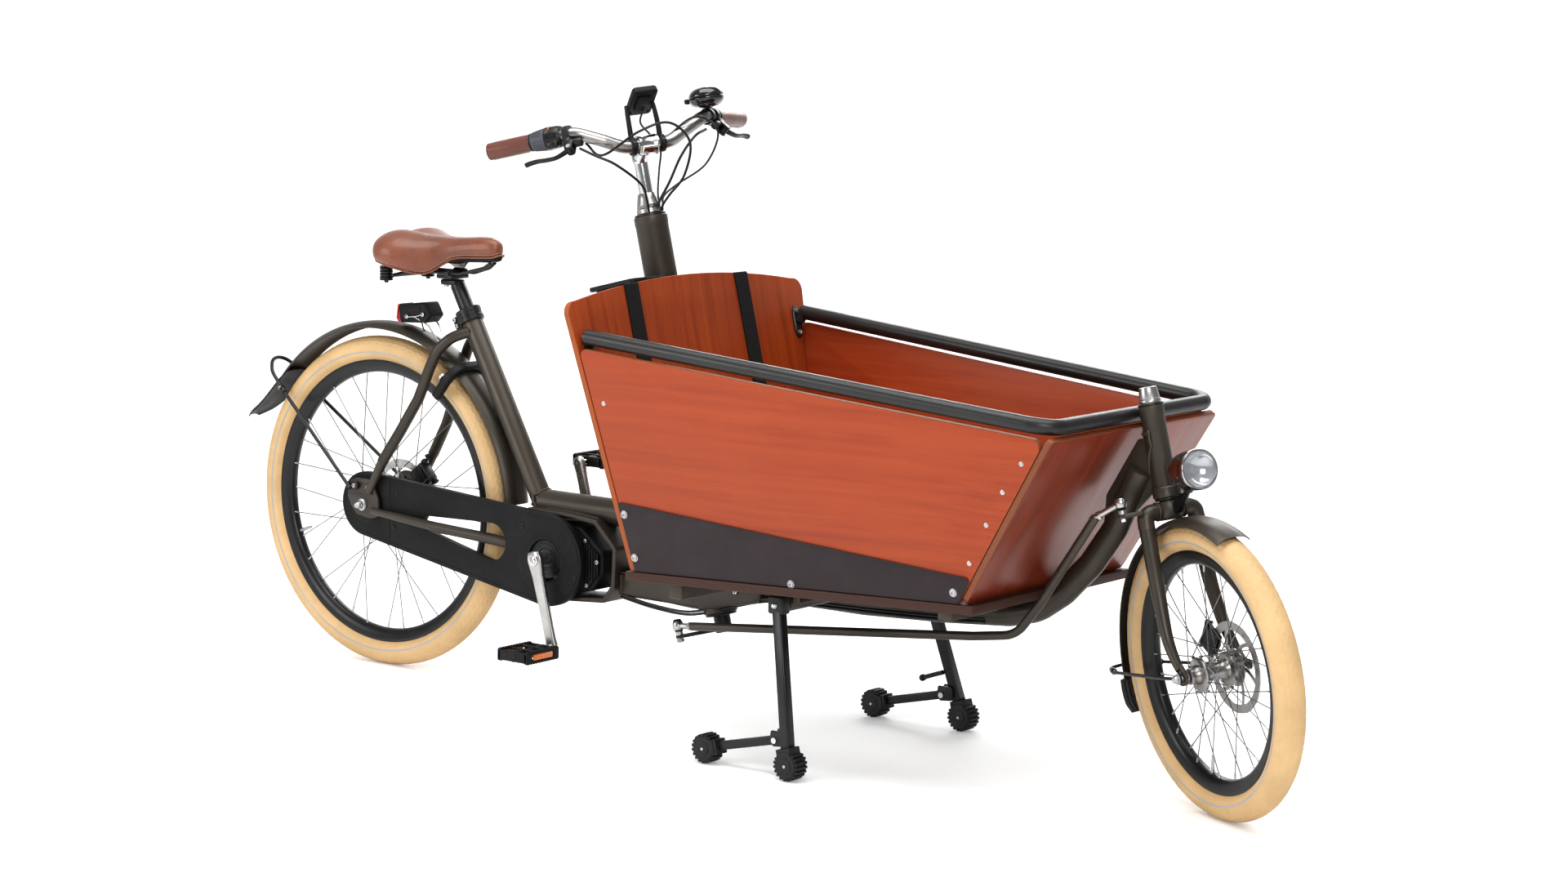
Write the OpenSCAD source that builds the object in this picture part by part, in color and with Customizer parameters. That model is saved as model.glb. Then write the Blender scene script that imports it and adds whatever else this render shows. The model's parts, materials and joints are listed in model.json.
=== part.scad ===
// Long two-wheeled cargo bicycle with a plywood box between the handlebar column and the front wheel.
// X forward, Y to the rider's left, Z up. Origin: ground point under the rear axle, in the mid-plane.

/* [Wheels] */
// Distance between the wheel centres with the steering straight
wheelbase = 1957; // [1950:1:1962]
// Outside diameter of the rear tyre
rear_tyre_d = 670; // [664:2:674]
// Outside diameter of the front tyre
front_tyre_d = 516; // [512:2:518]
// Width of both tyres
tyre_w = 54; // [50:1:55]
// Number of spokes in each wheel
spokes = 32; // [24:4:36]

/* [Steering] */
// Angle the steering is parked at, turned to the rider's right
park_steer = 28; // [0:1:35]
// Forward offset of the front axle from its steering axis
fork_rake = 50; // [46:1:54]
// Sideways length of the two steering arms
arm_len = 88; // [84:1:92]

/* [Handlebar] */
// Half of the handlebar width
bar_half = 256; // [250:1:262]
// Diameter of the handlebar tube
bar_d = 25; // [24.6:0.2:25]
// Outside diameter of the grips
grip_d = 33; // [31:1:35]

/* [Cargo box] */
// Half width of the box at the top rear corners
box_rear_half = 339; // [336:1:341]
// Thickness of the box boards
board_t = 12; // [10:1:12]
// Diameter of the rail around the box
rail_d = 28; // [24:1:28]

/* [Drive] */
// Crank length, centre to centre
crank_len = 172; // [165:1:175]
// Teeth on the chainring
ring_teeth = 38; // [34:1:39]
// Teeth on the rear sprocket
sprocket_teeth = 22; // [18:1:23]

/* [Stand] */
// Side of the square stand legs
leg_w = 20; // [18:1:22]

/* [Hidden] */
$fn = 48;
sides = [-1, 1]; // right, left
fit = 0.06;      // radial gap of a bore around its shaft
pin_fit = 0.07;  // radial gap of a bore around a small pin

// steering axes, both leaning back by tilt
tilt = 14;
column_top = [685, 0, 951];
column_len = 758;
column_bore = 52;
column_r = 16;
stem_r = 13;
head_top = [wheelbase - 160, 0, 693];
head_len = 157.7;
head_bore = 34;
steerer_r = 14.3;
arm_x = -6;

// axles; the front axle's place along the fork is set for a height of 258 and a rake of 50
rear_axle_z = 335;
rear_axle_r = 5;
front_axle_r = 4.5;
fork_axle_z = -((head_top[2] - 258) + 50*sin(tilt))/cos(tilt);
bearing_seat_r = 21.9; // hub boss that carries the rotor

// seat tube
seat_tube_d = 42;
seat_tube_top = [219, 0, 740];
seat_post_r = 15;

// chain drive
pitch = 12.7;
ring_r = pitch/(2*sin(180/ring_teeth));
sprocket_r = pitch/(2*sin(180/sprocket_teeth));
crank_centre = [481, 0, 281];
crank_angle = -75.1;
spindle_r = 12;
pedal_pin_r = 5.5;

// handlebar
bar_clamp = [45, 0, 130];
clamp_bore = bar_d/2 + fit;

// stand
stand_pivot = [1176, 0, 300];
stand_pivot_d = 20;
foot_pivot = [1205, 0, 66];
foot_pin_r = 4;
foot_y = 257;

frame_c = [0.27, 0.25, 0.22];
wood_c = [0.72, 0.31, 0.16];
black_c = [0.08, 0.08, 0.08];
steel_c = [0.75, 0.75, 0.77];
tyre_c = [0.88, 0.76, 0.55];
leather_c = [0.55, 0.27, 0.16];

// ---------- shapes ----------
// turns the z axis onto a direction
module aim(v) rotate([0, acos(v[2]/norm(v)), atan2(v[1], v[0])]) children();
// straight round bar between two points, optionally tapered
module rod(start, end, d, end_d = -1)
  translate(start) aim(end - start)
    cylinder(d1 = d, d2 = end_d < 0 ? d : end_d, h = norm(end - start));
// bent round tube through points; each knuckle's axis lies along the tube that leaves it
module tube(path, d) for (i = [0:len(path) - 2]) {
  rod(path[i], path[i + 1], d);
  if (i > 0) translate(path[i]) aim(path[i + 1] - path[i]) sphere(d = d + 0.8);
}
// path over to the other side: half of it, the points in the mid-plane, then the half mirrored in y
function both_halves(half, middle = []) = concat(half, middle,
  [for (i = [len(half) - 1:-1:0]) [half[i][0], -half[i][1], half[i][2]]]);
// extrudes an X-Z outline between two Y positions
module extrude_y(y0, y1) translate([0, y1, 0]) rotate([90, 0, 0]) linear_extrude(y1 - y0) children();
module slab(outline, y0, y1) extrude_y(y0, y1) polygon(outline);
// disc about a Y axis, by its two faces or by its middle and thickness
module disc(r, y0, y1) translate([0, y1, 0]) rotate([90, 0, 0]) cylinder(r = r, h = y1 - y0);
module disc_at(r, y, t) disc(r, y - t/2, y + t/2);
// solid of revolution about a Y axis, profile as [radius, y]; angle 0 is forward, 90 is up
module revolve_y(profile, start = 0, angle = 360)
  rotate([90, 0, 0]) rotate([0, 0, start]) rotate_extrude(angle = angle, $fn = 144)
    polygon([for (p = profile) [p[0], -p[1]]]);
// hollow sleeve along z, optionally tapered outside
module sleeve(z0, z1, r, bore, end_r = -1) difference() {
  translate([0, 0, z0]) cylinder(r1 = r, r2 = end_r < 0 ? r : end_r, h = z1 - z0);
  translate([0, 0, z0 - 1]) cylinder(r = bore, h = z1 - z0 + 2);
}

// ---------- frames of reference ----------
// steering axes: origin at the top, z up the axis; the steered ones turn with the handlebar
module column_frame() translate(column_top) rotate([0, -tilt, 0]) children();
module steered_column() column_frame() rotate([0, 0, -park_steer]) children();
module head_frame() translate(head_top) rotate([0, -tilt, 0]) children();
module steered_head() head_frame() rotate([0, 0, -park_steer]) children();
// wheel centres; the front one turns with the fork
module at_front_axle() steered_head() translate([fork_rake, 0, fork_axle_z]) children();
module at_rear_axle() translate([0, 0, rear_axle_z]) children();
// seat tube: origin at its top, z up the tube
module seat_frame() translate(seat_tube_top) rotate([0, -29.17, 0]) children();
// one straight end of the handlebar: z runs inward from the bar end, x down
module bar_end(side) steered_column() translate([-93, side*bar_half, 171])
  rotate([0, 0, -side*45.7]) rotate([0, 90, 0]) children();
// bar end turned so that x points towards the brake lever
module lever_frame(side) bar_end(side) rotate([0, 0, side*38]) children();

// ---------- frame ----------
// outlines as [x, z]
shell_outer = [[378, 318], [386, 350], [420, 372], [509, 372], [591, 366], [644, 316],
  [640, 240], [616, 207], [529, 200], [430, 203], [392, 232], [376, 268]];
shell_inner = [[388, 316], [394, 344], [424, 363], [508, 363], [586, 357], [634, 312],
  [631, 243], [611, 216], [529, 209], [434, 212], [401, 238], [386, 270]];
column_foot = [[800, 266], [985, 298], [985, 262], [974, 250], [908, 236], [880, 227], [846, 223], [815, 240]];
head_gusset = [[1776, 634], [1716, 532], [1712, 470], [1750, 480], [1824, 560], [1800, 640]];
dropout = [[-40, 350], [-36, 380], [-16, 388], [24, 388], [44, 350], [46, 314], [20, 308], [-14, 314], [-32, 332]];
// tube under the box, up to the head tube
main_tube = [[880, 0, 274], [1017, 0, 276], [1203, 0, 277], [1377, 0, 286], [1522, 0, 298],
  [1580, 0, 313], [1632, 0, 349], [1688, 0, 407], [1734, 0, 474], [1788, 0, 590]];
module steering_tubes() {
  column_frame() translate([0, 0, -column_len]) cylinder(d = 63, h = column_len);
  head_frame() {
    translate([0, 0, -head_len]) cylinder(d = 42, h = head_len);
    translate([0, 0, -head_len]) cylinder(d = 48, h = 18);
    translate([0, 0, -18]) cylinder(d = 44, h = 18);
  }
}
module main_tubes() {
  rod([424, 0, 373], seat_tube_top, seat_tube_d);
  rod([430, 0, 378], [826, 0, 378], 52);
  difference() {
    slab(shell_outer, -42, 42);
    slab(shell_inner, -50, 50);
  }
  translate([636, -25, 222]) cube([205, 50, 46]);
  slab(column_foot, -34, 34);
  tube(main_tube, 46);
  slab(head_gusset, -5, 5);
}
module rear_triangle() for (s = sides) {
  tube([[28, s*72.4, 325], [196, s*71.6, 312], [322, s*44, 299], [382, s*29.2, 291.9]], 20);
  tube([[20, s*73.5, 362], [60, s*73.4, 430], [102, s*66, 494], [138, s*54, 559],
    [163, s*48, 623], [181, s*45, 660], [208, s*34, 686], [240, s*14, 699]], 22);
  slab(dropout, s*69 - 3, s*69 + 3);
}
// cross members under the floor board
module box_supports() {
  for (s = sides) translate([1160, s*190 - 10, 300]) cube([32, 20, 26.2]);
  translate(stand_pivot) rod([0, -205, 0], [0, 205, 0], 30);
  translate([930, -230, 282]) cube([30, 460, 37.4]);
  translate([1500, -195, 311]) cube([30, 390, 25.7]);
}
module frame() color(frame_c) difference() {
  union() {
    steering_tubes();
    main_tubes();
    rear_triangle();
    box_supports();
  }
  column_frame() translate([0, 0, -800]) cylinder(d = column_bore, h = 900);
  head_frame() translate([0, 0, -200]) cylinder(d = head_bore, h = 300);
  seat_frame() translate([0, 0, -330]) cylinder(r = seat_post_r + 0.05, h = 360);
  translate(stand_pivot) rod([0, -260, 0], [0, 260, 0], stand_pivot_d + 2*fit);
  at_rear_axle() disc(rear_axle_r + 0.1, -100, 100);
  for (s = sides) translate([-12, 0, 374]) disc_at(2.5, s*80, 40);
}
module headset_cup(tube_bore, bore, h, flange_r, up) difference() {
  r = tube_bore/2 - 0.03;
  union() {
    translate([0, 0, up ? -h : 0.05]) cylinder(r = r, h = h - 0.05);
    translate([0, 0, up ? 0.05 : -5]) cylinder(r = flange_r, h = 4.9);
    translate([0, 0, up ? -0.1 : -0.2]) cylinder(r = r, h = 0.3);
  }
  translate([0, 0, -60]) cylinder(r = bore, h = 120);
}
module headset_cups() color(steel_c) for (up = [true, false]) {
  column_frame() translate([0, 0, up ? 0 : -column_len])
    headset_cup(column_bore, column_r + fit, 20, 30, up);
  head_frame() translate([0, 0, up ? 0 : -head_len])
    headset_cup(head_bore, steerer_r + fit, 16, 22, up);
}

// ---------- drive ----------
motor_outline = [[390, 315], [396, 338], [425, 350], [507, 350], [548, 346], [606, 302],
  [606, 262], [580, 226], [529, 213], [436, 214], [404, 241], [389, 271]]; // [x, z]
module motor_unit() color(black_c) difference() {
  slab(motor_outline, -44, 44);
  translate(crank_centre) disc(spindle_r + fit, -60, 60);
  translate(crank_centre) disc(22, -45, -36);
}
// point of circle 1 or 2 where the outer tangent on one side touches
function tangent_at(c, r, angle) = [c[0] + r*cos(angle), c[1] + r*sin(angle)];
function tangent_points(c1, r1, c2, r2, side) =
  let(v = c2 - c1, angle = atan2(v[1], v[0]) + side*acos((r1 - r2)/norm(v)))
  [tangent_at(c1, r1, angle), tangent_at(c2, r2, angle)];
// 2D outline of a loop around two discs; its straight sides lie slightly inside the tangents
module loop_outline(c1, r1, c2, r2) {
  inset = 0.15;
  upper = tangent_points(c1, r1 - inset, c2, r2 - inset, 1);
  lower = tangent_points(c1, r1 - inset, c2, r2 - inset, -1);
  translate(c1) circle(r = r1, $fn = 96);
  translate(c2) circle(r = r2, $fn = 96);
  polygon([c1, upper[0], upper[1], c2, lower[1], lower[0]]);
}
sprocket_xz = [0, rear_axle_z];
ring_xz = [crank_centre[0], crank_centre[2]];
case_front_xz = [482, 277];
module chain_case() color(black_c) difference() {
  union() {
    difference() {
      extrude_y(-61, -46) loop_outline(sprocket_xz, 65, case_front_xz, 90);
      extrude_y(-59, -45) loop_outline(sprocket_xz, 62, case_front_xz, 87);
    }
    extrude_y(-60, -46) loop_outline([170, 314], 18, [340, 297], 40);
  }
  extrude_y(-70, -40) loop_outline([170, 314], 15, [340, 297], 37);
  translate([case_front_xz[0], 0, case_front_xz[1]]) disc(41, -70, -40);
  at_rear_axle() disc(20, -70, -50);
  // joint behind which the tail of the case comes off
  translate([66, -80, 200]) cube([1, 60, 240]);
}
module chain() color([0.3, 0.3, 0.32]) difference() {
  extrude_y(-57, -51) loop_outline(sprocket_xz, sprocket_r + 4.3, ring_xz, ring_r + 4.3);
  extrude_y(-60, -48) loop_outline(sprocket_xz, sprocket_r - 2, ring_xz, ring_r - 2);
}
function crank_end(side) = crank_centre - side*crank_len*[cos(crank_angle), 0, sin(crank_angle)];
module crank_arm(side) {
  y = side*89;
  translate(crank_centre) disc_at(16, y, 14);
  translate(crank_end(side)) disc_at(12.5, y, 14);
  translate(crank_centre) rotate([0, -crank_angle + (side > 0 ? 180 : 0), 0])
    slab([[4, -14], [crank_len, -11], [crank_len, 11], [4, 14]], y - 6, y + 6);
  translate(crank_end(side)) disc_at(pedal_pin_r, side*143, 106);
}
module crank_set() color([0.8, 0.8, 0.82]) {
  translate(crank_centre) disc(spindle_r, -94, 94);
  translate(crank_centre) difference() {
    disc(ring_r - 2.4, -55.5, -52.5);
    for (i = [0:4]) rotate([0, i*72, 0]) translate([42, 0, 0]) disc(13, -70, -40);
  }
  for (s = sides) crank_arm(s);
}
module pedal(side) color(black_c) translate(crank_end(side)) difference() {
  union() {
    difference() {
      translate([-38, side*158 - 46, -12]) cube([76, 92, 24]);
      translate([-28, side*158 - 36, -20]) cube([56, 72, 40]);
    }
    disc_at(11, side*157, 92);
  }
  disc_at(pedal_pin_r + pin_fit, side*149, 98);
}
module pedal_right() pedal(-1);
module pedal_left() pedal(1);

// ---------- cargo box ----------
headboard_top = [781, 0, 812];
// slopes of the side panels: change of half width along x and up z
side_dx = -0.06477;
side_dz = 0.1036;
side_normal = [-side_dx, 1, -side_dz]/norm([-side_dx, 1, -side_dz]);
function side_y(x, z) = box_rear_half + side_dx*(x - headboard_top[0]) + side_dz*(z - 738);
function floor_top(x) = 334 + (x - 872)*0.0302;
function headboard_x(z) = headboard_top[0] + (headboard_top[2] - z)*tan(tilt);
// point at a distance outside a side panel
function side_point(x, z, side, out) = let(p = [x, side_y(x, z), z] + side_normal*out) [p[0], side*p[1], p[2]];
// headboard's front face: z up the board, x forward
module headboard_frame() translate(headboard_top) rotate([0, -tilt, 0]) children();
// flat board on the sloping side plane, outline as [x, z], between two distances outward
module side_board(outline, side, out0, out1) mirror([0, side < 0 ? 1 : 0, 0]) {
  on_side = [for (q = outline) [q[0], side_y(q[0], q[1]), q[1]]];
  n = side_normal;
  along = [1, side_dx, 0]/norm([1, side_dx, 0]);
  across = cross(n, along);
  start = on_side[0];
  multmatrix([for (i = [0:2]) [along[i], across[i], n[i], start[i]]])
    translate([0, 0, out0]) linear_extrude(out1 - out0)
      polygon([for (p = on_side) [(p - start)*along, (p - start)*across]]);
}

module floor_board() color([0.2, 0.1, 0.07]) difference() {
  translate([872, 0, 334]) rotate([0, -1.73, 0]) translate([0, 0, -16]) linear_extrude(16)
    polygon([[6, -297], [738, -251], [738, 251], [6, 297]]);
  translate([1566, -27, 300]) cube([80, 54, 80]);
}
side_outline = [[headboard_x(738) + 1.7, 736.4], [1757.4, 654.1],
  [1579.5, floor_top(1580) + 0.4], [headboard_x(335.5) + 1.7, floor_top(900) + 0.4]];
module side_panel_right() color(wood_c) side_board(side_outline, -1, -board_t, 0);
module side_panel_left() color(wood_c) side_board(side_outline, 1, -board_t, 0);
module front_panel() color([0.45, 0.12, 0.08]) translate([1595, 0, 356.3]) rotate([0, -59.2, 0])
  translate([0, 0, 0.2]) linear_extrude(12) polygon([[0, -247], [346, -266], [346, 266], [0, 247]]);
// board with an arched top and a rounded step at each upper corner
module headboard_outline() difference() {
  intersection() {
    polygon([[-289.7, -487], [-346, 0], [-346, 60], [346, 60], [346, 0], [289.7, -487]]);
    translate([0, -1771]) circle(r = 1808, $fn = 240);
  }
  for (s = sides) difference() {
    translate([s*346 - 22, -2]) square([44, 40]);
    translate([s*322, -15]) circle(r = 24);
    translate([s*302 - 20, -20]) square([40, 60]);
  }
}
module headboard() color(wood_c) headboard_frame() rotate([0, 0, 90]) rotate([90, 0, 0])
  translate([0, 0, -board_t]) linear_extrude(board_t) headboard_outline();
module kick_strips() color([0.2, 0.15, 0.16]) for (s = sides)
  side_board([[headboard_x(462) + 1, 462], [1607, 404], [1580.3, 356.6], [headboard_x(336) + 1, 336]],
    s, 0.15, 3);
rail_y = 309; // rail brackets on the headboard
module box_rail() color([0.2, 0.2, 0.2]) {
  tube(both_halves([[801, -321, 757], [1732, -261.4, 678.4], [1763, -236, 675]]), rail_d);
  for (s = sides) headboard_frame() translate([0.2, s*rail_y - 10, -108]) cube([5, 20, 62]);
}

// bench hinge, in the headboard's frame
hinge = [12, 0, -262];
hinge_y = 150;
hinge_pin_d = 6;
// screw heads as [x, z] on the side panels
strip_screws = [[884, 440], [902, 362], [1572, 376]];
panel_screws = [[1604, 430], [1640, 500], [1712, 612], [850, 640]];
module side_screw(q, side, out0, out1, d)
  rod(side_point(q[0], q[1], side, out0), side_point(q[0], q[1], side, out1), d);
module hinge_lug(side) headboard_frame() {
  difference() {
    translate([0.2, side*hinge_y - 14, -272]) cube([19, 28, 20]);
    translate([-1, side*hinge_y - 9, -280]) cube([30, 18, 40]);
  }
  translate(hinge) rod([0, side*hinge_y - 13, 0], [0, side*hinge_y + 13, 0], hinge_pin_d);
}
module box_fasteners() color(steel_c) for (s = sides) {
  for (q = strip_screws) side_screw(q, s, 3.1, 6.5, 11);
  for (q = panel_screws) side_screw(q, s, 0.1, 2, 8);
  headboard_frame() rod([5.3, s*rail_y, -98], [9, s*rail_y, -98], 12);
  // cleats that carry the bench
  side_board([[872, 546], [1085, 546], [1085, 524], [872, 524]], s, -board_t - 22, -board_t - 0.2);
  hinge_lug(s);
}
module bench_board() color(wood_c) headboard_frame() translate(hinge) rotate([0, tilt, 0]) difference() {
  union() {
    translate([22, 0, -8]) linear_extrude(12) polygon([[0, -276], [220, -256], [220, 256], [0, 276]]);
    for (s = sides) {
      translate([0, s*hinge_y - 8.5, -8]) cube([23, 17, 12]);
      rod([0, s*hinge_y - 8.5, 0], [0, s*hinge_y + 8.5, 0], 15);
    }
  }
  rod([0, -200, 0], [0, 200, 0], hinge_pin_d + 0.1);
}
// two straps over the top of the headboard
module shoulder_straps() color(black_c) for (s = sides) headboard_frame() translate([0, s*162 - 20, 0]) {
  translate([0.4, 0, -240]) cube([2, 40, 274]);
  translate([-2.4 - board_t, 0, 31.9]) cube([4.8 + board_t, 40, 2.1]);
  translate([-2.4 - board_t, 0, -40]) cube([2, 40, 74]);
}
module battery() color(black_c) headboard_frame() {
  translate([-118, -132, -320]) cube([98, 84, 352]);
  translate([-128, -136, 32]) cube([112, 92, 9]);
}

// ---------- rear fittings ----------
// fender section as [radius, y]: radii of the lips and the crown, half width
function fender_profile(lip, crown, half) = [[lip, -half], [crown - 4, 1 - half], [crown, -22],
  [crown, 22], [crown - 4, half - 1], [lip, half], [lip, half - 2], [crown - 5, half - 3],
  [crown - 2, 21], [crown - 2, -21], [crown - 5, 3 - half], [lip, 2 - half]];
// curved end of the rear fender, [x, z]
fender_tail = [[-299, 551], [-322, 518], [-349, 493], [-386, 474],
  [-388, 479], [-352, 499], [-326, 524], [-304, 556]];
module rear_fender() color(frame_c) {
  at_rear_axle() revolve_y(fender_profile(352, 366, 33), 5, 138);
  slab(fender_tail, -32, 32);
}
module rear_fender_stays() color(black_c)
  tube(both_halves([[-27, -78, 366], [-256, -40, 541], [-290, -38.5, 577], [-308, -20, 597]],
    [[-313, 0, 602]]), 7.5);
module tail_light() color([0.6, 0.05, 0.05])
  slab([[42, 709], [60, 742], [120, 748], [138, 718], [120, 706], [72, 704]], -24, 24);
module ring_lock() color(black_c) at_rear_axle() rotate([0, -52, 0]) difference() {
  translate([292, -57, -9]) cube([86, 114, 18]);
  translate([280, -40, -20]) cube([88, 80, 40]);
}
// brake caliper block with a slot for the rotor
module caliper(angle, x, size, slot_y, slot_t) color(black_c) rotate([0, angle, 0]) difference() {
  translate([x, 33, -size[2]/2]) cube(size);
  translate([40, slot_y, -40]) cube([43, slot_t, 80]);
}
module rear_caliper() at_rear_axle() caliper(-40, 52, [46, 26, 52], 42, 6);

// ---------- seat ----------
module seat_clamp() color(black_c) seat_frame() difference() {
  union() {
    translate([0, 0, -28]) cylinder(r = 26, h = 27);
    translate([-40, -9, -28]) cube([20, 18, 27]);
  }
  translate([0, 0, -40]) cylinder(r = seat_tube_d/2 + 0.03, h = 60);
}
module seat_post() color(black_c) {
  seat_frame() translate([0, 0, -250]) cylinder(r = seat_post_r, h = 305);
  translate([158, -17, 785]) cube([42, 34, 22]);
}
module saddle() color(leather_c) hull() {
  for (s = sides) {
    translate([72, s*66, 850]) sphere(r = 32, $fn = 24);
    translate([120, s*40, 852]) sphere(r = 28, $fn = 24);
  }
  translate([292, 0, 856]) sphere(r = 18, $fn = 24);
}
module saddle_rails() color(steel_c) {
  for (s = sides) {
    tube([[270, s*8, 827], [215, s*22, 812], [110, s*22, 812], [58, s*40, 806]], 7);
    translate([58, s*58, 792]) cylinder(d = 26, h = 25);
  }
  rod([58, -70, 802], [58, 70, 802], 7);
}

// ---------- handlebar column ----------
column_pin_r = 4;
module steering_column() color([0.15, 0.15, 0.15]) steered_column() difference() {
  union() {
    translate([0, 0, -795]) cylinder(r = column_r, h = 815);
    translate([0, 0, 6.3]) cylinder(r = 24, h = 15);
    // steering arm, reaching to the right, with its upright pin
    translate([0, 0, -791]) {
      cylinder(r = 24, h = 7);
      linear_extrude(7) polygon([[-20, -8], [arm_x - 9, -arm_len], [arm_x + 9, -arm_len], [20, -8]]);
    }
    translate([arm_x, -arm_len, 0]) {
      translate([0, 0, -791]) cylinder(r = 11, h = 7);
      translate([0, 0, -798]) cylinder(r = column_pin_r, h = 42);
      translate([0, 0, -783]) cylinder(r = 7, h = 6);
    }
  }
  translate([0, 0, -170]) cylinder(r = stem_r + 0.05, h = 200);
}
module stem() color(steel_c) steered_column() difference() {
  union() {
    translate([0, 0, -160]) cylinder(r = stem_r, h = 280);
    translate([0, 0, 104]) cylinder(r = 15.5, h = 20);
    rod([0, 0, 112], [45, 0, 129], 27);
    translate(bar_clamp) disc(19, -20, 20);
  }
  translate(bar_clamp) disc(clamp_bore, -40, 40);
}
module handlebar() color(steel_c) steered_column()
  tube(both_halves([[-93, -bar_half, 171], [29, -131, 171], [41, -82, 148], [45, -46, 130]]), bar_d);
module grips() color(leather_c) for (s = sides) bar_end(s) {
  sleeve(-0.1, s < 0 ? 86 : 124, grip_d/2, clamp_bore);
  translate([0, 0, -5]) cylinder(r = grip_d/2, h = 4.8);
}
module display() color(black_c) steered_column() {
  translate([42, 6, 214]) rotate([0, -30, 0]) cube([85, 62, 13], center = true);
  for (s = sides) {
    translate(bar_clamp + [0, s*29, 0]) difference() {
      disc(17, -5, 5);
      disc(clamp_bore, -10, 10);
    }
    rod([45, s*29, 145], [44, s*27, 209], 9);
  }
}
bell_centre = [32, 142, 205];
bell_pin_r = 5;
module bell() color(black_c) {
  steered_column() translate(bell_centre) {
    rotate_extrude() polygon([[0, 1], [31.5, 1], [31, 8], [26, 15], [14, 19], [0, 20]]);
    rotate_extrude() polygon([[0, -1], [31.5, -1], [31, -8], [26, -15], [14, -18], [0, -18.5]]);
    translate([0, 0, -2]) cylinder(r = bell_pin_r, h = 4);
  }
  bar_end(1) sleeve(151, 161, 16, clamp_bore);
}
module bell_lever() color(black_c) steered_column() translate(bell_centre) difference() {
  union() {
    translate([0, 0, -0.7]) cylinder(r = 9, h = 1.4);
    rotate([0, 0, -140]) {
      translate([0, -5, -0.7]) cube([42, 10, 1.4]);
      translate([36, -7, -5]) cube([9, 14, 10]);
    }
  }
  translate([0, 0, -5]) cylinder(r = bell_pin_r + pin_fit, h = 10);
}
lever_pin_r = 3;
// frame at the height of the lever pivot along the bar end
module lever_pivot(side) lever_frame(side) translate([0, 0, side < 0 ? 168 : 142]) children();
module brake_perch(side) lever_pivot(side) {
  difference() {
    union() {
      translate([0, 0, -15]) cylinder(r = 17, h = 13);
      translate([10, -10, -15]) cube([17, 20, 16]);
    }
    translate([0, 0, -40]) cylinder(r = clamp_bore, h = 80);
  }
  for (y = [-10, 6.4]) translate([26, y, -8]) cube([20, 3.6, 16]);
  translate([38, 0, 0]) disc(lever_pin_r, -9, 9);
}
module brake_perches() color(black_c) {
  for (s = sides) brake_perch(s);
  bar_end(-1) sleeve(117.4, 147, 22, clamp_bore, 20);
}
lever_outline = [[34, -5], [50, -34], [48, -64], [52, -92], [58, -92], [55, -64], [58, -32], [44, -1]];
module brake_lever(side) color(black_c) lever_pivot(side) difference() {
  union() {
    translate([38, 0, 0]) disc(7, -6, 6);
    slab(lever_outline, -5, 5);
  }
  translate([38, 0, 0]) disc(lever_pin_r + pin_fit, -20, 20);
}
module brake_lever_right() brake_lever(-1);
module brake_lever_left() brake_lever(1);
module twist_shifter() color([0.35, 0.36, 0.38]) bar_end(-1) sleeve(87, 116.8, 17.5, bar_d/2 + 0.08, 21.5);
cable_paths = [
  [[52, -128, 132], [78, -84, 108], [66, -34, 62], [36, -18, 28]],
  [[62, 108, 138], [92, 66, 118], [74, 30, 60], [38, 14, 28]],
  [[38, -108, 126], [100, -20, 168], [112, 50, 150], [80, 56, 70], [30, 34, 30]]];
module control_cables() color(black_c) steered_column() for (path = cable_paths) tube(path, 5);

// ---------- tie rod ----------
function turn_z(v, a) = [v[0]*cos(a) - v[1]*sin(a), v[0]*sin(a) + v[1]*cos(a), v[2]];
function tilt_back(v) = [v[0]*cos(tilt) - v[2]*sin(tilt), v[1], v[0]*sin(tilt) + v[2]*cos(tilt)];
// world point of the steering arm's joint at height z on an axis
function arm_joint(top, z) = tilt_back(turn_z([arm_x, -arm_len, z], -park_steer)) + top;
module tie_rod() color([0.18, 0.17, 0.16]) {
  rear = arm_joint(column_top, -767);
  front = arm_joint(head_top, -153);
  bend_low = [1592, rear[1] - 12, 279];
  bend_high = [1644, rear[1] - 18, 344];
  difference() {
    union() {
      translate(rear) sphere(d = 21);
      translate(front) sphere(d = 21);
      rod(rear, rear + [40, 0, 4], 11);
      rod(rear + [32, 0, 3], bend_low, 16);
      rod(bend_low, bend_high, 16);
      rod(bend_high, [front[0] - 46, rear[1] - 14, 500], 16);
      translate(bend_low) sphere(d = 19);
      translate(bend_high) sphere(d = 18.4);
      rod([front[0] - 48, front[1] - 14.5, 497], front, 11);
    }
    for (hole = [[rear, column_pin_r + pin_fit], [front, 4.6]])
      translate(hole[0]) rotate([0, -tilt, 0]) translate([0, 0, -30]) cylinder(r = hole[1], h = 60);
  }
}

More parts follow.
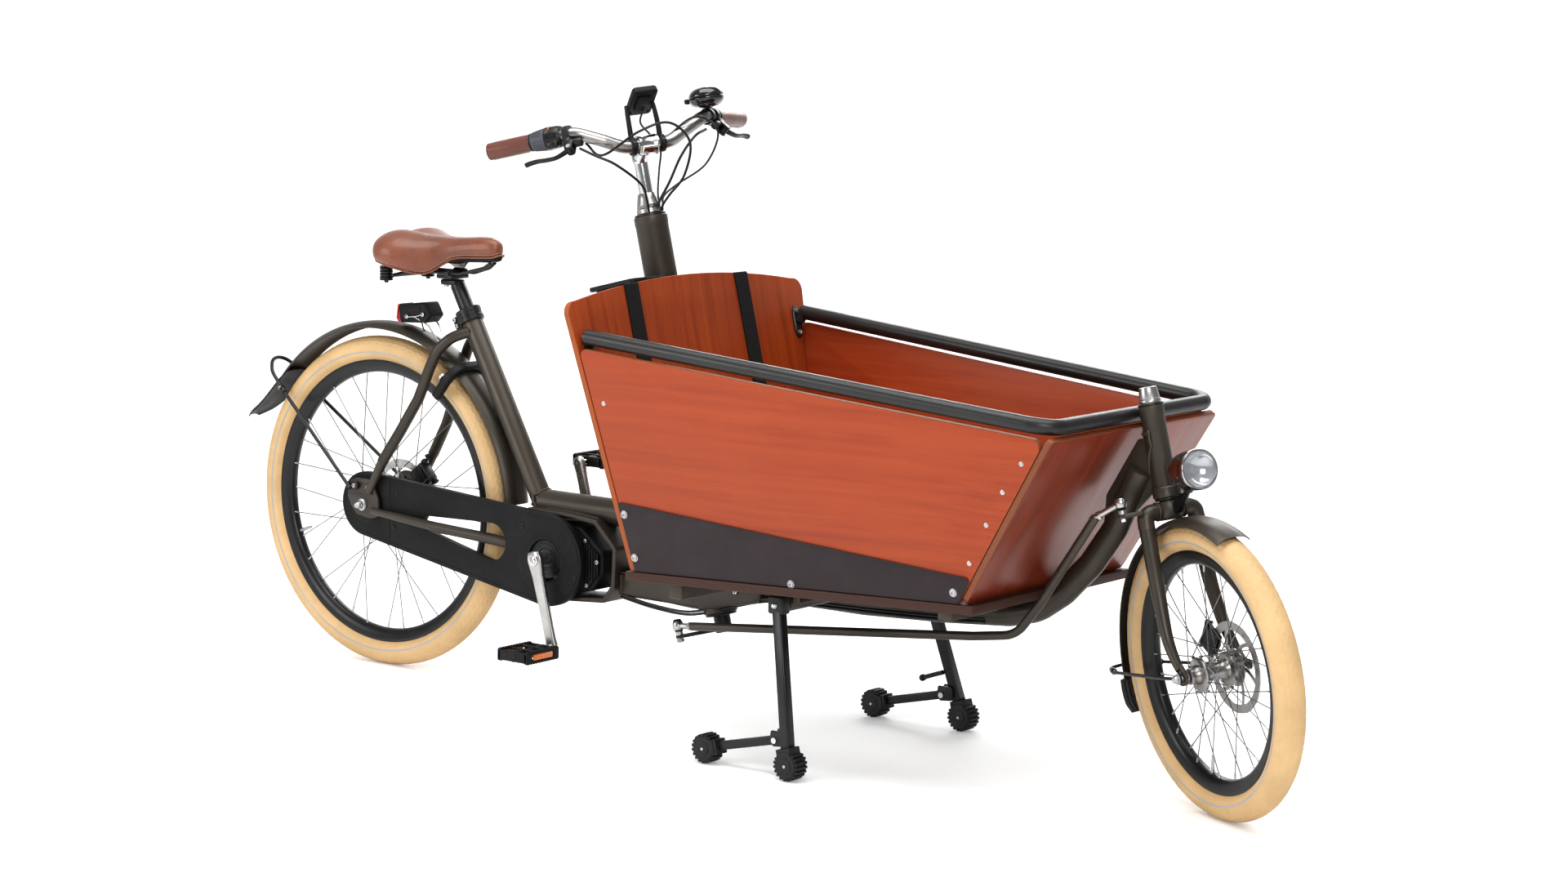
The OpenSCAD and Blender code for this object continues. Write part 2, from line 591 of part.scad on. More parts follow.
// ---------- fork ----------
// fork leg stations: x, half distance between the legs, z, diameter
leg_stations = [[0, 49, -186, 29], [2, 51, -300, 26], [14, 57, -388, 21], [46, 60, -450, 16]];
function leg_point(i, side) = let(p = leg_stations[i]) [p[0], side*p[1], p[2]];
module fork_leg(side) {
  for (i = [0:2]) {
    d = leg_stations[i][3];
    rod(leg_point(i, side), leg_point(i + 1, side), d, leg_stations[i + 1][3]);
    if (i > 0) translate(leg_point(i, side)) sphere(d = d + 0.6);
  }
  translate([fork_rake, 0, fork_axle_z]) disc_at(13, side*60, 6);
  translate([fork_rake - 8, side*60 - 3, fork_axle_z]) cube([14, 6, 24]);
}
module fork() color(frame_c) steered_head() difference() {
  union() {
    translate([0, 0, -166]) cylinder(r = steerer_r, h = 172);
    translate([0, 0, 5.4]) cylinder(r = 19, h = 22);
    translate([0, 0, -194]) cylinder(r = 24, h = 30);
    translate([-14, -60, -194]) cube([28, 120, 28]);
    // steering arm on the right with its upright pin
    translate([arm_x, -arm_len, 0]) {
      translate([-8, 0, -180]) cube([16, 40, 8]);
      translate([0, 0, -180]) cylinder(r = 11, h = 8);
      translate([0, 0, -180]) cylinder(r = 3.8, h = 38);
      translate([0, 0, -173]) cylinder(r = 7, h = 8);
    }
    for (s = sides) fork_leg(s);
  }
  translate([fork_rake, 0, fork_axle_z]) disc(front_axle_r + 0.1, -100, 100);
}
module front_fender() color(frame_c) at_front_axle() {
  revolve_y(fender_profile(254, 266, 32), 57, 124);
  // flap at the lower rear end
  revolve_y([[261, -31], [267, -33], [267, 33], [261, 31]], 181.4, 13);
  for (s = sides) tube([[-8.6, s*67.5, 0], [-60, s*66, 2], [-258, s*36, 12]], 6);
}
lamp_profile = [[0, 48], [14, 48], [26, 60], [33, 84], [35, 116], [35, 124], [30, 126], [0, 127]]; // [radius, x]
module headlight() color(steel_c) steered_head() {
  translate([0, 0, -119]) rotate([0, 90, 0]) rotate_extrude() polygon(lamp_profile);
  slab([[24.6, -186], [34, -186], [72, -153], [62, -149], [24.6, -174]], -6, 6);
}
module front_caliper() at_front_axle() caliper(-140, 54, [44, 13, 48], 39.5, 5);

// ---------- wheels ----------
// nuts, washers and spacers on both ends of an axle: [radius, y, thickness, facets]
module axle_rings(rings) for (s = sides, q = rings) disc_at(q[0], s*q[1], q[2], $fn = q[3]);
module rear_axle() color(steel_c) at_rear_axle() {
  disc(rear_axle_r, -90, 90);
  axle_rings([[8.6, 78, 10, 6], [10, 72.5, 0.9, 48], [9, 63, 5.6, 48]]);
}
module front_axle() color(steel_c) at_front_axle() {
  disc(front_axle_r, -76, 76);
  axle_rings([[8, 74, 6, 6], [8, 54, 5.6, 48]]);
}
module tyre(r) color(tyre_c) rotate([90, 0, 0]) rotate_extrude($fn = 144) difference() {
  translate([r - tyre_w/2, 0]) circle(d = tyre_w, $fn = 64);
  translate([r - tyre_w/2, 0]) circle(d = tyre_w - 7, $fn = 64);
  translate([r - tyre_w - 10, -40]) square([16.5, 80]);
}
module rim(r) color(black_c) revolve_y([
  [r, -16], [r - 12, -16], [r - 25, -9], [r - 25, 9], [r - 12, 16], [r, 16],
  [r, 13.5], [r - 11, 13.2], [r - 22, 7], [r - 22, -7], [r - 11, -13.2], [r, -13.5]]);
// laced spokes from the hub flanges to the rim bed; lead is the angle between a spoke's two ends
module lacing(flange_r, flange_y, bed_r, lead) color(steel_c) for (i = [0:spokes - 1]) {
  angle = i*360/spokes;
  side = i % 2 == 0 ? 1 : -1;
  lean = floor(i/2) % 2 == 0 ? 1 : -1;
  hub_angle = angle + lean*lead;
  inner = [flange_r*cos(hub_angle), side*(flange_y + lean*1.9), flange_r*sin(hub_angle)];
  outer = [bed_r*cos(angle), side*3.5, bed_r*sin(angle)];
  rod(inner, outer, 2.4);
  // nipple
  rod(outer + (inner - outer)*(13/norm(inner - outer)), outer, 4.2);
}
// hub shell with two flanges and a rotor seat on the left; children are added to the shell
module hub(r, half, flange_r, flange_y, seat_end, axle_r) color(steel_c) difference() {
  union() {
    disc(r, -half, half);
    for (s = sides) disc_at(flange_r, s*flange_y, 5);
    disc(bearing_seat_r, 30, seat_end);
    children();
  }
  disc(axle_r + fit, -100, 100);
}
module rotor(y) color(steel_c) difference() {
  disc(80, y - 1, y + 1);
  disc(bearing_seat_r + 0.05, y - 5, y + 5);
  for (i = [0:11]) rotate([0, i*30, 0]) translate([56, 0, 0]) disc(9, y - 5, y + 5);
}
module rear_tyre() at_rear_axle() tyre(rear_tyre_d/2);
module rear_rim() at_rear_axle() rim(287);
module rear_spokes() at_rear_axle() lacing(46, 28, 261.2, 58);
module rear_hub() at_rear_axle() hub(33, 34, 43.5, 28, 58, rear_axle_r) disc(20, -36, 0);
module rear_rotor() at_rear_axle() rotor(45);
module rear_sprocket() color(steel_c) at_rear_axle() difference() {
  union() {
    disc(sprocket_r - 2.4, -55.5, -52.5);
    disc(17, -58, -37);
  }
  disc(rear_axle_r + fit, -100, 0);
}
module front_tyre() at_front_axle() tyre(front_tyre_d/2);
module front_rim() at_front_axle() rim(210);
module front_spokes() at_front_axle() lacing(32, 27, 184.2, 62);
module front_hub() at_front_axle() hub(17, 50, 29.5, 27, 46, front_axle_r);
module front_rotor() at_front_axle() rotor(42);

// ---------- stand ----------
// outlines as [x, z]
rubber_foot = [[1219, 6], [1226, 0], [1252, 0], [1260, 8], [1262, 34], [1252, 57], [1224, 57], [1219, 46]];
foot_lug = [[1230, 84], [1198, 84], [1196, 64], [1204, 54], [1230, 58]];
foot_arm = [[1205, 58], [1205, 74], [1075, 47], [1060, 44], [1060, 18], [1075, 22]];
foot_pad = [[1022, 8], [1030, 0], [1064, 0], [1073, 10], [1073, 46], [1060, 54], [1034, 54], [1023, 42]];
// square leg, splayed outward; the last turn keeps its faces in line with the bicycle
module stand_leg(side) {
  top = [1175.5, side*222, 304];
  v = [1235, side*266, 50] - top;
  translate(top) aim(v) rotate([0, 0, -atan2(v[1], v[0])])
    translate([-leg_w/2, -leg_w/2, 0]) cube([leg_w, leg_w, norm(v)]);
}
module stand() color(black_c) {
  translate(stand_pivot) rod([0, -233, 0], [0, 233, 0], stand_pivot_d);
  for (s = sides) {
    stand_leg(s);
    slab(rubber_foot, s*270 - 21, s*270 + 21);
    // lugs and pin of the foot bar
    for (y = [-11, 8.5]) slab(foot_lug, s*foot_y + y, s*foot_y + y + 2.5);
    translate(foot_pivot) disc_at(foot_pin_r, s*foot_y, 25);
  }
  // peg on the left leg
  rod([1210, 244, 111], [1157, 250, 92], 9);
}
module foot_bars() color(black_c) for (s = sides) translate([0, s*foot_y, 0]) difference() {
  union() {
    translate(foot_pivot) disc(8.5, -8, 8);
    slab(foot_arm, -8, 8);
    slab(foot_pad, -21, 21);
  }
  translate(foot_pivot) disc(foot_pin_r + pin_fit, -20, 20);
}

frame();
motor_unit();
chain_case();
chain();
floor_board();
side_panel_right();
side_panel_left();
front_panel();
headboard();
kick_strips();
box_rail();
box_fasteners();
shoulder_straps();
rear_fender();
rear_fender_stays();
tail_light();
ring_lock();
seat_clamp();
headset_cups();
rear_caliper();
rear_axle();
bench_board();
battery();
seat_post();
saddle();
saddle_rails();
steering_column();
stem();
handlebar();
grips();
display();
bell();
brake_perches();
control_cables();
bell_lever();
brake_lever_right();
brake_lever_left();
twist_shifter();
tie_rod();
fork();
front_fender();
headlight();
front_caliper();
front_axle();
front_tyre();
front_rim();
front_spokes();
front_hub();
front_rotor();
rear_tyre();
rear_rim();
rear_spokes();
rear_hub();
rear_rotor();
rear_sprocket();
crank_set();
pedal_right();
pedal_left();
stand();
foot_bars();
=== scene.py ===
"""A cargo bicycle: plywood box ahead of the rider, small front wheel, rod-linked steering.

+X points forward, +Y to the rider's left and +Z up, with the ground at z = 0 and the
rear axle above the origin. Geometry is written in millimetres and scaled to metres when
a part is finished. `side` is -1 for right (-Y) and +1 for left (+Y).
"""

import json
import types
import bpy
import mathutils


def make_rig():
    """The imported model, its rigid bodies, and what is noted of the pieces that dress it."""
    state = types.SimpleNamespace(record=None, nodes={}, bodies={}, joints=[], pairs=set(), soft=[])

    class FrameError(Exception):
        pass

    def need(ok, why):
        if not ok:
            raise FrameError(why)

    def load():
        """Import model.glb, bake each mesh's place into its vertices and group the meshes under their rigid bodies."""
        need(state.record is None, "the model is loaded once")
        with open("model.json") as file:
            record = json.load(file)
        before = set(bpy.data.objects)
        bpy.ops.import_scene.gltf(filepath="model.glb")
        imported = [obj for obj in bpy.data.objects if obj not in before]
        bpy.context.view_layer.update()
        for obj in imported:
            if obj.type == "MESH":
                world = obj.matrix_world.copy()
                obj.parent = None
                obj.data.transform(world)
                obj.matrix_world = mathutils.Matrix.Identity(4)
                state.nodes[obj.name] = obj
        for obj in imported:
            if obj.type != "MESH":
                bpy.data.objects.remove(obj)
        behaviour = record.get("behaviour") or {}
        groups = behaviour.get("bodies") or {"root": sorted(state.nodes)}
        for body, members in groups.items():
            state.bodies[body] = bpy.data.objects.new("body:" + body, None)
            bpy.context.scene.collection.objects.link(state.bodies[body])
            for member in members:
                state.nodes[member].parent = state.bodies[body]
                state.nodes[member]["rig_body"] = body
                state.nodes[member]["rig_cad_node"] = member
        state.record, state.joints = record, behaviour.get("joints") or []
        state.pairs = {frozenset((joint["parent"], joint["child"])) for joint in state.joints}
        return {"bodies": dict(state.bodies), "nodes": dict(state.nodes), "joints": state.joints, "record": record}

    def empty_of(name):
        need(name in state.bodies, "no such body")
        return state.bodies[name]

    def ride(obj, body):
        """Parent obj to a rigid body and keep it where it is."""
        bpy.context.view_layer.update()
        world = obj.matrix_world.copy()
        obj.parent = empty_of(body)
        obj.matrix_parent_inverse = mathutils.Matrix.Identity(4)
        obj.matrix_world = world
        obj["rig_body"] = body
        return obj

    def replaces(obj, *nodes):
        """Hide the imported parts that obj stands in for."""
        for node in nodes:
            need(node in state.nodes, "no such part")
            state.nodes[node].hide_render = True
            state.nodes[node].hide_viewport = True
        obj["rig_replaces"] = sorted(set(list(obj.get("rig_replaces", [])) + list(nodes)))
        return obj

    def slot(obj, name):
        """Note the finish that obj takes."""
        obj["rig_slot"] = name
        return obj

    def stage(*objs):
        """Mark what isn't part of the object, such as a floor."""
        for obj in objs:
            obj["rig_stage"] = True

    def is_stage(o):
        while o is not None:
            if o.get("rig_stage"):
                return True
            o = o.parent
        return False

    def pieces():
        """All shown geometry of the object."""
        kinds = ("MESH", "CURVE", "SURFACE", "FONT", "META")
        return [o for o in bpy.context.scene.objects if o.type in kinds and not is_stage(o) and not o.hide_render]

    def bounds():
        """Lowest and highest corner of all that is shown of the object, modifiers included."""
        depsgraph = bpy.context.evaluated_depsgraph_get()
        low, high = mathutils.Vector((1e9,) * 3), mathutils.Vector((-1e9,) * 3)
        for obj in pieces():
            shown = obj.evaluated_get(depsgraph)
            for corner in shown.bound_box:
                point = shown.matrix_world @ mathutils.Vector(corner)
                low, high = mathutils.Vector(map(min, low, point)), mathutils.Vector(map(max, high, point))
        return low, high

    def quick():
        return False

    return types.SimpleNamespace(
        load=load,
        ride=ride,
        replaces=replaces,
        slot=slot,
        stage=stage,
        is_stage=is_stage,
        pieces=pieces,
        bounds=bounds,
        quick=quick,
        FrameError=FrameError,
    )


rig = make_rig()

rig.load()

import json
import random
from math import acos, asin, atan2, cos, degrees, pi, radians, sin, sqrt, tan

import bmesh
import bpy
import numpy as np
from mathutils import Matrix, Vector
from mathutils.geometry import tessellate_polygon

LOADED_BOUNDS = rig.bounds()
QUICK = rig.quick()
random.seed(4)
RNG = np.random.default_rng(7)
SIDES = (-1, 1)
NAMED_SIDES = ((-1, "right"), (1, "left"))
SCENE = bpy.context.scene


# ================================================================ frames
def turn(axis, angle):
    return Matrix.Rotation(radians(angle), 4, axis)


def move(x, y, z):
    return Matrix.Translation((x, y, z))


def facing(side):
    """Local z points out to the given side."""
    return turn("X", -90 * side)


def point(place, position):
    """A local position in world axes."""
    return np.array(place @ Vector(position))


def frame_along(origin, z_axis, x_hint=None):
    """Frame at the origin with z along z_axis and x as near x_hint as it can be."""
    z = Vector(z_axis).normalized()
    if x_hint is None:
        x_hint = (1, 0, 0) if abs(z.x) < 0.9 else (0, 1, 0)
    x = Vector(x_hint)
    x = (x - z * x.dot(z)).normalized()
    y = z.cross(x)
    return Matrix([(x[i], y[i], z[i], origin[i]) for i in range(3)] + [(0, 0, 0, 1)])


TILT = 14  # both steering axes lean back by this, degrees
PARK = 28  # the steering is turned to the right by this, degrees
REAR_RADIUS, FRONT_RADIUS = 335, 258  # over the tyres
COLUMN_TOP = (685, 0, 951)
HEAD_TOP = (1797, 0, 693)
AXLE_LEAD = 50  # front axle ahead of the fork's axis
AXLE_Z = -((HEAD_TOP[2] - FRONT_RADIUS) + AXLE_LEAD * sin(radians(TILT))) / cos(radians(TILT))
HEADBOARD_X, HEADBOARD_Z = 781, 812
ARM_X, ARM_Y = -6, -88  # rod joint on both steering arms

IDENTITY = Matrix.Identity(4)
ACROSS = facing(1)  # local z -> +Y
SIDE_VIEW = Matrix(((1, 0, 0, 0), (0, 0, -1, 0), (0, 1, 0, 0), (0, 0, 0, 1)))  # y -> Z, z -> -Y
SIDE_MIRROR = Matrix(((1, 0, 0, 0), (0, 0, 1, 0), (0, 1, 0, 0), (0, 0, 0, 1)))  # y -> Z, z -> +Y
END_VIEW = Matrix(((0, 0, 1, 0), (1, 0, 0, 0), (0, 1, 0, 0), (0, 0, 0, 1)))  # x -> Y, y -> Z
COLUMN = move(*COLUMN_TOP) @ turn("Y", -TILT)  # rear head tube, origin at its top
STEERED = COLUMN @ turn("Z", -PARK)
HEAD = move(*HEAD_TOP) @ turn("Y", -TILT)  # front head tube
FORK = HEAD @ turn("Z", -PARK)
FRONT_WHEEL = FORK @ move(AXLE_LEAD, 0, AXLE_Z)
REAR_WHEEL = move(0, 0, REAR_RADIUS)
SEAT = move(219, 0, 740) @ turn("Y", -29.17)  # top of the seat tube
HEADBOARD = move(HEADBOARD_X, 0, HEADBOARD_Z) @ turn("Y", -TILT)
CRANK = move(481, 0, 281)
CRANK_CENTRE = np.array([481.0, 0, 281.0])
CRANK_ANGLE = -75.1
SIDE_DX, SIDE_DZ = -0.06477, 0.1036  # change of the side boards' y along x and z


def bar_end(side):
    """Local z runs from the tip of the handlebar inwards."""
    return STEERED @ move(-93, side * 256, 171) @ turn("Z", -side * 45.7) @ turn("Y", 90)


def lever_frame(side):
    return bar_end(side) @ turn("Z", side * 38)


def board_y(x, z):
    """Distance of the side boards' outer face from the centre plane."""
    return 339 + SIDE_DX * (x - HEADBOARD_X) + SIDE_DZ * (z - 738)


def floor_top(x):
    return 334 + (x - 872) * 0.0302


def headboard_x(z):
    return HEADBOARD_X + (HEADBOARD_Z - z) * tan(radians(TILT))


# ================================================================ paths and outlines
def corner_arc(before, corner, after, radius, steps, straight):
    """Points that round one corner, or the corner itself if it is nearly straight."""
    to_before, to_after = before - corner, after - corner
    length_before, length_after = np.linalg.norm(to_before), np.linalg.norm(to_after)
    to_before, to_after = to_before / length_before, to_after / length_after
    angle = acos(max(-1, min(1, float(to_before @ to_after))))
    if angle > radians(straight) or radius <= 0:
        return [corner]
    reach = min(radius / tan(angle / 2), 0.48 * length_before, 0.48 * length_after)
    radius = reach * tan(angle / 2)
    middle = (to_before + to_after) / np.linalg.norm(to_before + to_after)
    centre = corner + middle * (radius / sin(angle / 2))
    start, end = corner + to_before * reach - centre, corner + to_after * reach - centre
    total = acos(max(-1, min(1, float(start @ end) / (radius * radius))))
    arc = []
    for k in range(steps + 1):
        t = k / steps
        arc.append(centre + (sin((1 - t) * total) * start + sin(t * total) * end) / sin(total))
    return arc


def round_path(points, radius, steps):
    """Open 3D path with rounded corners; radius may be a list."""
    points = [np.asarray(p, float) for p in points]
    radii = [radius] * len(points) if np.isscalar(radius) else radius
    path = [points[0]]
    for i in range(1, len(points) - 1):
        path += corner_arc(*points[i - 1 : i + 2], radii[i], steps, 179.3)
    path.append(points[-1])
    return np.array(path)


def round_outline(points, radius, steps):
    """Closed 2D outline with rounded corners; radius may be a list."""
    points = [np.array([p[0], p[1]], float) for p in points]
    count = len(points)
    radii = [radius] * count if np.isscalar(radius) else radius
    outline = []
    for i in range(count):
        after = points[(i + 1) % count]
        outline += corner_arc(points[i - 1], points[i], after, radii[i], steps, 178)
    return np.array(outline)


def rect(x0, y0, x1, y1, radius, steps):
    return round_outline([[x0, y0], [x1, y0], [x1, y1], [x0, y1]], radius, steps)


def circle(radius, count=32, centre=(0, 0)):
    a = np.arange(count) * 2 * pi / count
    return np.column_stack([centre[0] + radius * np.cos(a), centre[1] + radius * np.sin(a)])


def hexagon(radius, count):
    a = np.arange(count) * 2 * pi / count
    reach = radius * cos(pi / 6) / np.cos((a % (pi / 3)) - pi / 6)
    return np.column_stack([reach * np.cos(a), reach * np.sin(a)])


def spline(points, steps):
    """Smooth curve through the points (Catmull-Rom)."""
    p = [np.asarray(q, float) for q in points]
    p = [2 * p[0] - p[1]] + p + [2 * p[-1] - p[-2]]
    curve = []
    for i in range(1, len(p) - 2):
        a, b, c, d = p[i - 1 : i + 3]
        for k in range(steps):
            t = k / steps
            square = (2 * a - 5 * b + 4 * c - d) * t * t
            curve.append(0.5 * ((2 * b) + (c - a) * t + square + (3 * b - a - 3 * c + d) * t**3))
    curve.append(p[-2])
    return np.array(curve)


def mirrored(half):
    """Profile of (radius, z) continued by its mirror image in z; a point at z = 0 stays single."""
    return half + [(radius, -z) for radius, z in reversed(half) if z]


def across(half):
    """Path of (x, y, z) continued by its mirror image on the other side."""
    return half + [(x, -y, z) for x, y, z in reversed(half) if y]


def lengths(points):
    """Distance along a path at each of its points."""
    return np.concatenate([[0], np.cumsum(np.linalg.norm(np.diff(points, axis=0), axis=1))])


def at_length(points, distances, where):
    return np.stack([np.interp(where, distances, column) for column in points.T], -1)


def area(outline):
    x, y = outline[:, 0], outline[:, 1]
    return 0.5 * np.sum(x * np.roll(y, -1) - np.roll(x, -1) * y)


def inset(outline, distance):
    """Counter-clockwise outline moved inwards."""
    edge_in, edge_out = outline - np.roll(outline, 1, 0), np.roll(outline, -1, 0) - outline
    edge_in = edge_in / (np.linalg.norm(edge_in, axis=1)[:, None] + 1e-12)
    edge_out = edge_out / (np.linalg.norm(edge_out, axis=1)[:, None] + 1e-12)
    normal_in = np.stack([-edge_in[:, 1], edge_in[:, 0]], 1)
    both = normal_in + np.stack([-edge_out[:, 1], edge_out[:, 0]], 1)
    scale = np.maximum(np.sum(both * normal_in, 1), 0.35)
    return outline + both / scale[:, None] * distance


def is_convex(outline):
    a, c = outline - np.roll(outline, 1, 0), np.roll(outline, -1, 0) - outline
    cross = a[:, 0] * c[:, 1] - a[:, 1] * c[:, 0]
    return bool((cross > -1e-6).all() or (cross < 1e-6).all())


# ================================================================ shapes: (vertices, faces)
def skin(rings, size, wrap_rings=False, wrap_points=True, first=0):
    """Quads between rings of `size` points each."""
    faces = []
    for i in range(rings if wrap_rings else rings - 1):
        here, there = first + i * size, first + (i + 1) % rings * size
        for j in range(size if wrap_points else size - 1):
            k = (j + 1) % size
            faces.append((here + j, here + k, there + k, there + j))
    return faces


def end_caps(rings, size):
    return [tuple(range(size)), tuple(range((rings - 1) * size, rings * size))]


def loft(rings, closed=False):
    """Skin over rings with the same number of points, capped unless closed."""
    count, size = len(rings), len(rings[0])
    faces = skin(count, size, closed)
    if not closed:
        faces += end_caps(count, size)
    return np.concatenate([np.asarray(r, float) for r in rings]), faces


def stack(levels):
    """Loft over (outline, z) levels."""
    return loft([np.column_stack([outline, np.full(len(outline), z)]) for outline, z in levels])


def tube(path, radius, segments=16, closed=False):
    """Round tube along a path; radius may vary point by point."""
    p = np.asarray(path, float)
    count = len(p)
    if closed:
        tangents = np.roll(p, -1, 0) - np.roll(p, 1, 0)
    else:
        tangents = np.gradient(p, axis=0)
        tangents[0], tangents[-1] = p[1] - p[0], p[-1] - p[-2]
    tangents /= np.linalg.norm(tangents, axis=1)[:, None] + 1e-12
    start = np.array([0, 0, 1.0]) if abs(tangents[0][2]) < 0.9 else np.array([1.0, 0, 0])
    normal = np.cross(tangents[0], start)
    normals = [normal / np.linalg.norm(normal)]
    for t in tangents[1:]:
        normal = normals[-1] - t * (normals[-1] @ t)
        normals.append(normal / (np.linalg.norm(normal) + 1e-12))
    normals = np.array(normals)
    binormals = np.cross(tangents, normals)
    twist = np.zeros(count)
    if closed:  # spread the twist over the loop
        gap = atan2(normals[0] @ binormals[-1], normals[0] @ normals[-1])
        twist = gap * np.arange(count) / count
    radii = np.full(count, float(radius)) if np.isscalar(radius) else np.asarray(radius, float)
    angles = np.arange(segments) * 2 * pi / segments
    rings = []
    for i in range(count):
        a = angles + twist[i]
        out = (np.cos(a) * radii[i])[:, None] * normals[i]
        rings.append(p[i] + out + (np.sin(a) * radii[i])[:, None] * binormals[i])
    return loft(rings, closed)


def revolve(profile, segments, start=0.0, end=360.0, closed=False, shape=None):
    """Profile of (radius, z) about local z; shape(angles, radii, heights) may bend it."""
    profile = np.asarray(profile, float)
    full = end - start == 360
    count = segments if full else segments + 1
    angles = np.radians(start + (end - start) * np.arange(count) / segments)
    size = len(profile)
    r = np.tile(profile[:, 0], (count, 1))
    z = np.tile(profile[:, 1], (count, 1))
    if shape is not None:
        r, z = shape(angles[:, None] * np.ones((1, size)), r, z)
    v = np.stack([r * np.cos(angles)[:, None], r * np.sin(angles)[:, None], z], -1)
    faces = skin(count, size, full, closed)
    if closed and not full:
        faces += end_caps(count, size)
    return v.reshape(-1, 3), faces


def ring(profile, segments=48, start=0.0, end=360.0, shape=None):
    """Revolved closed profile."""
    return revolve(profile, segments, start, end, True, shape)


def lathe(profile, segments=48):
    """Revolved open profile, its ends closed with flat discs unless they are on the axis."""
    v, faces = revolve(profile, segments)
    size = len(profile)
    if profile[0][0] > 1e-6:
        faces.append(tuple(i * size for i in range(segments)))
    if profile[-1][0] > 1e-6:
        faces.append(tuple(i * size + size - 1 for i in range(segments)))
    return v, faces


def chamfered(bore, radius, low, high, cut, rise=None):
    """Profile with cut outer corners; rise is the cut's height where it isn't 45 degrees."""
    rise = cut if rise is None else rise
    return [(bore, low), (radius - cut, low), (radius, low + rise),
            (radius, high - rise), (radius - cut, high), (bore, high)]


def sleeve(bore, radius, low, high, cut, segments, rise=None):
    return ring(chamfered(bore, radius, low, high, cut, rise), segments)


def pin(radius, half, cut, segments):
    return lathe(chamfered(0, radius, -half, half, cut, 1), segments)


def prism(loops, z0, z1, bevel, steps):
    """Plate with outline loops[0] and holes loops[1:], its edges rounded."""
    rings = []
    for k in range(steps + 1):
        a = pi / 2 * k / steps
        rings.append((bevel * (1 - sin(a)), z0 + bevel * (1 - cos(a))))
    for k in range(steps + 1):
        a = pi / 2 * (1 - k / steps)
        rings.append((bevel * (1 - sin(a)), z1 - bevel * (1 - cos(a))))
    vertices, faces, base = [], [], 0
    bottom, top = [], []
    for i, outline in enumerate(loops):
        outline = np.asarray(outline, float)
        if (area(outline) > 0) != (i == 0):
            outline = outline[::-1]
        size = len(outline)
        for distance, z in rings:
            shrunk = inset(outline, distance) if distance > 0 else outline
            vertices.append(np.column_stack([shrunk, np.full(size, z)]))
        faces += skin(len(rings), size, first=base)
        bottom.append((vertices[-len(rings)], base))
        top.append((vertices[-1], base + (len(rings) - 1) * size))
        base += size * len(rings)
    for group, flip in ((bottom, True), (top, False)):
        order = [first + j for points, first in group for j in range(len(points))]
        if len(group) == 1 and len(order) <= 64 and is_convex(group[0][0][:, :2]):
            faces.append(tuple(order[::-1] if flip else order))
            continue
        flat = [[Vector((q[0], q[1], 0)) for q in points] for points, first in group]
        for triangle in tessellate_polygon(flat):
            face = [order[i] for i in triangle]
            if len(set(face)) == 3:
                faces.append(tuple(face[::-1] if flip else face))
    return np.concatenate(vertices), faces


def block(size_x, size_y, size_z, bevel=1.0, steps=2):
    """Box centred at the origin with rounded edges."""
    bm = bmesh.new()
    bmesh.ops.create_cube(bm, size=1)
    for v in bm.verts:
        v.co = Vector((v.co.x * size_x, v.co.y * size_y, v.co.z * size_z))
    bmesh.ops.bevel(bm, geom=bm.edges[:] + bm.verts[:], offset=bevel, segments=steps,
                    affect="EDGES", profile=0.5)
    bm.verts.ensure_lookup_table()
    bm.verts.index_update()
    vertices = np.array([v.co for v in bm.verts])
    faces = [tuple(v.index for v in face.verts) for face in bm.faces]
    bm.free()
    return vertices, faces


def flat_bar(section, path):
    """Section of (across, up) swept along a path that lies level in local z."""
    p = np.asarray(path, float)
    tangents = np.gradient(p, axis=0)
    tangents /= np.linalg.norm(tangents, axis=1)[:, None]
    up = np.array([0, 0, 1.0])
    s = np.asarray(section, float)
    return loft([p[i] + s[:, :1] * np.cross(up, t) + s[:, 1:] * up
                 for i, t in enumerate(tangents)])


def nut(radius, height):
    return stack([(hexagon(radius, 36), 0), (hexagon(radius, 36), height - 0.8),
                  (circle(radius * 0.84, 36), height)])


def cap_screw(radius, height, socket=0.5):
    """Cylindrical head with a hexagonal recess."""
    n = 36
    b = min(0.25 * radius, 0.3 * height)
    recess = radius * socket
    return stack([
        (circle(radius, n), 0), (circle(radius, n), height - b),
        (circle(radius - b * 0.3, n), height - b * 0.3), (circle(radius - b, n), height),
        (hexagon(recess * 1.08, n), height), (hexagon(recess, n), height - 0.08 * radius),
        (hexagon(recess, n), height * 0.35)])


def dome_screw(radius, height):
    """Button head with a hexagonal recess."""
    n = 36
    levels = [(circle(radius, n), 0)]
    for k in range(5):
        a = k / 5 * 1.15
        z = 0.12 * height + 0.88 * height * sin(a) / sin(1.15)
        levels.append((circle(radius * cos(a) ** 0.75, n), z))
    recess = radius * 0.42
    return stack(levels + [
        (hexagon(recess * 1.06, n), height), (hexagon(recess, n), height - 0.06 * radius),
        (hexagon(recess, n), height * 0.3)])


def acorn_nut(radius, height):
    n = 36
    levels = [(hexagon(radius, n), 0), (hexagon(radius, n), height * 0.36)]
    for k in range(7):
        a = k / 6 * pi / 2 * 0.97
        levels.append((circle(radius * 0.82 * cos(a), n), height * 0.42 + height * 0.58 * sin(a)))
    return stack(levels)


def disc(radius, height, b=0.6, hole=0, segments=40):
    """Rounded disc standing on z 0; with a hole it is a washer."""
    b = min(b, height * 0.45)
    rim = [(radius - b, 0), (radius - b * 0.3, b * 0.3), (radius, b), (radius, height - b),
           (radius - b * 0.3, height - b * 0.3), (radius - b, height)]
    if hole:
        return ring([(hole, 0)] + rim + [(hole, height)], segments)
    return lathe(rim, segments)


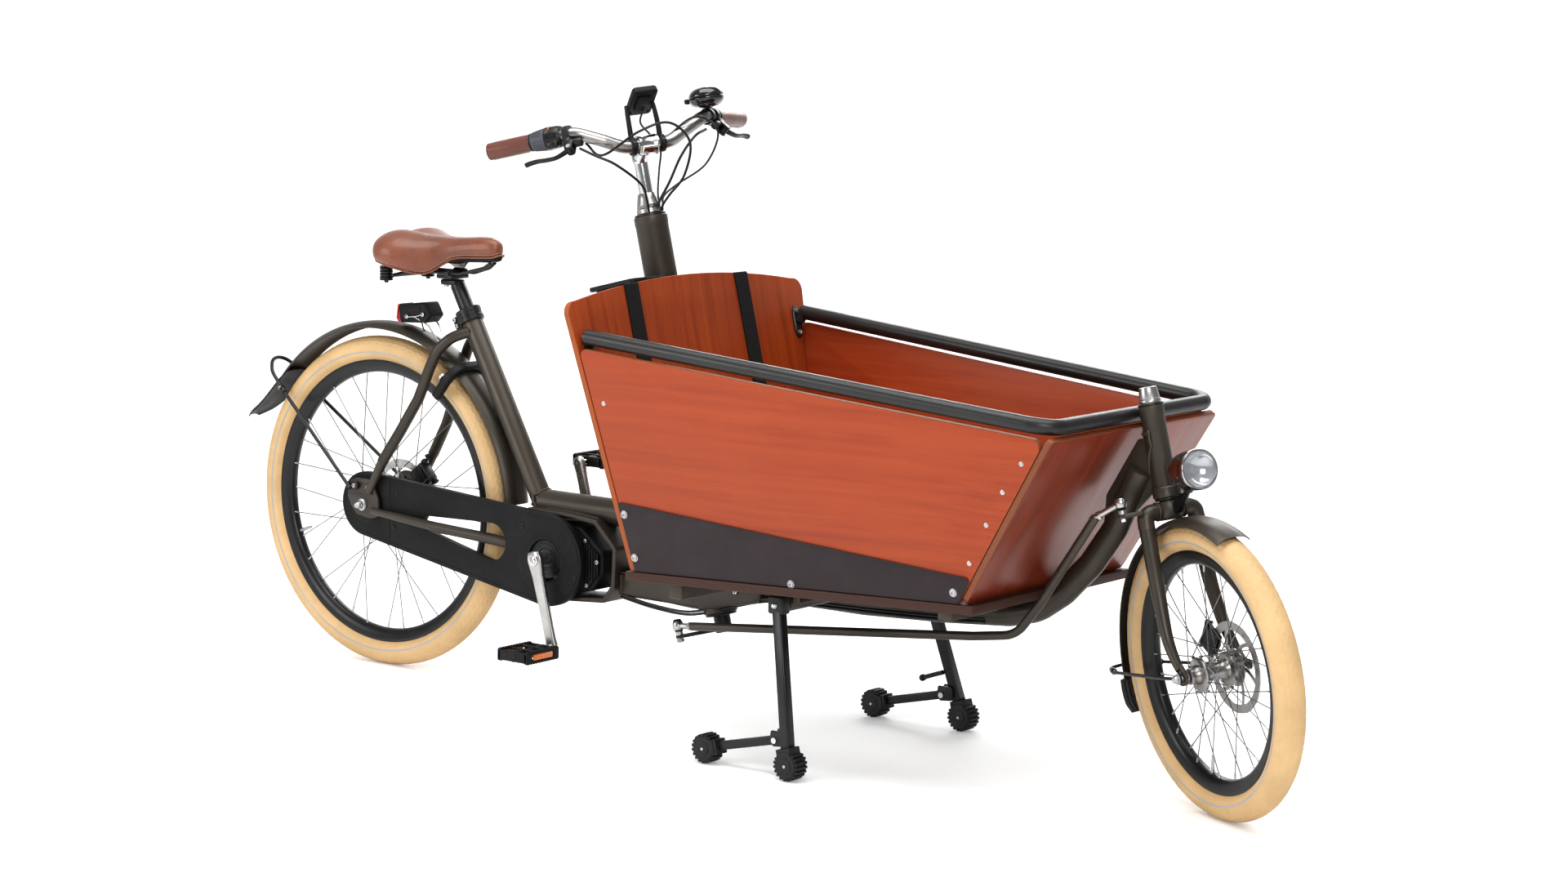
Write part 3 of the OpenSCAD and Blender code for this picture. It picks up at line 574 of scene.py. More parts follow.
def bead(points, radius, closed=True):
    """Rippled weld bead, resampled by length so that the ripples are even."""
    p = np.asarray(points, float)
    if closed:
        p = np.vstack([p, p[:1]])
    distances = lengths(p)
    steps = max(24, int(distances[-1] / 1.1))
    s = np.linspace(0, distances[-1], steps + 1)[: steps if closed else steps + 1]
    wave = 0.16 * np.sin(s / 3.6 * 2 * pi)
    radii = radius * (1 + wave + 0.05 * RNG.normal(size=len(s)))
    return tube(at_length(p, distances, s), radii, 8, closed)


def seam(points, radius):
    return bead(points, radius, False)


def weld_around(a, b, radius, c, d, target_radius, bead_radius):
    """Bead where a tube from a to b meets the tube c-d."""
    a, b, c, d = (np.asarray(q, float) for q in (a, b, c, d))
    axis = (b - a) / np.linalg.norm(b - a)
    target = (d - c) / np.linalg.norm(d - c)
    turned = frame_along((0, 0, 0), axis)
    u, w = np.array(turned.col[0][:3]), np.array(turned.col[1][:3])
    points = []
    for k in range(150):
        angle = k * 2 * pi / 150
        start = a + radius * (cos(angle) * u + sin(angle) * w)
        slope = axis - target * (axis @ target)
        offset = (start - c) - target * ((start - c) @ target)
        qa, qb, qc = slope @ slope, 2 * slope @ offset, offset @ offset - target_radius**2
        root = qb * qb - 4 * qa * qc
        # lines that miss the target take their nearest approach
        t = -qb / (2 * qa) if root < 0 else (-qb - sqrt(root)) / (2 * qa)
        points.append(start + axis * t)
    return bead(points, bead_radius)


# ================================================================ parts
MATERIALS = {}
# slot of the materials whose slot isn't called like them
SLOTS = {
    "plywood_headboard": "plywood", "spoke_steel": "chrome", "zinc_steel": "chrome",
    "reflective_stripe": "cream_tyre", "saddle_leather": "brown_leather",
    "thread": "brown_leather", "black_thread": "webbing", "black_rubber": "black_plastic",
    "cable_rubber": "black_plastic", "orange_reflector": "red_lens", "screen": "gloss_black",
    "clear_lens": "chrome", "orange_mark": "grey_plastic",
}


class Part:
    """Gathers closed shells in mm, then becomes one object that rides on a body."""

    def __init__(self, name, material, body, replaces=None, slot=None, sharp=38, place=None):
        self.name, self.material, self.body, self.replaces = name, material, body, replaces
        self.slot = slot or SLOTS.get(material, material)
        self.sharp, self.place = sharp, place
        self.vertices, self.faces, self.count = [], [], 0

    def add(self, shape, place=IDENTITY):
        v, faces = shape
        matrix = np.array(place, float)
        self.vertices.append(np.asarray(v, float) @ matrix[:3, :3].T + matrix[:3, 3])
        self.faces += [tuple(i + self.count for i in face) for face in faces]
        self.count += len(v)
        return self

    def done(self):
        mesh = bpy.data.meshes.new(self.name)
        mesh.from_pydata((np.concatenate(self.vertices) * 0.001).tolist(), [], self.faces)
        mesh.validate(clean_customdata=False)
        bm = bmesh.new()
        bm.from_mesh(mesh)
        bmesh.ops.remove_doubles(bm, verts=bm.verts[:], dist=1e-6)
        bmesh.ops.recalc_face_normals(bm, faces=bm.faces[:])
        bm.to_mesh(mesh)
        bm.free()
        mesh.polygons.foreach_set("use_smooth", [True] * len(mesh.polygons))
        mesh.set_sharp_from_angle(angle=radians(self.sharp))
        mesh.materials.append(MATERIALS[self.material])
        thing = bpy.data.objects.new(self.name, mesh)
        SCENE.collection.objects.link(thing)
        if self.place is not None:
            matrix = self.place.copy()
            matrix.translation = matrix.translation * 0.001
            thing.matrix_world = matrix
        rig.ride(thing, self.body)
        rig.slot(thing, self.slot)
        if self.replaces:
            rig.replaces(thing, self.replaces)
        return thing


# ================================================================ materials
class Nodes:
    """Writes the node tree of one material and files it under its name."""

    def __init__(self, name, **settings):
        material = bpy.data.materials.new(name)
        material.use_nodes = True
        MATERIALS[name] = material
        self.tree = material.node_tree
        self.shader = self.tree.nodes["Principled BSDF"]
        self.coords = self.tree.nodes.new("ShaderNodeTexCoord")
        self.object = self.coords.outputs["Object"]
        self.set(**settings)

    def put(self, socket, value):
        if hasattr(value, "is_linked"):
            self.tree.links.new(value, socket)
            return
        if socket.type == "RGBA" and len(value) == 3:
            value = (*value, 1)
        socket.default_value = value

    def set(self, **settings):
        for key, value in settings.items():
            self.put(self.shader.inputs[key.replace("_", " ")], value)

    def node(self, kind, output=0, props=None, **inputs):
        """New node's output; inputs go by name, or by index as _0, _1 and so on."""
        made = self.tree.nodes.new("ShaderNode" + kind)
        for key, value in (props or {}).items():
            setattr(made, key, value)
        for key, value in inputs.items():
            self.put(made.inputs[int(key[1:]) if key[0] == "_" else key.replace("_", " ")], value)
        return made.outputs[output]

    def noise(self, scale, detail=4, rough=0.55, at=None, distortion=0.0):
        return self.node("TexNoise", Vector=at or self.object, Scale=scale, Detail=detail,
                         Roughness=rough, Distortion=distortion)

    def cells(self, scale, at=None, feature="F1", random=1.0):
        return self.node("TexVoronoi", props={"feature": feature}, Vector=at or self.object,
                         Scale=scale, Randomness=random)

    def stretch(self, x, y, z):
        return self.node("Mapping", Vector=self.object, Scale=(x, y, z))

    def warp(self, at, amount, **noise):
        """Coordinates pushed about by a coloured noise."""
        push = self.node("TexNoise", 1, Vector=self.object, **noise)
        push = self.node("VectorMath", props={"operation": "SCALE"}, _0=push, Scale=amount)
        return self.node("VectorMath", props={"operation": "ADD"}, _0=at, _1=push)

    def fade(self, value, span, to=(0, 1)):
        """The span of a value mapped to another range, clamped."""
        return self.node("MapRange", Value=value, From_Min=span[0], From_Max=span[1],
                         To_Min=to[0], To_Max=to[1])

    def mix(self, factor, first, second):
        return self.node("Mix", 2, {"data_type": "RGBA"}, _0=factor, _6=first, _7=second)

    def math(self, operation, first, second=0.0):
        return self.node("Math", props={"operation": operation}, _0=first, _1=second)

    def axis(self, vector, index):
        return self.node("SeparateXYZ", index, Vector=vector)

    def bump(self, height, strength, distance, **normal):
        return self.node("Bump", Height=height, Strength=strength, Distance=distance, **normal)

    def edges(self, span, to):
        """Mask of convex edges."""
        made = self.tree.nodes.new("ShaderNodeNewGeometry")
        return self.fade(made.outputs["Pointiness"], span=span, to=to)


def tint(colour, factor, lift=0.0):
    return tuple(np.minimum(np.array(colour) * factor + lift, 1))


def paint(name, colour, metallic=0.0, rough=0.4, drift=0.08, grain=1600, grain_depth=0.05,
          coat=0.0, coat_rough=0.1, wear=0.25, worn=None, dust=0.03, specular=0.42):
    """Painted or moulded surface: colour drift, fine grain, uneven gloss, worn edges, dust."""
    nodes = Nodes(name, Metallic=metallic, Coat_Weight=coat, Coat_Roughness=coat_rough,
                  Specular_IOR_Level=specular)
    broad = nodes.noise(scale=9, detail=5)
    base = nodes.mix(nodes.fade(broad, span=(0.35, 0.65)), tint(colour, 0.86), tint(colour, 1.14))
    speck = nodes.noise(scale=grain * 0.35, detail=2)
    speck = nodes.fade(speck, span=(0.45, 0.75), to=(0, 0.22))
    base = nodes.mix(speck, base, tint(colour, 1.5, lift=0.01))
    edge = nodes.edges(span=(0.52, 0.62), to=(0, wear))
    base = nodes.mix(edge, base, worn or tint(colour, 1.9, lift=0.03))
    up = nodes.axis(nodes.node("NewGeometry", 1), 2)
    dusty = nodes.math(
        "MULTIPLY", nodes.fade(up, span=(0.3, 1.0), to=(0, dust)),
        nodes.fade(nodes.noise(scale=55, detail=6, rough=0.7), span=(0.4, 0.7), to=(0.2, 1)))
    dust_colour = (0.30, 0.28, 0.25)
    base = nodes.mix(dusty, base, dust_colour)
    gloss = nodes.fade(nodes.noise(scale=24, detail=5, rough=0.65), span=(0.3, 0.7),
                       to=(rough - drift, rough + drift))
    fine = nodes.noise(scale=grain, detail=3, rough=0.6)
    soft = nodes.bump(nodes.noise(scale=60, detail=3), strength=0.03, distance=0.002)
    normal = nodes.bump(fine, strength=grain_depth, distance=0.0006, Normal=soft)
    nodes.set(Base_Color=base, Roughness=gloss, Normal=normal)


def metal(name, colour, rough=0.18, brushed=0.0, stretch=(1, 1, 60), spots=0.1):
    """Bare or plated metal: brushing marks and smudges that change the gloss."""
    nodes = Nodes(name, Metallic=1.0)
    brush = nodes.noise(scale=40, detail=6, rough=0.7, at=nodes.stretch(*stretch))
    smudge = nodes.noise(scale=18, detail=6, rough=0.7)
    base = nodes.mix(nodes.fade(smudge, span=(0.35, 0.7)), tint(colour, 1), tint(colour, 0.86))
    spot = nodes.noise(scale=90, detail=5, rough=0.75)
    spot = nodes.fade(spot, span=(0.62, 0.8), to=(0, spots))
    base = nodes.mix(spot, base, tint(colour, 0.35))
    gloss = nodes.math("ADD", nodes.fade(smudge, span=(0.3, 0.7), to=(rough * 0.8, rough * 1.4)),
                       nodes.fade(brush, span=(0.3, 0.7), to=(0, 0.12 * brushed)))
    nodes.set(Base_Color=base, Roughness=gloss,
              Normal=nodes.bump(brush, strength=0.06 + 0.25 * brushed, distance=0.0002))


def wood(name, light, mid, dark, axis=0, gloss=0.35, coat=0.35, coat_rough=0.15,
         edge_light=(0.50, 0.27, 0.13), edge_dark=(0.20, 0.085, 0.035), figure=1.0):
    """Varnished plywood with its grain along an axis and ply layers on edges facing off z."""
    nodes = Nodes(name)

    def along_grain(side, length, depth):
        scales = [side, side, depth]
        scales[axis] = length
        return nodes.stretch(*scales)

    fibre = nodes.warp(along_grain(side=70.0, length=2.2, depth=20.0), amount=1.7,
                       Scale=3.0, Detail=3.0)
    grain = nodes.noise(scale=1.0, detail=9, rough=0.62, at=fibre)
    pores = nodes.noise(scale=1.0, detail=4, rough=0.7,
                        at=along_grain(side=420.0, length=9.0, depth=60.0))
    wide = nodes.noise(scale=1.0, detail=4, rough=0.5, distortion=0.6,
                       at=along_grain(side=14.0, length=0.8, depth=3.0))
    made = nodes.tree.nodes.new("ShaderNodeValToRGB")
    stops = made.color_ramp.elements
    stops.new(0.5)
    for stop, (position, shade) in zip(stops, [(0.28, dark), (0.48, mid), (0.70, light)]):
        stop.position = position
        stop.color = (*shade, 1)
    nodes.put(made.inputs[0], grain)
    base = made.outputs[0]
    base = nodes.mix(nodes.fade(wide, span=(0.35, 0.65), to=(0, 0.42 * figure)), base, dark)
    base = nodes.mix(nodes.fade(pores, span=(0.58, 0.74), to=(0, 0.55 * figure)), base,
                     tint(dark, 0.45))
    speck = nodes.noise(scale=1.0, detail=5, rough=0.75, at=nodes.stretch(x=260, y=260, z=260))
    base = nodes.mix(nodes.fade(speck, span=(0.42, 0.72), to=(0, 0.34)), base, dark)
    pale = nodes.fade(nodes.noise(scale=4, detail=3), span=(0.3, 0.7), to=(0.0, 0.22))
    base = nodes.mix(pale, base, light)
    rough = nodes.fade(grain, span=(0.3, 0.7), to=(gloss - 0.06, gloss + 0.1))
    fibres = nodes.bump(grain, strength=0.05, distance=0.0006)
    normal = nodes.bump(pores, strength=0.08, distance=0.0003, Normal=fibres)
    # cut edges
    flat = nodes.math("ABSOLUTE", nodes.axis(nodes.coords.outputs["Normal"], 2))
    z = nodes.axis(nodes.object, 2)
    layer = nodes.math("SINE", nodes.math("MULTIPLY", z, 2 * pi / 0.0030))
    layers = nodes.mix(nodes.fade(layer, span=(-0.35, 0.35)), edge_dark, edge_light)
    blotch = nodes.fade(nodes.noise(scale=260, detail=4), span=(0.4, 0.7), to=(0, 0.35))
    layers = nodes.mix(blotch, layers, edge_dark)
    on_edge = nodes.fade(flat, span=(0.45, 0.6), to=(1, 0))
    base = nodes.mix(on_edge, base, layers)
    edge_rough = 0.6
    rough = nodes.node("Mix", props={"data_type": "FLOAT"}, _0=on_edge, _2=rough, _3=edge_rough)
    nodes.set(Base_Color=base, Roughness=rough, Normal=normal, Coat_Weight=coat,
              Coat_Roughness=coat_rough, Specular_IOR_Level=0.30)


def rubber(name, colour, rough=0.62, grain_depth=0.12, dirt=0.12, dirt_colour=(0.30, 0.25, 0.19)):
    nodes = Nodes(name)
    base = nodes.mix(nodes.fade(nodes.noise(scale=12, detail=5), span=(0.35, 0.65)),
                     tint(colour, 0.9), tint(colour, 1.06))
    stain = nodes.noise(scale=70, detail=6, rough=0.7)
    base = nodes.mix(nodes.fade(stain, span=(0.5, 0.75), to=(0, dirt)), base, dirt_colour)
    nodes.set(Base_Color=base,
              Roughness=nodes.fade(nodes.noise(scale=40, detail=4), span=(0.3, 0.7),
                                   to=(rough - 0.08, rough + 0.08)),
              Normal=nodes.bump(nodes.noise(scale=900, detail=3, rough=0.6),
                                strength=grain_depth, distance=0.0004))


def leather(name, colour, rough, scale=420):
    """Fine cells crossed by wider folds."""
    nodes = Nodes(name, Coat_Weight=0.32, Coat_Roughness=0.2, Sheen_Weight=0.06)
    cell = nodes.cells(scale, feature="DISTANCE_TO_EDGE")
    fold = nodes.cells(scale * 0.28, feature="DISTANCE_TO_EDGE",
                       at=nodes.warp(nodes.object, amount=0.01, Scale=60.0))
    broad = nodes.noise(scale=14, detail=6, rough=0.6)
    base = nodes.mix(nodes.fade(broad, span=(0.3, 0.7)), tint(colour, 0.72), tint(colour, 1.18))
    stain = nodes.noise(scale=48, detail=6, rough=0.7)
    base = nodes.mix(nodes.fade(stain, span=(0.55, 0.78), to=(0, 0.07)), base, tint(colour, 0.5))
    base = nodes.mix(nodes.fade(cell, span=(0.0, 0.12), to=(0.45, 0)), base, tint(colour, 0.42))
    base = nodes.mix(nodes.edges(span=(0.52, 0.6), to=(0, 0.35)), base,
                     tint(colour, 1.5, lift=0.02))
    fold_share = 0.6
    height = nodes.math("ADD", nodes.fade(cell, span=(0, 0.25)),
                        nodes.math("MULTIPLY", nodes.fade(fold, span=(0, 0.1)), fold_share))
    nodes.set(Base_Color=base,
              Roughness=nodes.fade(nodes.noise(scale=30, detail=5), span=(0.3, 0.7),
                                   to=(rough - 0.08, rough + 0.12)),
              Normal=nodes.bump(height, strength=0.32, distance=0.0005))


def webbing(name, colour):
    """Diagonal weave with lengthwise ribs and loose fibres."""
    weave_pitch, rib_pitch = 0.0022, 0.0045
    weave_share, rib_share, fuzz_share = 0.5, 0.35, 0.4  # in the bump
    nodes = Nodes(name, Sheen_Weight=0.06, Sheen_Roughness=0.5, Specular_IOR_Level=0.2)
    y, z = nodes.axis(nodes.object, 1), nodes.axis(nodes.object, 2)

    def wave(value, pitch):
        return nodes.math("SINE", nodes.math("MULTIPLY", value, 2 * pi / pitch))

    rising = wave(nodes.math("ADD", y, z), weave_pitch)
    falling = wave(nodes.math("SUBTRACT", y, z), weave_pitch)
    weave = nodes.math("MULTIPLY", rising, falling)
    rib = wave(y, rib_pitch)
    fuzz = nodes.noise(scale=1500, detail=3)
    base = nodes.mix(nodes.fade(weave, span=(-1, 1)), tint(colour, 0.55), tint(colour, 1.55))
    base = nodes.mix(nodes.fade(fuzz, span=(0.5, 0.8), to=(0, 0.4)), base,
                     tint(colour, 2.6, lift=0.01))
    height = nodes.math("ADD", nodes.math("MULTIPLY", weave, weave_share),
                        nodes.math("MULTIPLY", rib, rib_share))
    height = nodes.math("ADD", height, nodes.math("MULTIPLY", fuzz, fuzz_share))
    nodes.set(Base_Color=base, Roughness=nodes.fade(fuzz, span=(0.3, 0.7), to=(0.62, 0.86)),
              Normal=nodes.bump(height, strength=0.7, distance=0.0005))


def glass(name, colour):
    nodes = Nodes(name, Transmission_Weight=0.85, IOR=1.49, Roughness=0.05)
    nodes.set(Base_Color=nodes.mix(nodes.fade(nodes.noise(scale=30, detail=3), span=(0.3, 0.7)),
                                   colour, tint(colour, 0.9)),
              Normal=nodes.bump(nodes.noise(scale=400, detail=2), strength=0.02, distance=0.0003))


def lens(name, colour):
    """Coloured lens with a prism pattern under a glossy skin, and a faint painted glow in its own colour."""
    nodes = Nodes(name, Coat_Weight=1.0, Coat_Roughness=0.03, Roughness=0.12)
    cell = nodes.cells(scale=240, random=0.1)
    edge = nodes.cells(scale=240, feature="DISTANCE_TO_EDGE", random=0.1)
    base = nodes.mix(nodes.fade(cell, span=(0, 0.6)), tint(colour, 1.25), tint(colour, 0.55))
    base = nodes.mix(nodes.fade(edge, span=(0, 0.08), to=(0.6, 0)), base, tint(colour, 0.3))
    # the emission is a faint painted glow in the lens colour; the pedal reflectors, which are no lamps, glow with it
    # too
    nodes.set(Base_Color=base, Emission_Color=colour, Emission_Strength=0.04,
              Normal=nodes.bump(nodes.fade(edge, span=(0, 0.2)), strength=0.25, distance=0.0006))


paint("frame_paint", (0.050, 0.0415, 0.0325), metallic=0.45, rough=0.42, drift=0.05, grain=2200,
      wear=0.16, worn=(0.26, 0.22, 0.17), coat=0.2, coat_rough=0.3)
wood("plywood", light=(0.395, 0.072, 0.020), mid=(0.335, 0.056, 0.0145),
     dark=(0.245, 0.036, 0.0095), gloss=0.44, coat=0.16, coat_rough=0.30, figure=0.42,
     edge_light=(0.42, 0.15, 0.055), edge_dark=(0.22, 0.07, 0.024))
wood("plywood_headboard", light=(0.34, 0.066, 0.011), mid=(0.275, 0.048, 0.008),
     dark=(0.185, 0.029, 0.005), axis=1, gloss=0.44, coat=0.12, coat_rough=0.25, figure=0.6,
     edge_light=(0.40, 0.11, 0.030), edge_dark=(0.27, 0.065, 0.018))
wood("front_plywood", light=(0.25, 0.046, 0.018), mid=(0.185, 0.032, 0.013),
     dark=(0.120, 0.020, 0.009), gloss=0.34, coat=0.22, coat_rough=0.20, figure=0.4,
     edge_light=(0.30, 0.10, 0.04), edge_dark=(0.12, 0.035, 0.016))
wood("floor_plywood", light=(0.085, 0.038, 0.026), mid=(0.052, 0.023, 0.016),
     dark=(0.022, 0.010, 0.008), gloss=0.46, coat=0.2, coat_rough=0.3,
     edge_light=(0.075, 0.030, 0.018), edge_dark=(0.030, 0.012, 0.008))
paint("strip", (0.019, 0.0105, 0.0125), rough=0.44, grain=1400, grain_depth=0.12, coat=0.08,
      coat_rough=0.3, wear=0.2, specular=0.35)
paint("rail_paint", (0.020, 0.019, 0.019), metallic=0.2, rough=0.38, grain=2000,
      grain_depth=0.07, coat=0.2, coat_rough=0.3)
paint("black_metal", (0.010, 0.010, 0.0105), metallic=0.2, rough=0.36, grain=1800,
      grain_depth=0.06, coat=0.2, coat_rough=0.22)
paint("black_plastic", (0.0075, 0.0075, 0.008), rough=0.52, grain=1300, grain_depth=0.16,
      wear=0.12, specular=0.3)
paint("black_matte", (0.0085, 0.0085, 0.009), rough=0.60, grain=1500, grain_depth=0.14,
      wear=0.10, specular=0.28)
paint("gloss_black", (0.009, 0.009, 0.010), rough=0.10, drift=0.04, grain=400, grain_depth=0.01,
      coat=1.0, coat_rough=0.04, wear=0.1, dust=0.02)
metal("chrome", (0.66, 0.66, 0.66), rough=0.12, spots=0.12)
metal("spoke_steel", (0.20, 0.20, 0.205), rough=0.22)
metal("brushed", (0.36, 0.35, 0.34), rough=0.22, brushed=0.9, spots=0.15)
metal("aluminium", (0.54, 0.53, 0.52), rough=0.24, brushed=0.4, stretch=(60, 1, 60), spots=0.12)
metal("zinc_steel", (0.55, 0.55, 0.56), rough=0.30, brushed=0.5, stretch=(8, 8, 8), spots=0.3)
metal("steel_chain", (0.32, 0.31, 0.30), rough=0.34, brushed=0.4, stretch=(8, 8, 8), spots=0.45)
rubber("cream_tyre", (0.60, 0.405, 0.205), rough=0.66, dirt=0.22, dirt_colour=(0.36, 0.25, 0.13))
paint("reflective_stripe", (0.34, 0.34, 0.34), rough=0.45, grain=3000, grain_depth=0.2)
leather("brown_leather", (0.130, 0.034, 0.017), rough=0.32)
leather("saddle_leather", (0.205, 0.062, 0.029), rough=0.30, scale=620)
paint("thread", (0.52, 0.38, 0.24), rough=0.8, grain=2600, grain_depth=0.5, wear=0)
webbing("webbing", (0.006, 0.006, 0.0065))
paint("black_thread", (0.03, 0.03, 0.032), rough=0.85, grain=2600, grain_depth=0.5, wear=0)
paint("grey_plastic", (0.070, 0.076, 0.088), rough=0.42, grain=1300, grain_depth=0.10)
rubber("black_rubber", (0.011, 0.011, 0.0115), rough=0.58, dirt=0.10,
       dirt_colour=(0.06, 0.055, 0.05))
rubber("cable_rubber", (0.010, 0.010, 0.011), rough=0.34, dirt=0.05, grain_depth=0.05,
       dirt_colour=(0.06, 0.055, 0.05))
lens("red_lens", (0.55, 0.018, 0.015))
lens("orange_reflector", (0.95, 0.22, 0.02))
paint("screen", (0.012, 0.014, 0.016), rough=0.06, drift=0.02, grain=300, grain_depth=0.005,
      coat=1.0, coat_rough=0.02, wear=0, dust=0.01)
glass("clear_lens", (0.95, 0.97, 1.0))
paint("orange_mark", (0.75, 0.12, 0.02), rough=0.45, grain=1500, grain_depth=0.1, wear=0)

# ================================================================ wheels
TYRE = 27  # radius of the tyre's section
RIM_DEPTH = 25.6
SPOKES = 32


def make_tyre(name, place, radius, body, tread_steps):
    centre = radius - TYRE

    def pinch(angle, amount):
        """Narrows the section towards the rim."""
        return 1 - amount * max(0, abs(angle) - 118) / 30

    grid = np.linspace(-148, 148, 61)
    outer = [(centre + TYRE * cos(radians(a)), TYRE * sin(radians(a)) * pinch(a, 0.22))
             for a in grid]
    inner = [(centre + 23.4 * cos(radians(a)), 23.2 * sin(radians(a)) * pinch(a, 0.25))
             for a in np.linspace(146, -146, 15)]

    def tread(angles, r, z):
        """Shallow grooves: staggered blocks on top, a row of notches on the shoulders."""
        depth = np.zeros_like(r)
        k = np.round(angles[:, 0] / (2 * pi) * tread_steps).astype(int)
        for j, a in enumerate(abs(grid)):
            if a < 66:
                row = int((a + 2.5) // 10)
                crosswise = (k + (3 if row % 2 else 0)) % 6 < 2
                lengthwise = (a % 20) > 16
                depth[:, j] = np.where(crosswise | lengthwise, 0.95, 0.0)
            elif a < 76:
                depth[:, j] = np.where((k % 6) < 3, 0.55, 0.05)
        out = r - centre
        reach = np.sqrt(out**2 + z**2) + 1e-9
        return r - out / reach * depth, z - z / reach * depth

    part = Part(name + "_tyre_casing", "cream_tyre", body, name + "_tyre", sharp=50)
    part.add(ring(outer + inner, tread_steps, shape=tread), place).done()
    part = Part(name + "_tyre_stripe", "reflective_stripe", body)
    for side in SIDES:
        band = []
        for r, (start, end) in ((27.25, (96, 103)), (26.2, (103, 96))):
            for a in np.linspace(start, end, 5):
                band.append((centre + r * cos(radians(a)), side * r * sin(radians(a))))
        part.add(ring(band, 180), place)
    part.done()


def make_spokes(name, place, bed, body, flange, flange_y, lead):
    """Spokes run to the rim bed from alternate faces of the two flanges."""
    spokes = Part(name + "_spoke_set", "spoke_steel", body, name + "_spokes", sharp=60)
    nipples = Part(name + "_nipples", "zinc_steel", body, sharp=50)
    for i in range(SPOKES):
        angle = i * 360 / SPOKES
        side = 1 if i % 2 == 0 else -1
        face = 1 if (i // 2) % 2 == 0 else -1
        r = flange - 4.5
        start = radians(angle + face * lead)
        bend = np.array([r * cos(start), side * (flange_y + face * 1.9), r * sin(start)])
        r = bed + 2
        tip = np.array([r * cos(radians(angle)), side * 3.5, r * sin(radians(angle))])
        along = (tip - bend) / np.linalg.norm(tip - bend)
        head = np.array([bend[0], side * (flange_y - face * 3.4), bend[2]])
        path = [head, head + (bend - head) * 0.7, bend + along * 1.6, bend + along * 8,
                bend + (tip - bend) * 0.5, tip]
        spokes.add(tube(path, [1.1, 1.1, 1.1, 1.05, 0.95, 0.95], 7), place)
        spokes.add(lathe([(0, -1.0), (1.6, -0.8), (2.0, 0), (1.6, 0.6), (0, 0.6)], 10),
                   place @ frame_along(head, head - bend))
        at = place @ frame_along(tip, bend - tip)
        nipples.add(stack([
            (circle(2.5, 12), -2.0), (circle(2.7, 12), 0.5), (circle(1.9, 12), 1.6),
            (hexagon(1.75, 12), 2.2), (hexagon(1.75, 12), 10.5), (circle(1.3, 12), 12.5)]), at)
        nipples.add(ring([(2.6, -1.5), (4.0, -1.5), (4.3, -0.6), (3.6, 0.5), (2.6, 0.6)], 14), at)
    spokes.done()
    nipples.done()


def make_wheel(name, place, radius, flange, flange_y, lead, tread_steps, valve_angle):
    body = name + "_wheel"
    make_tyre(name, place @ ACROSS, radius, body, tread_steps)
    r = radius - 48
    bed = r - RIM_DEPTH
    # double wall with hooked edges
    profile = mirrored([(r, -16), (r - 2.2, -16.6), (r - 6, -15.6), (r - 12, -15.2),
                        (r - 18, -12.5), (r - 22.5, -9.2), (r - 25, -5), (bed, 0)])
    profile += mirrored([(r + 0.4, 15), (r - 0.6, 13.8), (r - 3.4, 13.9), (r - 8, 13.3),
                         (r - 11, 11), (r - 13.5, 6), (r - 14, 0)])
    part = Part(name + "_rim_ring", "black_metal", body, name + "_rim")
    part.add(ring(profile, 216), place @ ACROSS).done()
    make_spokes(name, place, bed, body, flange, flange_y, lead)
    a = radians(valve_angle)
    at = frame_along(((bed - 1) * cos(a), 0, (bed - 1) * sin(a)), (-cos(a), 0, -sin(a)))
    Part(name + "_valve", "zinc_steel", body).add(lathe([
        (0, -2), (3.4, -2), (3.4, 3), (4.6, 3), (4.6, 5), (3.2, 5), (3.0, 22), (2.6, 24),
        (2.6, 30), (1.8, 31), (0, 31)], 20), place @ at).done()


make_wheel("rear", REAR_WHEEL, REAR_RADIUS, flange=50.5, flange_y=28, lead=58,
           tread_steps=648, valve_angle=200)
make_wheel("front", FRONT_WHEEL, FRONT_RADIUS, flange=36.5, flange_y=27, lead=62,
           tread_steps=504, valve_angle=250)

# hub profiles, (radius, y)
REAR_HUB = [
    (5.3, -36), (20, -36), (20.6, -35.4), (20.6, -31.5), (31, -31), (33.5, -30.2), (43, -30.4),
    (43.9, -29.6), (43.9, -26.4), (43, -25.6), (36, -25.2), (33.4, -23), (32.6, -18),
    (33.2, -17), (33.2, -14), (32.4, -13), (32.2, -6), (32.9, -5), (32.9, 5), (32.2, 6),
    (32.4, 13), (33.2, 14), (33.2, 17), (32.6, 18), (33.4, 23), (36, 25.2), (43, 25.6),
    (43.9, 26.4), (43.9, 29.6), (43, 30.4), (33.5, 30.2), (27, 32), (22, 34), (21.7, 42),
    (21.7, 48), (20, 57), (5.3, 57.6)]
FRONT_HUB = [
    (4.9, -49.5), (13, -49.5), (14, -48.5), (14, -40), (16.5, -36), (17, -31), (28.6, -30.2),
    (29.9, -29.2), (29.9, -25), (28.6, -24.2), (19, -23), (16.2, -18), (14.6, -10), (14.2, 0),
    (14.6, 10), (16.2, 18), (19, 23), (28.6, 24.2), (29.9, 25), (29.9, 29.2), (28.6, 30.2),
    (22, 31.5), (21.7, 39), (21.7, 45.6), (14, 46), (13, 49.5), (4.9, 49.5)]
for name, place, profile, segments in (("rear", REAR_WHEEL, REAR_HUB, 72),
                                       ("front", FRONT_WHEEL, FRONT_HUB, 64)):
    part = Part(name + "_hub_shell", "brushed", name + "_wheel", name + "_hub")
    part.add(ring(profile, segments), place @ ACROSS).done()


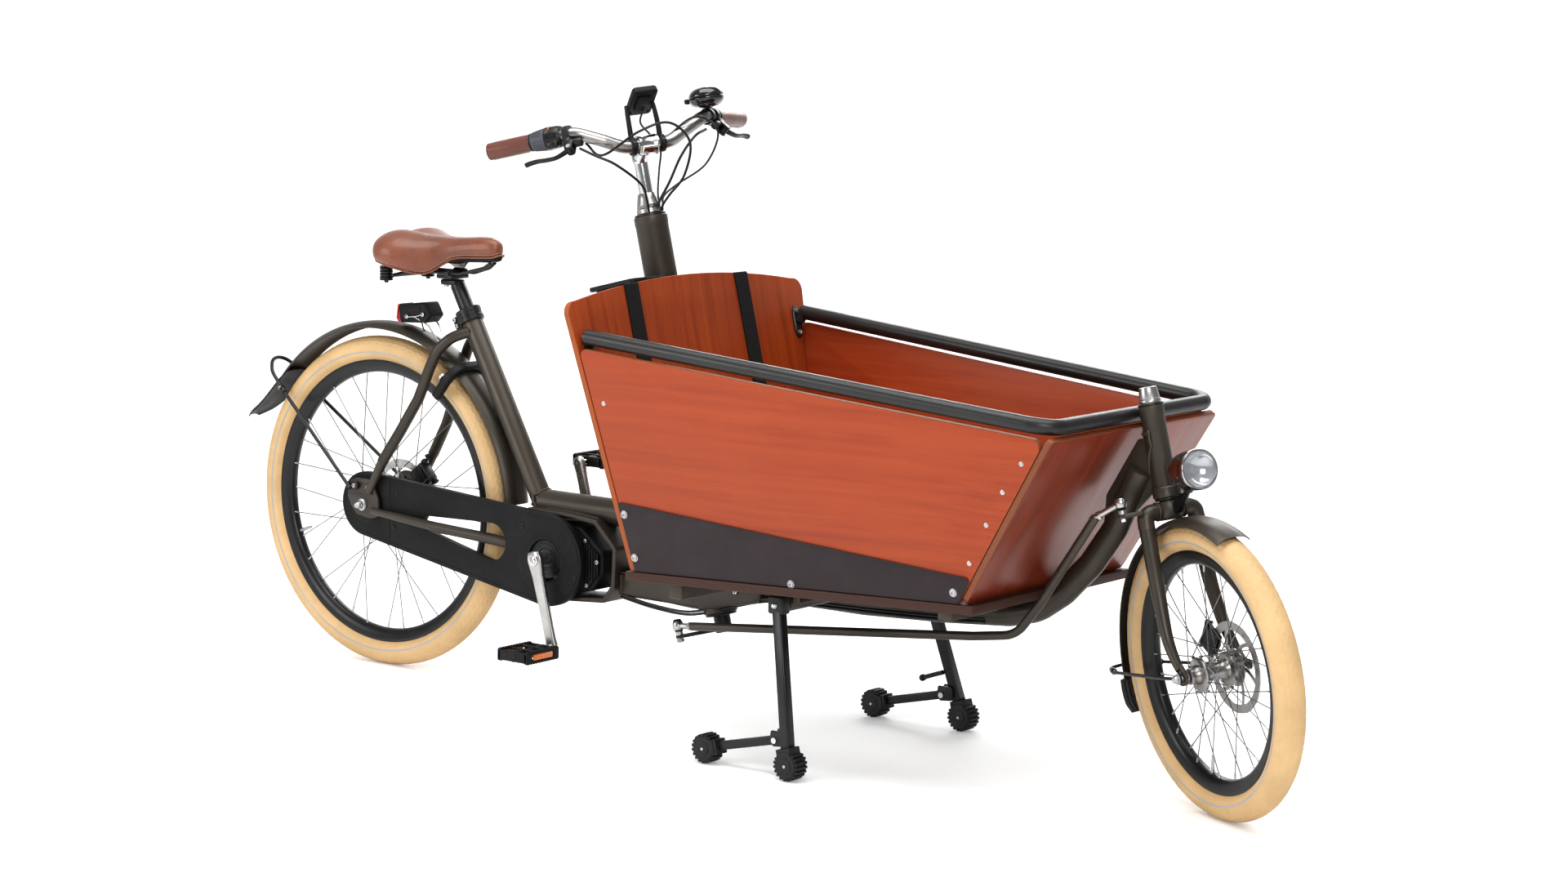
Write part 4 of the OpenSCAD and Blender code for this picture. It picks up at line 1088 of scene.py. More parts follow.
def make_brake_disc(name, place, y):
    """Wavy outer ring with lined holes, six swept arms and a bolted carrier."""
    carrier = 21.95
    place = place @ ACROSS @ move(0, 0, y)
    part = Part(name + "_brake_disc", "aluminium", name + "_wheel", name + "_rotor", "brushed")
    wave = 1 - 0.006 * (np.cos(np.arange(240) * 2 * pi / 240 * 12) > 0.3)
    part.add(prism([circle(80, 240) * wave[:, None], circle(64.6, 144)], -0.95, 0.95, 0.25, 1),
             place)
    for i in range(36):
        part.add(ring([(1.3, -1.12), (2.5, -1.12), (2.5, 1.12), (1.3, 1.12)], 12),
                 place @ turn("Z", i * 10) @ move((68.4, 72.2, 76.0)[i % 3], 0, 0))
    for i in range(6):
        path = []
        for t in np.linspace(0, 1, 9):
            r, a = carrier + 3 + (66 - carrier - 3) * t, radians(i * 60 + 26 * t)
            path.append((r * cos(a), r * sin(a), 0))
        part.add(flat_bar([[-3.4, -0.8], [3.4, -0.8], [3.4, 0.8], [-3.4, 0.8]], path), place)
    part.add(prism([circle(33, 72), circle(carrier + 0.1, 60)], -0.95, 0.95, 0.2, 1), place)
    for i in range(6):
        part.add(dome_screw(4.4, 2.2), place @ turn("Z", i * 60 + 20) @ move(28, 0, 0.95))
    part.done()


make_brake_disc("rear", REAR_WHEEL, 45)
make_brake_disc("front", FRONT_WHEEL, 42)

part = Part("rear_axle_set", "zinc_steel", "frame", "rear_axle")
part.add(lathe(chamfered(0, 5, -90, 90, 0.8, 1), 32), REAR_WHEEL @ ACROSS)
for side in SIDES:
    place = REAR_WHEEL @ move(0, side * 72.3, 0) @ facing(side)
    part.add(disc(12.5, 1.6, 0.4, 5.2), place)
    part.add(ring([(5.2, 1.6), (11, 1.6), (11.6, 2.2), (11.4, 3.2), (10, 4), (5.2, 4)], 36), place)
    part.add(acorn_nut(9.2, 14), place @ move(0, 0, 4.0))
    part.add(disc(9, 5.2, 0.5, 5.2), REAR_WHEEL @ move(0, side * 60.4, 0) @ facing(side))
part.done()
part = Part("front_axle_set", "zinc_steel", "fork", "front_axle")
part.add(pin(4.5, 75, 0.5, 32), FRONT_WHEEL @ ACROSS)
for side in SIDES:
    place = FRONT_WHEEL @ move(0, side * 71.0, 0) @ facing(side)
    part.add(disc(9.6, 1.4, 0.4, 4.7), place)
    part.add(acorn_nut(7.8, 9), place @ move(0, 0, 1.4))
    part.add(disc(8, 5.2, 0.5, 4.7), FRONT_WHEEL @ move(0, side * 51.4, 0) @ facing(side))
part.done()

# ================================================================ frame
COLUMN_LENGTH = 758
HEAD_LENGTH = 157.7
SEAT_TUBE_R = 20.9
MAIN_TUBE_R = 25.8
DOWN_TUBE_R = 23
STAY_R = 10.9
# outlines of the motor bracket band, dropout and gussets, (x, z)
BAND_OUTER = [[378, 318], [386, 350], [420, 372], [509, 372], [591, 366], [644, 316],
              [640, 240], [616, 207], [529, 200], [430, 203], [392, 232], [376, 268]]
BAND_INNER = [[388, 316], [394, 344], [424, 363], [508, 363], [586, 357], [634, 312],
              [631, 243], [611, 216], [529, 209], [434, 212], [401, 238], [386, 270]]
COLUMN_FOOT = [[800, 266], [985, 298], [985, 262], [974, 250], [908, 236], [880, 227],
               [846, 223], [815, 240]]
GUSSET = [[1776, 634], [1716, 532], [1712, 470], [1750, 480], [1824, 560], [1800, 640]]
DROPOUT = [[-40, 350], [-36, 380], [-16, 388], [24, 388], [44, 350], [46, 314], [20, 308],
           [-14, 314], [-32, 332]]
# tube from under the floor up to the front head tube, (x, z)
DOWN_TUBE = [(880, 274), (1017, 276), (1203, 277), (1377, 286), (1522, 298), (1580, 313),
             (1632, 349), (1688, 407), (1734, 474), (1783, 581)]

seat_foot, seat_top = np.array([424, 0, 373.0]), np.array([219, 0, 740.0])
main_start, main_end = np.array([426, 0, 378.0]), np.array([806, 0, 378.0])
down_path = round_path([[x, 0, z] for x, z in DOWN_TUBE], 90, 7)
part = Part("frame_tubes", "frame_paint", "frame", "frame")
# rear head tube with thicker ends
part.add(ring([(26.1, -758), (30.6, -758), (31.9, -757), (31.9, -742), (31.2, -740.6),
               (31.2, -17), (31.9, -15.6), (31.9, -1), (30.8, 0), (26.1, 0)], 64), COLUMN)
# seat tube
part.add(ring([(15.06, -420.2), (SEAT_TUBE_R, -420.2), (SEAT_TUBE_R, -2), (20.2, 0),
               (15.06, 0)], 56), SEAT)
part.add(tube(np.linspace(main_start, main_end, 4), MAIN_TUBE_R, 56))
part.add(prism([round_outline(BAND_OUTER, 13, 5), round_outline(BAND_INNER, 8, 5)],
               -42, 42, 2.0, 3), SIDE_VIEW)
# lower box beam
part.add(block(207, 50, 46, 5, 3), move(738.5, 0, 245))
part.add(prism([round_outline(COLUMN_FOOT, 9, 4)], -34, 34, 5, 3), SIDE_VIEW)
part.add(tube(down_path, DOWN_TUBE_R, 48))
# front head tube
part.add(ring([(17.1, -HEAD_LENGTH), (22.8, -HEAD_LENGTH), (23.9, -156.6), (23.9, -142),
               (22.6, -139.6), (20.9, -138.6), (20.9, -19.4), (21.9, -17.4), (21.9, -1),
               (21, 0), (17.1, 0)], 56), HEAD)
part.add(prism([round_outline(GUSSET, 6, 4)], -5, 5, 1.4, 3), SIDE_VIEW)
for side in SIDES:
    # chain stay, seat stay and dropout plate
    path = round_path([[28, side * 72.4, 325], [196, side * 71.6, 312], [322, side * 44, 299],
                       [382, side * 29.2, 291.9]], 60, 7)
    part.add(tube(path, np.interp(lengths(path) / 370, [0, 0.12, 0.6, 1],
                                  [7.2, 9.4, 10.2, 11.5]), 32))
    path = round_path([
        [20, side * 73.5, 362], [60, side * 73.4, 430], [102, side * 66, 494],
        [138, side * 54, 559], [163, side * 48, 623], [181, side * 45, 660],
        [208, side * 34, 686], [240, side * 14, 699]], 60, 6)
    radii = np.full(len(path), STAY_R)
    radii[:2] = 8.2, 10.0
    part.add(tube(path, radii, 32))
    part.add(prism([round_outline(DROPOUT, 9, 5), circle(5.4, 24, (0, REAR_RADIUS)),
                    circle(2.55, 20, (-12, 374)), circle(6.5, 28, (18, 368))],
                   *sorted((side * 66, side * 72)), 1.1, 2), SIDE_MIRROR)
    part.add(block(32, 20, 26, 2.2, 2), move(1176, side * 190, 313))
part.add(sleeve(10.1, 15, -205, 205, 0.8, 48), move(1176, 0, 300) @ ACROSS)
# cross members under the floor
part.add(block(30, 460, 37.2, 2.6, 2), move(945, 0, 300.6))
part.add(block(30, 390, 25.4, 2.6, 2), move(1515, 0, 323.8))
part.done()

part = Part("frame_welds", "frame_paint", "frame", sharp=80)
part.add(weld_around(main_start, main_end, MAIN_TUBE_R, point(COLUMN, (0, 0, -COLUMN_LENGTH)),
                     point(COLUMN, (0, 0, 0)), 31.2, 3.0))
part.add(weld_around([900, 0, 378.0], main_start, MAIN_TUBE_R, seat_foot, seat_top,
                     SEAT_TUBE_R, 3.0))
loop = []
for k in range(120):  # seat tube on top of the bracket band
    angle = k * 2 * pi / 120
    x, y = SEAT_TUBE_R * cos(angle), SEAT_TUBE_R * sin(angle)
    low = point(SEAT, (x, y, -430))
    rise = point(SEAT, (x, y, 0)) - low
    loop.append(low + rise * (373.2 - low[2]) / rise[2])
part.add(bead(loop, 2.8))
part.add(weld_around(down_path[-4], down_path[-1], DOWN_TUBE_R,
                     point(HEAD, (0, 0, -HEAD_LENGTH)), point(HEAD, (0, 0, 0)), 21.4, 2.8))
for side in SIDES:
    # gusset on the front head tube
    part.add(seam([point(HEAD, (-20.5, side * 6, z)) for z in np.linspace(-40, -138, 30)], 2.0))
    # seat stay on the seat tube
    part.add(seam([point(SEAT, (SEAT_TUBE_R * cos(t), side * SEAT_TUBE_R * sin(t),
                                -38 + 13 * cos(3 * t)))
                   for t in np.linspace(pi * 0.62, pi * 0.93, 20)], 1.8))
    # upper edge of the box beam
    part.add(seam([[x, side * 25.4, 268.4] for x in np.linspace(640, 838, 50)], 1.6))
    # bracket band to the box beam
    part.add(seam([[643.5, side * 24, z] for z in np.linspace(226, 264, 20)], 2.4))
    part.add(seam([[642.5, side * 25.6, z] for z in np.linspace(226, 264, 12)], 2.0))
    # cross members to the tube under the floor
    for x in (930, 960, 1500, 1530):
        z = 275.2 if x < 1200 else 297.5
        part.add(seam([[x, side * 23.4 * cos(t), z + 23.4 * sin(t)]
                       for t in np.linspace(radians(18), radians(70), 16)], 1.9))
for z in (266.5, 223):
    part.add(seam([[643.5, y, z] for y in np.linspace(-22, 22, 24)], 2.2))
# main tube on the bracket band
for side in SIDES:
    part.add(seam([[x, side * 24.2, 371.5 - max(0, (x - 512) * 0.075)]
                   for x in np.linspace(452, 586, 60)], 2.2))
part.done()

bolts = Part("frame_bolts", "zinc_steel", "frame")
for side in SIDES:
    for x, z in ((930, 268), (966, 276)):
        bolts.add(cap_screw(5, 4.6), move(x, side * 34, z) @ facing(side))
    bolts.add(cap_screw(4.6, 4), move(18, side * 72, 368) @ facing(side))
    bolts.add(disc(8.2, 1.0, 0.3, 4.2), move(18, side * 71.6, 368) @ facing(side))
bolts.done()

# ================================================================ motor
# outline of the casting, (x, z)
MOTOR = [[390, 315], [396, 338], [425, 350], [507, 350], [548, 346], [606, 302], [606, 262],
         [580, 226], [529, 213], [436, 214], [404, 241], [389, 271]]
outline = round_outline(MOTOR, 16, 5)
part = Part("motor_casting", "black_matte", "frame", "motor_unit", "black_metal")
part.add(prism([outline, circle(12.1, 40, (481, 281))], -36, 36, 5, 3), SIDE_VIEW)
for place in (SIDE_VIEW, SIDE_MIRROR):
    # raised cover with a rounded boss round the crank
    part.add(prism([inset(outline[::-1], 8), circle(24, 40, (481, 281))], 35, 40.5, 1.5, 2), place)
    part.add(ring([(24, 35), (46, 35), (52, 37), (53, 39), (52, 41.5), (44, 43.2), (36, 42),
                   (30, 43.6), (24, 43.6)], 64), place @ move(481, 281, 0))
    for i in range(9):  # upright ribs
        x = 545 + i * 6.6
        top = 336 - (x - 545) * 0.62
        bottom = 228 + (x - 545) * 0.42
        part.add(block(2.6, top - bottom - 6, 5, 0.7, 2),
                 place @ move(x, (top + bottom) / 2, 40.9))
    for i in range(6):  # level ribs
        part.add(block(26, 2.6, 5, 0.7, 2), place @ move(409 + 0.6 * i, 250 + i * 9, 40.9))
part.done()
bolts = Part("motor_bolts", "zinc_steel", "frame")
for side in SIDES:
    for x, z in ((412, 334), (460, 340), (518, 340), (566, 322), (596, 284), (570, 236),
                 (516, 222), (448, 224), (404, 262)):
        bolts.add(cap_screw(4.4, 3.4), move(x, side * 40.4, z) @ facing(side))
bolts.done()


# ================================================================ chain case and chain
def belt(centre1, radius1, centre2, radius2, count=64):
    """Outline of a belt round two circles."""
    centre1, centre2 = np.array(centre1, float), np.array(centre2, float)
    d = centre2 - centre1
    heading, spread = atan2(d[1], d[0]), acos((radius1 - radius2) / np.linalg.norm(d))
    a = np.linspace(heading - spread, heading + spread, count)
    b = np.linspace(heading + spread, heading - spread + 2 * pi, count)
    return np.vstack([centre2 + radius2 * np.column_stack([np.cos(a), np.sin(a)]),
                      centre1 + radius1 * np.column_stack([np.cos(b), np.sin(b)])])


def clip(outline, limit, keep_less):
    """The part of an outline behind or ahead of x = limit."""
    kept = []
    for i, a in enumerate(outline):
        b = outline[(i + 1) % len(outline)]
        a_inside, b_inside = (a[0] <= limit) == keep_less, (b[0] <= limit) == keep_less
        if a_inside:
            kept.append(a)
        if a_inside != b_inside:
            kept.append(a + (b - a) * (limit - a[0]) / (b[0] - a[0]))
    kept = np.array(kept)
    return kept[np.linalg.norm(kept - np.roll(kept, 1, 0), axis=1) > 0.05]


CASE_REAR, CASE_FRONT = (0, 335), (482, 277)
outer = belt(CASE_REAR, 65, CASE_FRONT, 90)
opening = belt((170, 314), 15, (340, 297), 37, 32)
part = Part("chain_case_shell", "black_matte", "frame", "chain_case", "black_plastic")
part.add(prism([clip(outer, 67.0, False), opening, circle(41, 64, CASE_FRONT)],
               58.6, 61, 1.1, 3), SIDE_VIEW)
part.add(prism([clip(outer, 66.0, True), circle(20, 40, CASE_REAR)], 58.4, 61.2, 1.3, 3),
         SIDE_VIEW)
part.add(prism([outer, belt(CASE_REAR, 62.4, CASE_FRONT, 87.4)], 46, 59.6, 0.7, 2), SIDE_VIEW)
part.add(prism([belt((170, 314), 17.4, (340, 297), 39.4, 32), opening], 46, 59.8, 0.7, 2),
         SIDE_VIEW)
# stepped rings round the crank and the axle
part.add(ring([(41.2, 58.8), (41.2, 63.4), (42.2, 64.2), (46, 64.2), (47, 63.4), (48.5, 62.6),
               (56, 62.4), (57.4, 61.8), (58.6, 61.6), (70, 61.6), (72, 60.6), (72, 58.8)], 96),
         SIDE_VIEW @ move(*CASE_FRONT, 0))
part.add(ring([(20.2, 58.6), (20.2, 62.6), (21.2, 63.2), (27, 63.2), (28.4, 62.4), (38, 62.2),
               (39.6, 61), (39.6, 58.6)], 72), SIDE_VIEW @ move(*CASE_REAR, 0))
# raised rib that follows the outline
rib = belt(CASE_REAR, 58.6, CASE_FRONT, 83.6)
part.add(tube(np.column_stack([rib, np.full(len(rib), 60.9)]), 1.0, 8, closed=True), SIDE_VIEW)
part.done()
bolts = Part("chain_case_screws", "black_metal", "frame")
for x, z in ((84, 362), (78, 296), (420, 338), (556, 250), (-44, 372)):
    bolts.add(dome_screw(4.2, 2.2), move(x, -60.9, z) @ facing(-1))
bolts.done()

CHAIN_PITCH = 12.7
RING_TEETH, SPROCKET_TEETH = 38, 22
ring_radius = CHAIN_PITCH / (2 * sin(pi / RING_TEETH))
sprocket_radius = CHAIN_PITCH / (2 * sin(pi / SPROCKET_TEETH))


def link_plate(pitch, radius=3.9):
    """Figure-of-eight outline of one link."""
    a = np.linspace(pi / 2, 3 * pi / 2, 7)
    left = np.column_stack([radius * np.cos(a), radius * np.sin(a)])
    right = np.column_stack([pitch - radius * np.cos(a), -radius * np.sin(a)])
    waist = [pitch * 0.5, -radius * 0.62]
    return np.vstack([left, [waist], right, [[waist[0], -waist[1]]]])


run = belt(CASE_REAR, sprocket_radius, (481, 281), ring_radius, 80)
run = np.vstack([run, run[:1]])
distances = lengths(run)
links = int(round(distances[-1] / CHAIN_PITCH / 2) * 2)
joints = at_length(run, distances, np.arange(links) * distances[-1] / links)
part = Part("chain_links", "steel_chain", "frame", "chain", sharp=50)
for i in range(links):
    step = joints[(i + 1) % links] - joints[i]
    place = SIDE_VIEW @ move(*joints[i], 54) @ turn("Z", degrees(atan2(step[1], step[0])))
    z = 2.45 if i % 2 else 1.45
    for side in SIDES:
        part.add(prism([link_plate(np.linalg.norm(step))], side * z - 0.42, side * z + 0.42,
                       0.15, 1), place)
    part.add(lathe(mirrored([(0, -3.3), (1.7, -3.2), (1.9, -2.9)]), 8), place)
    part.add(lathe([(3.6, -1.0), (3.6, 1.0)], 10), place)
part.done()


def gear(teeth, pitch_radius):
    """Sprocket outline: seats between pointed teeth."""
    tip, root = pitch_radius + 2.2, pitch_radius - 3.8
    # (share of a tooth, radius)
    tooth = ((0, root), (0.16, root + 0.5), (0.30, pitch_radius + 0.2), (0.42, tip - 0.3),
             (0.5, tip), (0.58, tip - 0.3), (0.70, pitch_radius + 0.2), (0.84, root + 0.5))
    points = []
    for i in range(teeth):
        for share, r in tooth:
            a = (i + share) * 2 * pi / teeth
            points.append([r * cos(a), r * sin(a)])
    return np.array(points)


def ring_holes(radius, count, segments, reach):
    step = 360 / count
    return [circle(radius, segments, (reach * cos(radians(i * step)),
                                      reach * sin(radians(i * step)))) for i in range(count)]


part = Part("rear_sprocket_toothed", "zinc_steel", "rear_sprocket", "rear_sprocket")
part.add(prism([gear(SPROCKET_TEETH, sprocket_radius), *ring_holes(9, 6, 20, 29),
                circle(17, 48)], 52.8, 55.2, 0.35, 1), REAR_WHEEL @ SIDE_VIEW)
part.add(ring([(5.3, 37.2), (15, 37.2), (16.8, 38), (16.8, 57), (15, 58), (5.3, 58)], 48),
         REAR_WHEEL @ SIDE_VIEW)
part.done()


# ================================================================ box
def board_frame(side, corner):
    """Local z points out of a side board, with the origin on its outer face at (x, z)."""
    normal = Vector((-SIDE_DX, side * 1.0, -SIDE_DZ)).normalized()
    origin = (corner[0], side * board_y(*corner), corner[1])
    return frame_along(origin, normal, Vector((1, side * SIDE_DX, 0)).normalized())


def on_board(place, side, points):
    """World (x, z) points on a side board in the board's own plane."""
    inverse = place.inverted()
    return np.array([list((inverse @ Vector((x, side * board_y(x, z), z))).xy)
                     for x, z in points])


SIDE_BOARD = [[headboard_x(738) + 1.7, 736.4], [1757.4, 654.1],
              [1579.5, floor_top(1580) + 0.4], [headboard_x(335.5) + 1.7, floor_top(900) + 0.4]]
for side, name in NAMED_SIDES:
    place = board_frame(side, SIDE_BOARD[0])
    outline = round_outline(on_board(place, side, SIDE_BOARD), [10, 16, 5, 4], 6)
    part = Part("side_board_" + name, "plywood", "frame", "side_panel_" + name, place=place)
    part.add(prism([outline], -12, 0, 1.3, 3)).done()
part = Part("front_board", "front_plywood", "frame", "front_panel",
            place=move(1595, 0, 356.3) @ turn("Y", -59.2))
part.add(prism([round_outline([[0, -247], [346, -266], [346, 266], [0, 247]], 10, 5)],
               0.2, 12.2, 1.4, 3)).done()
part = Part("floor_plate", "floor_plywood", "frame", "floor_board",
            place=move(872, 0, 334) @ turn("Y", -1.73))
part.add(prism([round_outline([[6, -297], [738, -251], [738, 251], [6, 297]], 8, 4)],
               -16, 0, 1.2, 3)).done()


def headboard_corner(x, start, end):
    return [[x + 24 * cos(radians(t)) * 0.995, -15 + 24 * sin(radians(t))]
            for t in np.linspace(start, end, 9)]


# headboard with an arched top, (y, z)
outline = [[-289.7, -487], [289.7, -487], [345.6, -16]] + headboard_corner(322, 0, 90)
outline += [[y, -1771 + sqrt(1808**2 - y * y)] for y in np.linspace(312, -312, 41)]
outline += headboard_corner(-322, 90, 180) + [[-345.6, -16]]
part = Part("head_board", "plywood_headboard", "frame", "headboard", place=HEADBOARD @ END_VIEW)
part.add(prism([np.array(outline)], -12, 0, 1.6, 4)).done()

BENCH = HEADBOARD @ move(12, 0, -262) @ turn("Y", TILT)
HINGE_Y = 150
part = Part("bench_plate", "plywood", "bench", "bench_board", place=BENCH)
part.add(prism([round_outline([[22, -276], [240, -257], [240, 257], [22, 276]], 8, 5)],
               -8, 4, 1.6, 3)).done()
part = Part("bench_hinges", "zinc_steel", "bench")
for side in SIDES:
    place = BENCH @ move(0, side * HINGE_Y, 0)
    part.add(prism([rect(0, -8.2, 60, 8.2, 3, 3)], 4.05, 5.9, 0.4, 2), place)
    part.add(sleeve(3.1, 7.4, -8.2, 8.2, 0.6, 32), place @ ACROSS)
    for x in (30, 50):
        part.add(dome_screw(3.4, 1.6), place @ move(x, 0, 5.8))
part.done()

KICK_STRIP = [[headboard_x(462) + 1, 462], [1607, 404], [1580.3, 356.6],
              [headboard_x(336) + 1, 336]]
for side, name in NAMED_SIDES:
    place = board_frame(side, KICK_STRIP[0])
    outline = round_outline(on_board(place, side, KICK_STRIP), [6, 7, 5, 5], 5)
    part = Part("kick_strip_" + name, "strip", "frame", "kick_strips", place=place)
    part.add(prism([outline], 0.15, 3.0, 0.9, 3)).done()

screws = Part("box_screws", "zinc_steel", "frame", "box_fasteners")
bolts = Part("box_bolts", "zinc_steel", "frame")
for side, name in NAMED_SIDES:
    for corner in ((884, 440), (902, 362), (1572, 376), (1240, 352)):
        place = board_frame(side, corner)
        bolts.add(disc(7.4, 1.0, 0.4), place @ move(0, 0, 2.8))
        bolts.add(dome_screw(5.8, 3.4), place @ move(0, 0, 3.6))
    for corner in ((1604, 430), (1640, 500), (1674, 560), (1712, 612), (850, 640)):
        place = board_frame(side, corner)
        screws.add(lathe([(0, -1.5), (4.4, -1.5), (4.4, 0.2), (3.8, 0.5), (2.2, 0.62),
                          (0.01, 0.62)], 28), place)
        for angle in (20, 110):
            bolts.add(block(4.2, 0.8, 0.5, 0.1, 1), place @ turn("Z", angle) @ move(0, 0, 0.55))
    for z in (-98, -56):
        screws.add(cap_screw(5.6, 3.4), HEADBOARD @ move(5.2, side * 309, z) @ turn("Y", 90))
    # cleat under the bench
    place = board_frame(side, (872, 546))
    outline = on_board(place, side, [[874, 546], [1085, 546], [1085, 524], [874, 524]])
    part = Part("bench_cleat_" + name, "plywood", "frame", place=place)
    part.add(prism([round_outline(outline, 4, 4)], -34, -12.2, 1.6, 3)).done()
    # hinge lugs and pin
    lug = round_outline([[0.2, -272], [19, -272], [19, -254], [14, -252], [0.2, -252]], 3, 4)
    for offset in (-14, 9.4):
        start = side * HINGE_Y + offset
        screws.add(prism([lug], start, start + 4.6, 0.8, 2), HEADBOARD @ SIDE_MIRROR)
    screws.add(lathe(mirrored([(0, -16), (4.6, -15.4), (4.6, -14.1), (3, -14)]), 24),
               HEADBOARD @ move(12, side * HINGE_Y, -262) @ ACROSS)
screws.done()
bolts.done()

# rail: one bent tube, its ends flattened against the headboard
path = across([(806, -320.6, 756.6), (1736, -261, 678), (1763, -238, 675)])
part = Part("rail_tube", "rail_paint", "frame", "box_rail")
part.add(tube(round_path(path, [0, 62, 62, 62, 62, 0], 8), 14, 40))
angles = np.arange(24) * pi / 12
upright = np.sign(np.sin(angles)) * np.abs(np.sin(angles)) ** 0.6
for side in SIDES:
    part.add(loft([np.column_stack([np.full(24, x), side * 309 + half_y * np.cos(angles),
                                    -77 + half_z * upright])
                   for x, half_y, half_z in ((0.3, 11, 31), (3.6, 11, 31), (5.2, 9.6, 29))]),
             HEADBOARD)
    start, end = point(HEADBOARD, (3.5, side * 311, -77)), np.array([812, side * 320.2, 756.2])
    middle = start * 0.45 + end * 0.55 + np.array([0, 0, 1.0])
    part.add(tube(spline([start, middle, end], 8), np.linspace(9, 14, 17), 32))
part.done()

# straps over the headboard: ribbed webbing, folded ends, stitching
straps = Part("strap_webbing", "webbing", "frame", "shoulder_straps", sharp=60)
stitches = Part("strap_stitching", "black_thread", "frame")
width = np.linspace(-20, 20, 41)
ribbed = 1.15 + 0.16 * np.sin(width * 2 * pi / 3.3)
ribbed[0] = ribbed[-1] = 0.35
section = np.vstack([np.column_stack([width, ribbed]),
                     np.column_stack([width[::-1], np.full(41, -0.95)])])
for centre in (-162, 162):
    crest = 38.2 - centre**2 / 3616
    # (x, z) up the front face, over the top and down the rear face
    line = [(1.3, -238), (1.4, -200), (1.3, -120), (1.3, -40), (1.3, 10), (1.35, 24)]
    for t in np.radians(np.linspace(10, 90, 6)):
        line.append((1.35 - 2.2 * (1 - cos(t)), crest - 2.2 + 2.2 * sin(t) - 0.8))
    for t in np.radians(np.linspace(0, 85, 6)):
        line.append((-11.1 - 2.2 * sin(t), crest - 2.2 + 2.2 * cos(t) - 0.8))
    line += [(-13.3, 10), (-13.4, -10), (-13.5, -40)]
    path = round_path([(x, centre, z) for x, z in line], 2.0, 3)
    rings = []
    for i in range(len(path)):
        t = path[min(i + 1, len(path) - 1)] - path[max(i - 1, 0)]
        up = np.array([t[2], 0, -t[0]])
        up /= np.linalg.norm(up)
        rings.append(path[i] + section[:, :1] * np.array([0, 1.0, 0]) + section[:, 1:2] * up)
    straps.add(loft(rings), HEADBOARD)
    # folded lower end
    straps.add(loft([np.column_stack([x + section[:, 1] * 0.9, centre + section[:, 0] * 0.985,
                                      np.full(len(section), z)])
                     for z, x in ((-240, 2.6), (-236, 3.1), (-196, 3.2), (-194, 2.6))]),
               HEADBOARD)
    for z in np.arange(-232, -200, 2.6):
        for y in (centre - 15, centre + 15):
            stitches.add(tube([(4.3, y, z), (4.75, y, z + 0.9), (4.3, y, z + 1.8)], 0.42, 6),
                         HEADBOARD)
    for share in np.arange(0, 1, 0.075):  # crossed diagonals
        for side in SIDES:
            start = np.array([4.35, centre - side * 15 + side * 30 * share, -231 + 30 * share])
            stitches.add(tube([start, start + [0.4, side * 0.9, 0.9],
                               start + [0, side * 1.8, 1.8]], 0.42, 6), HEADBOARD)
straps.done()
stitches.done()


# ================================================================ fenders
def fender_profile(edge_radius, crown_radius, half_width):
    outer = []
    for t in np.linspace(-1, 1, 19):
        drop = (crown_radius - edge_radius) * abs(t) ** 3.2
        outer.append((crown_radius - drop, half_width * t))
    return outer + [(r - 1.3, y * 0.972) for r, y in outer[::-1]]


def flap(path, half_widths, thick, flutes, depth):
    """Rubber flap with lengthwise flutes along a path of (x, z)."""
    p = spline([np.array([q[0], 0, q[1]]) for q in path], 6)
    last = len(p) - 1
    widths = np.interp(np.linspace(0, 1, len(p)), np.linspace(0, 1, len(half_widths)),
                       half_widths)
    tangents = np.gradient(p, axis=0)
    tangents /= np.linalg.norm(tangents, axis=1)[:, None]
    u = np.linspace(-1, 1, 73)
    droop = 4.5 * np.abs(u) ** 3
    rings = []
    for i, t in enumerate(tangents):
        normal = np.array([-t[2], 0, t[0]])
        if normal[2] < 0:
            normal = -normal
        fade = min(1, i / 5, (last - i) / 3 + 0.1)
        out = u[:, None] * widths[i] * np.array([0, 1.0, 0])
        high = depth * fade * np.abs(np.cos(u * flutes * pi / 2)) - droop
        low = -thick - droop
        rings.append(np.vstack([p[i] + out + high[:, None] * normal,
                                p[i] + out[::-1] + low[::-1, None] * normal]))
    return loft(rings)


def make_fender(name, body, place, profile, segments, start, end, rim):
    """Shell with rolled edges; rim is the roll's (radius, y, tube radius, steps)."""
    part = Part(name + "_fender_shell", "frame_paint", body, name + "_fender")
    part.add(ring(profile, segments, start, end), place @ ACROSS)
    r, y, thick, steps = rim
    for side in SIDES:
        part.add(tube([(r * cos(a), side * y, r * sin(a))
                       for a in np.radians(np.linspace(-end, -start, steps))], thick, 8), place)
    part.done()


make_fender("rear", "frame", REAR_WHEEL, fender_profile(354, 366, 32.8), 150, -141.5, -5,
            (353.6, 32.4, 1.25, 110))
Part("rear_mud_flap", "black_rubber", "frame", sharp=50).add(flap(
    [(-262, 581), (-283, 560), (-308, 533), (-333, 510), (-360, 492), (-386, 478)],
    [30, 32, 34, 33, 28, 14], 2.6, 11, 2.2)).done()
part = Part("rear_stay_loop", "black_metal", "frame", "rear_fender_stays")
path = across([(-27, -78, 366), (-256, -40, 541), (-290, -38.5, 577), (-308, -20, 597),
               (-313, 0, 602)])
part.add(tube(round_path(path, 40, 6), 3.75, 20))
for side in SIDES:
    part.add(disc(8.5, 5, 1.2, 2.6), move(-14, side * 74, 373) @ facing(side))
    part.add(sleeve(3.8, 6.8, -7, 7, 0.4, 24, rise=1),
             frame_along((-256, side * 40, 541), (-229, side * -38, 175)))
part.done()
bolts = Part("rear_stay_bolts", "zinc_steel", "frame")
for side in SIDES:
    bolts.add(cap_screw(4.4, 4), move(-14, side * 79, 373) @ facing(side))
    bolts.add(dome_screw(4.2, 2.4), move(-262, side * 43.6, 545.5) @ facing(side))
bolts.done()

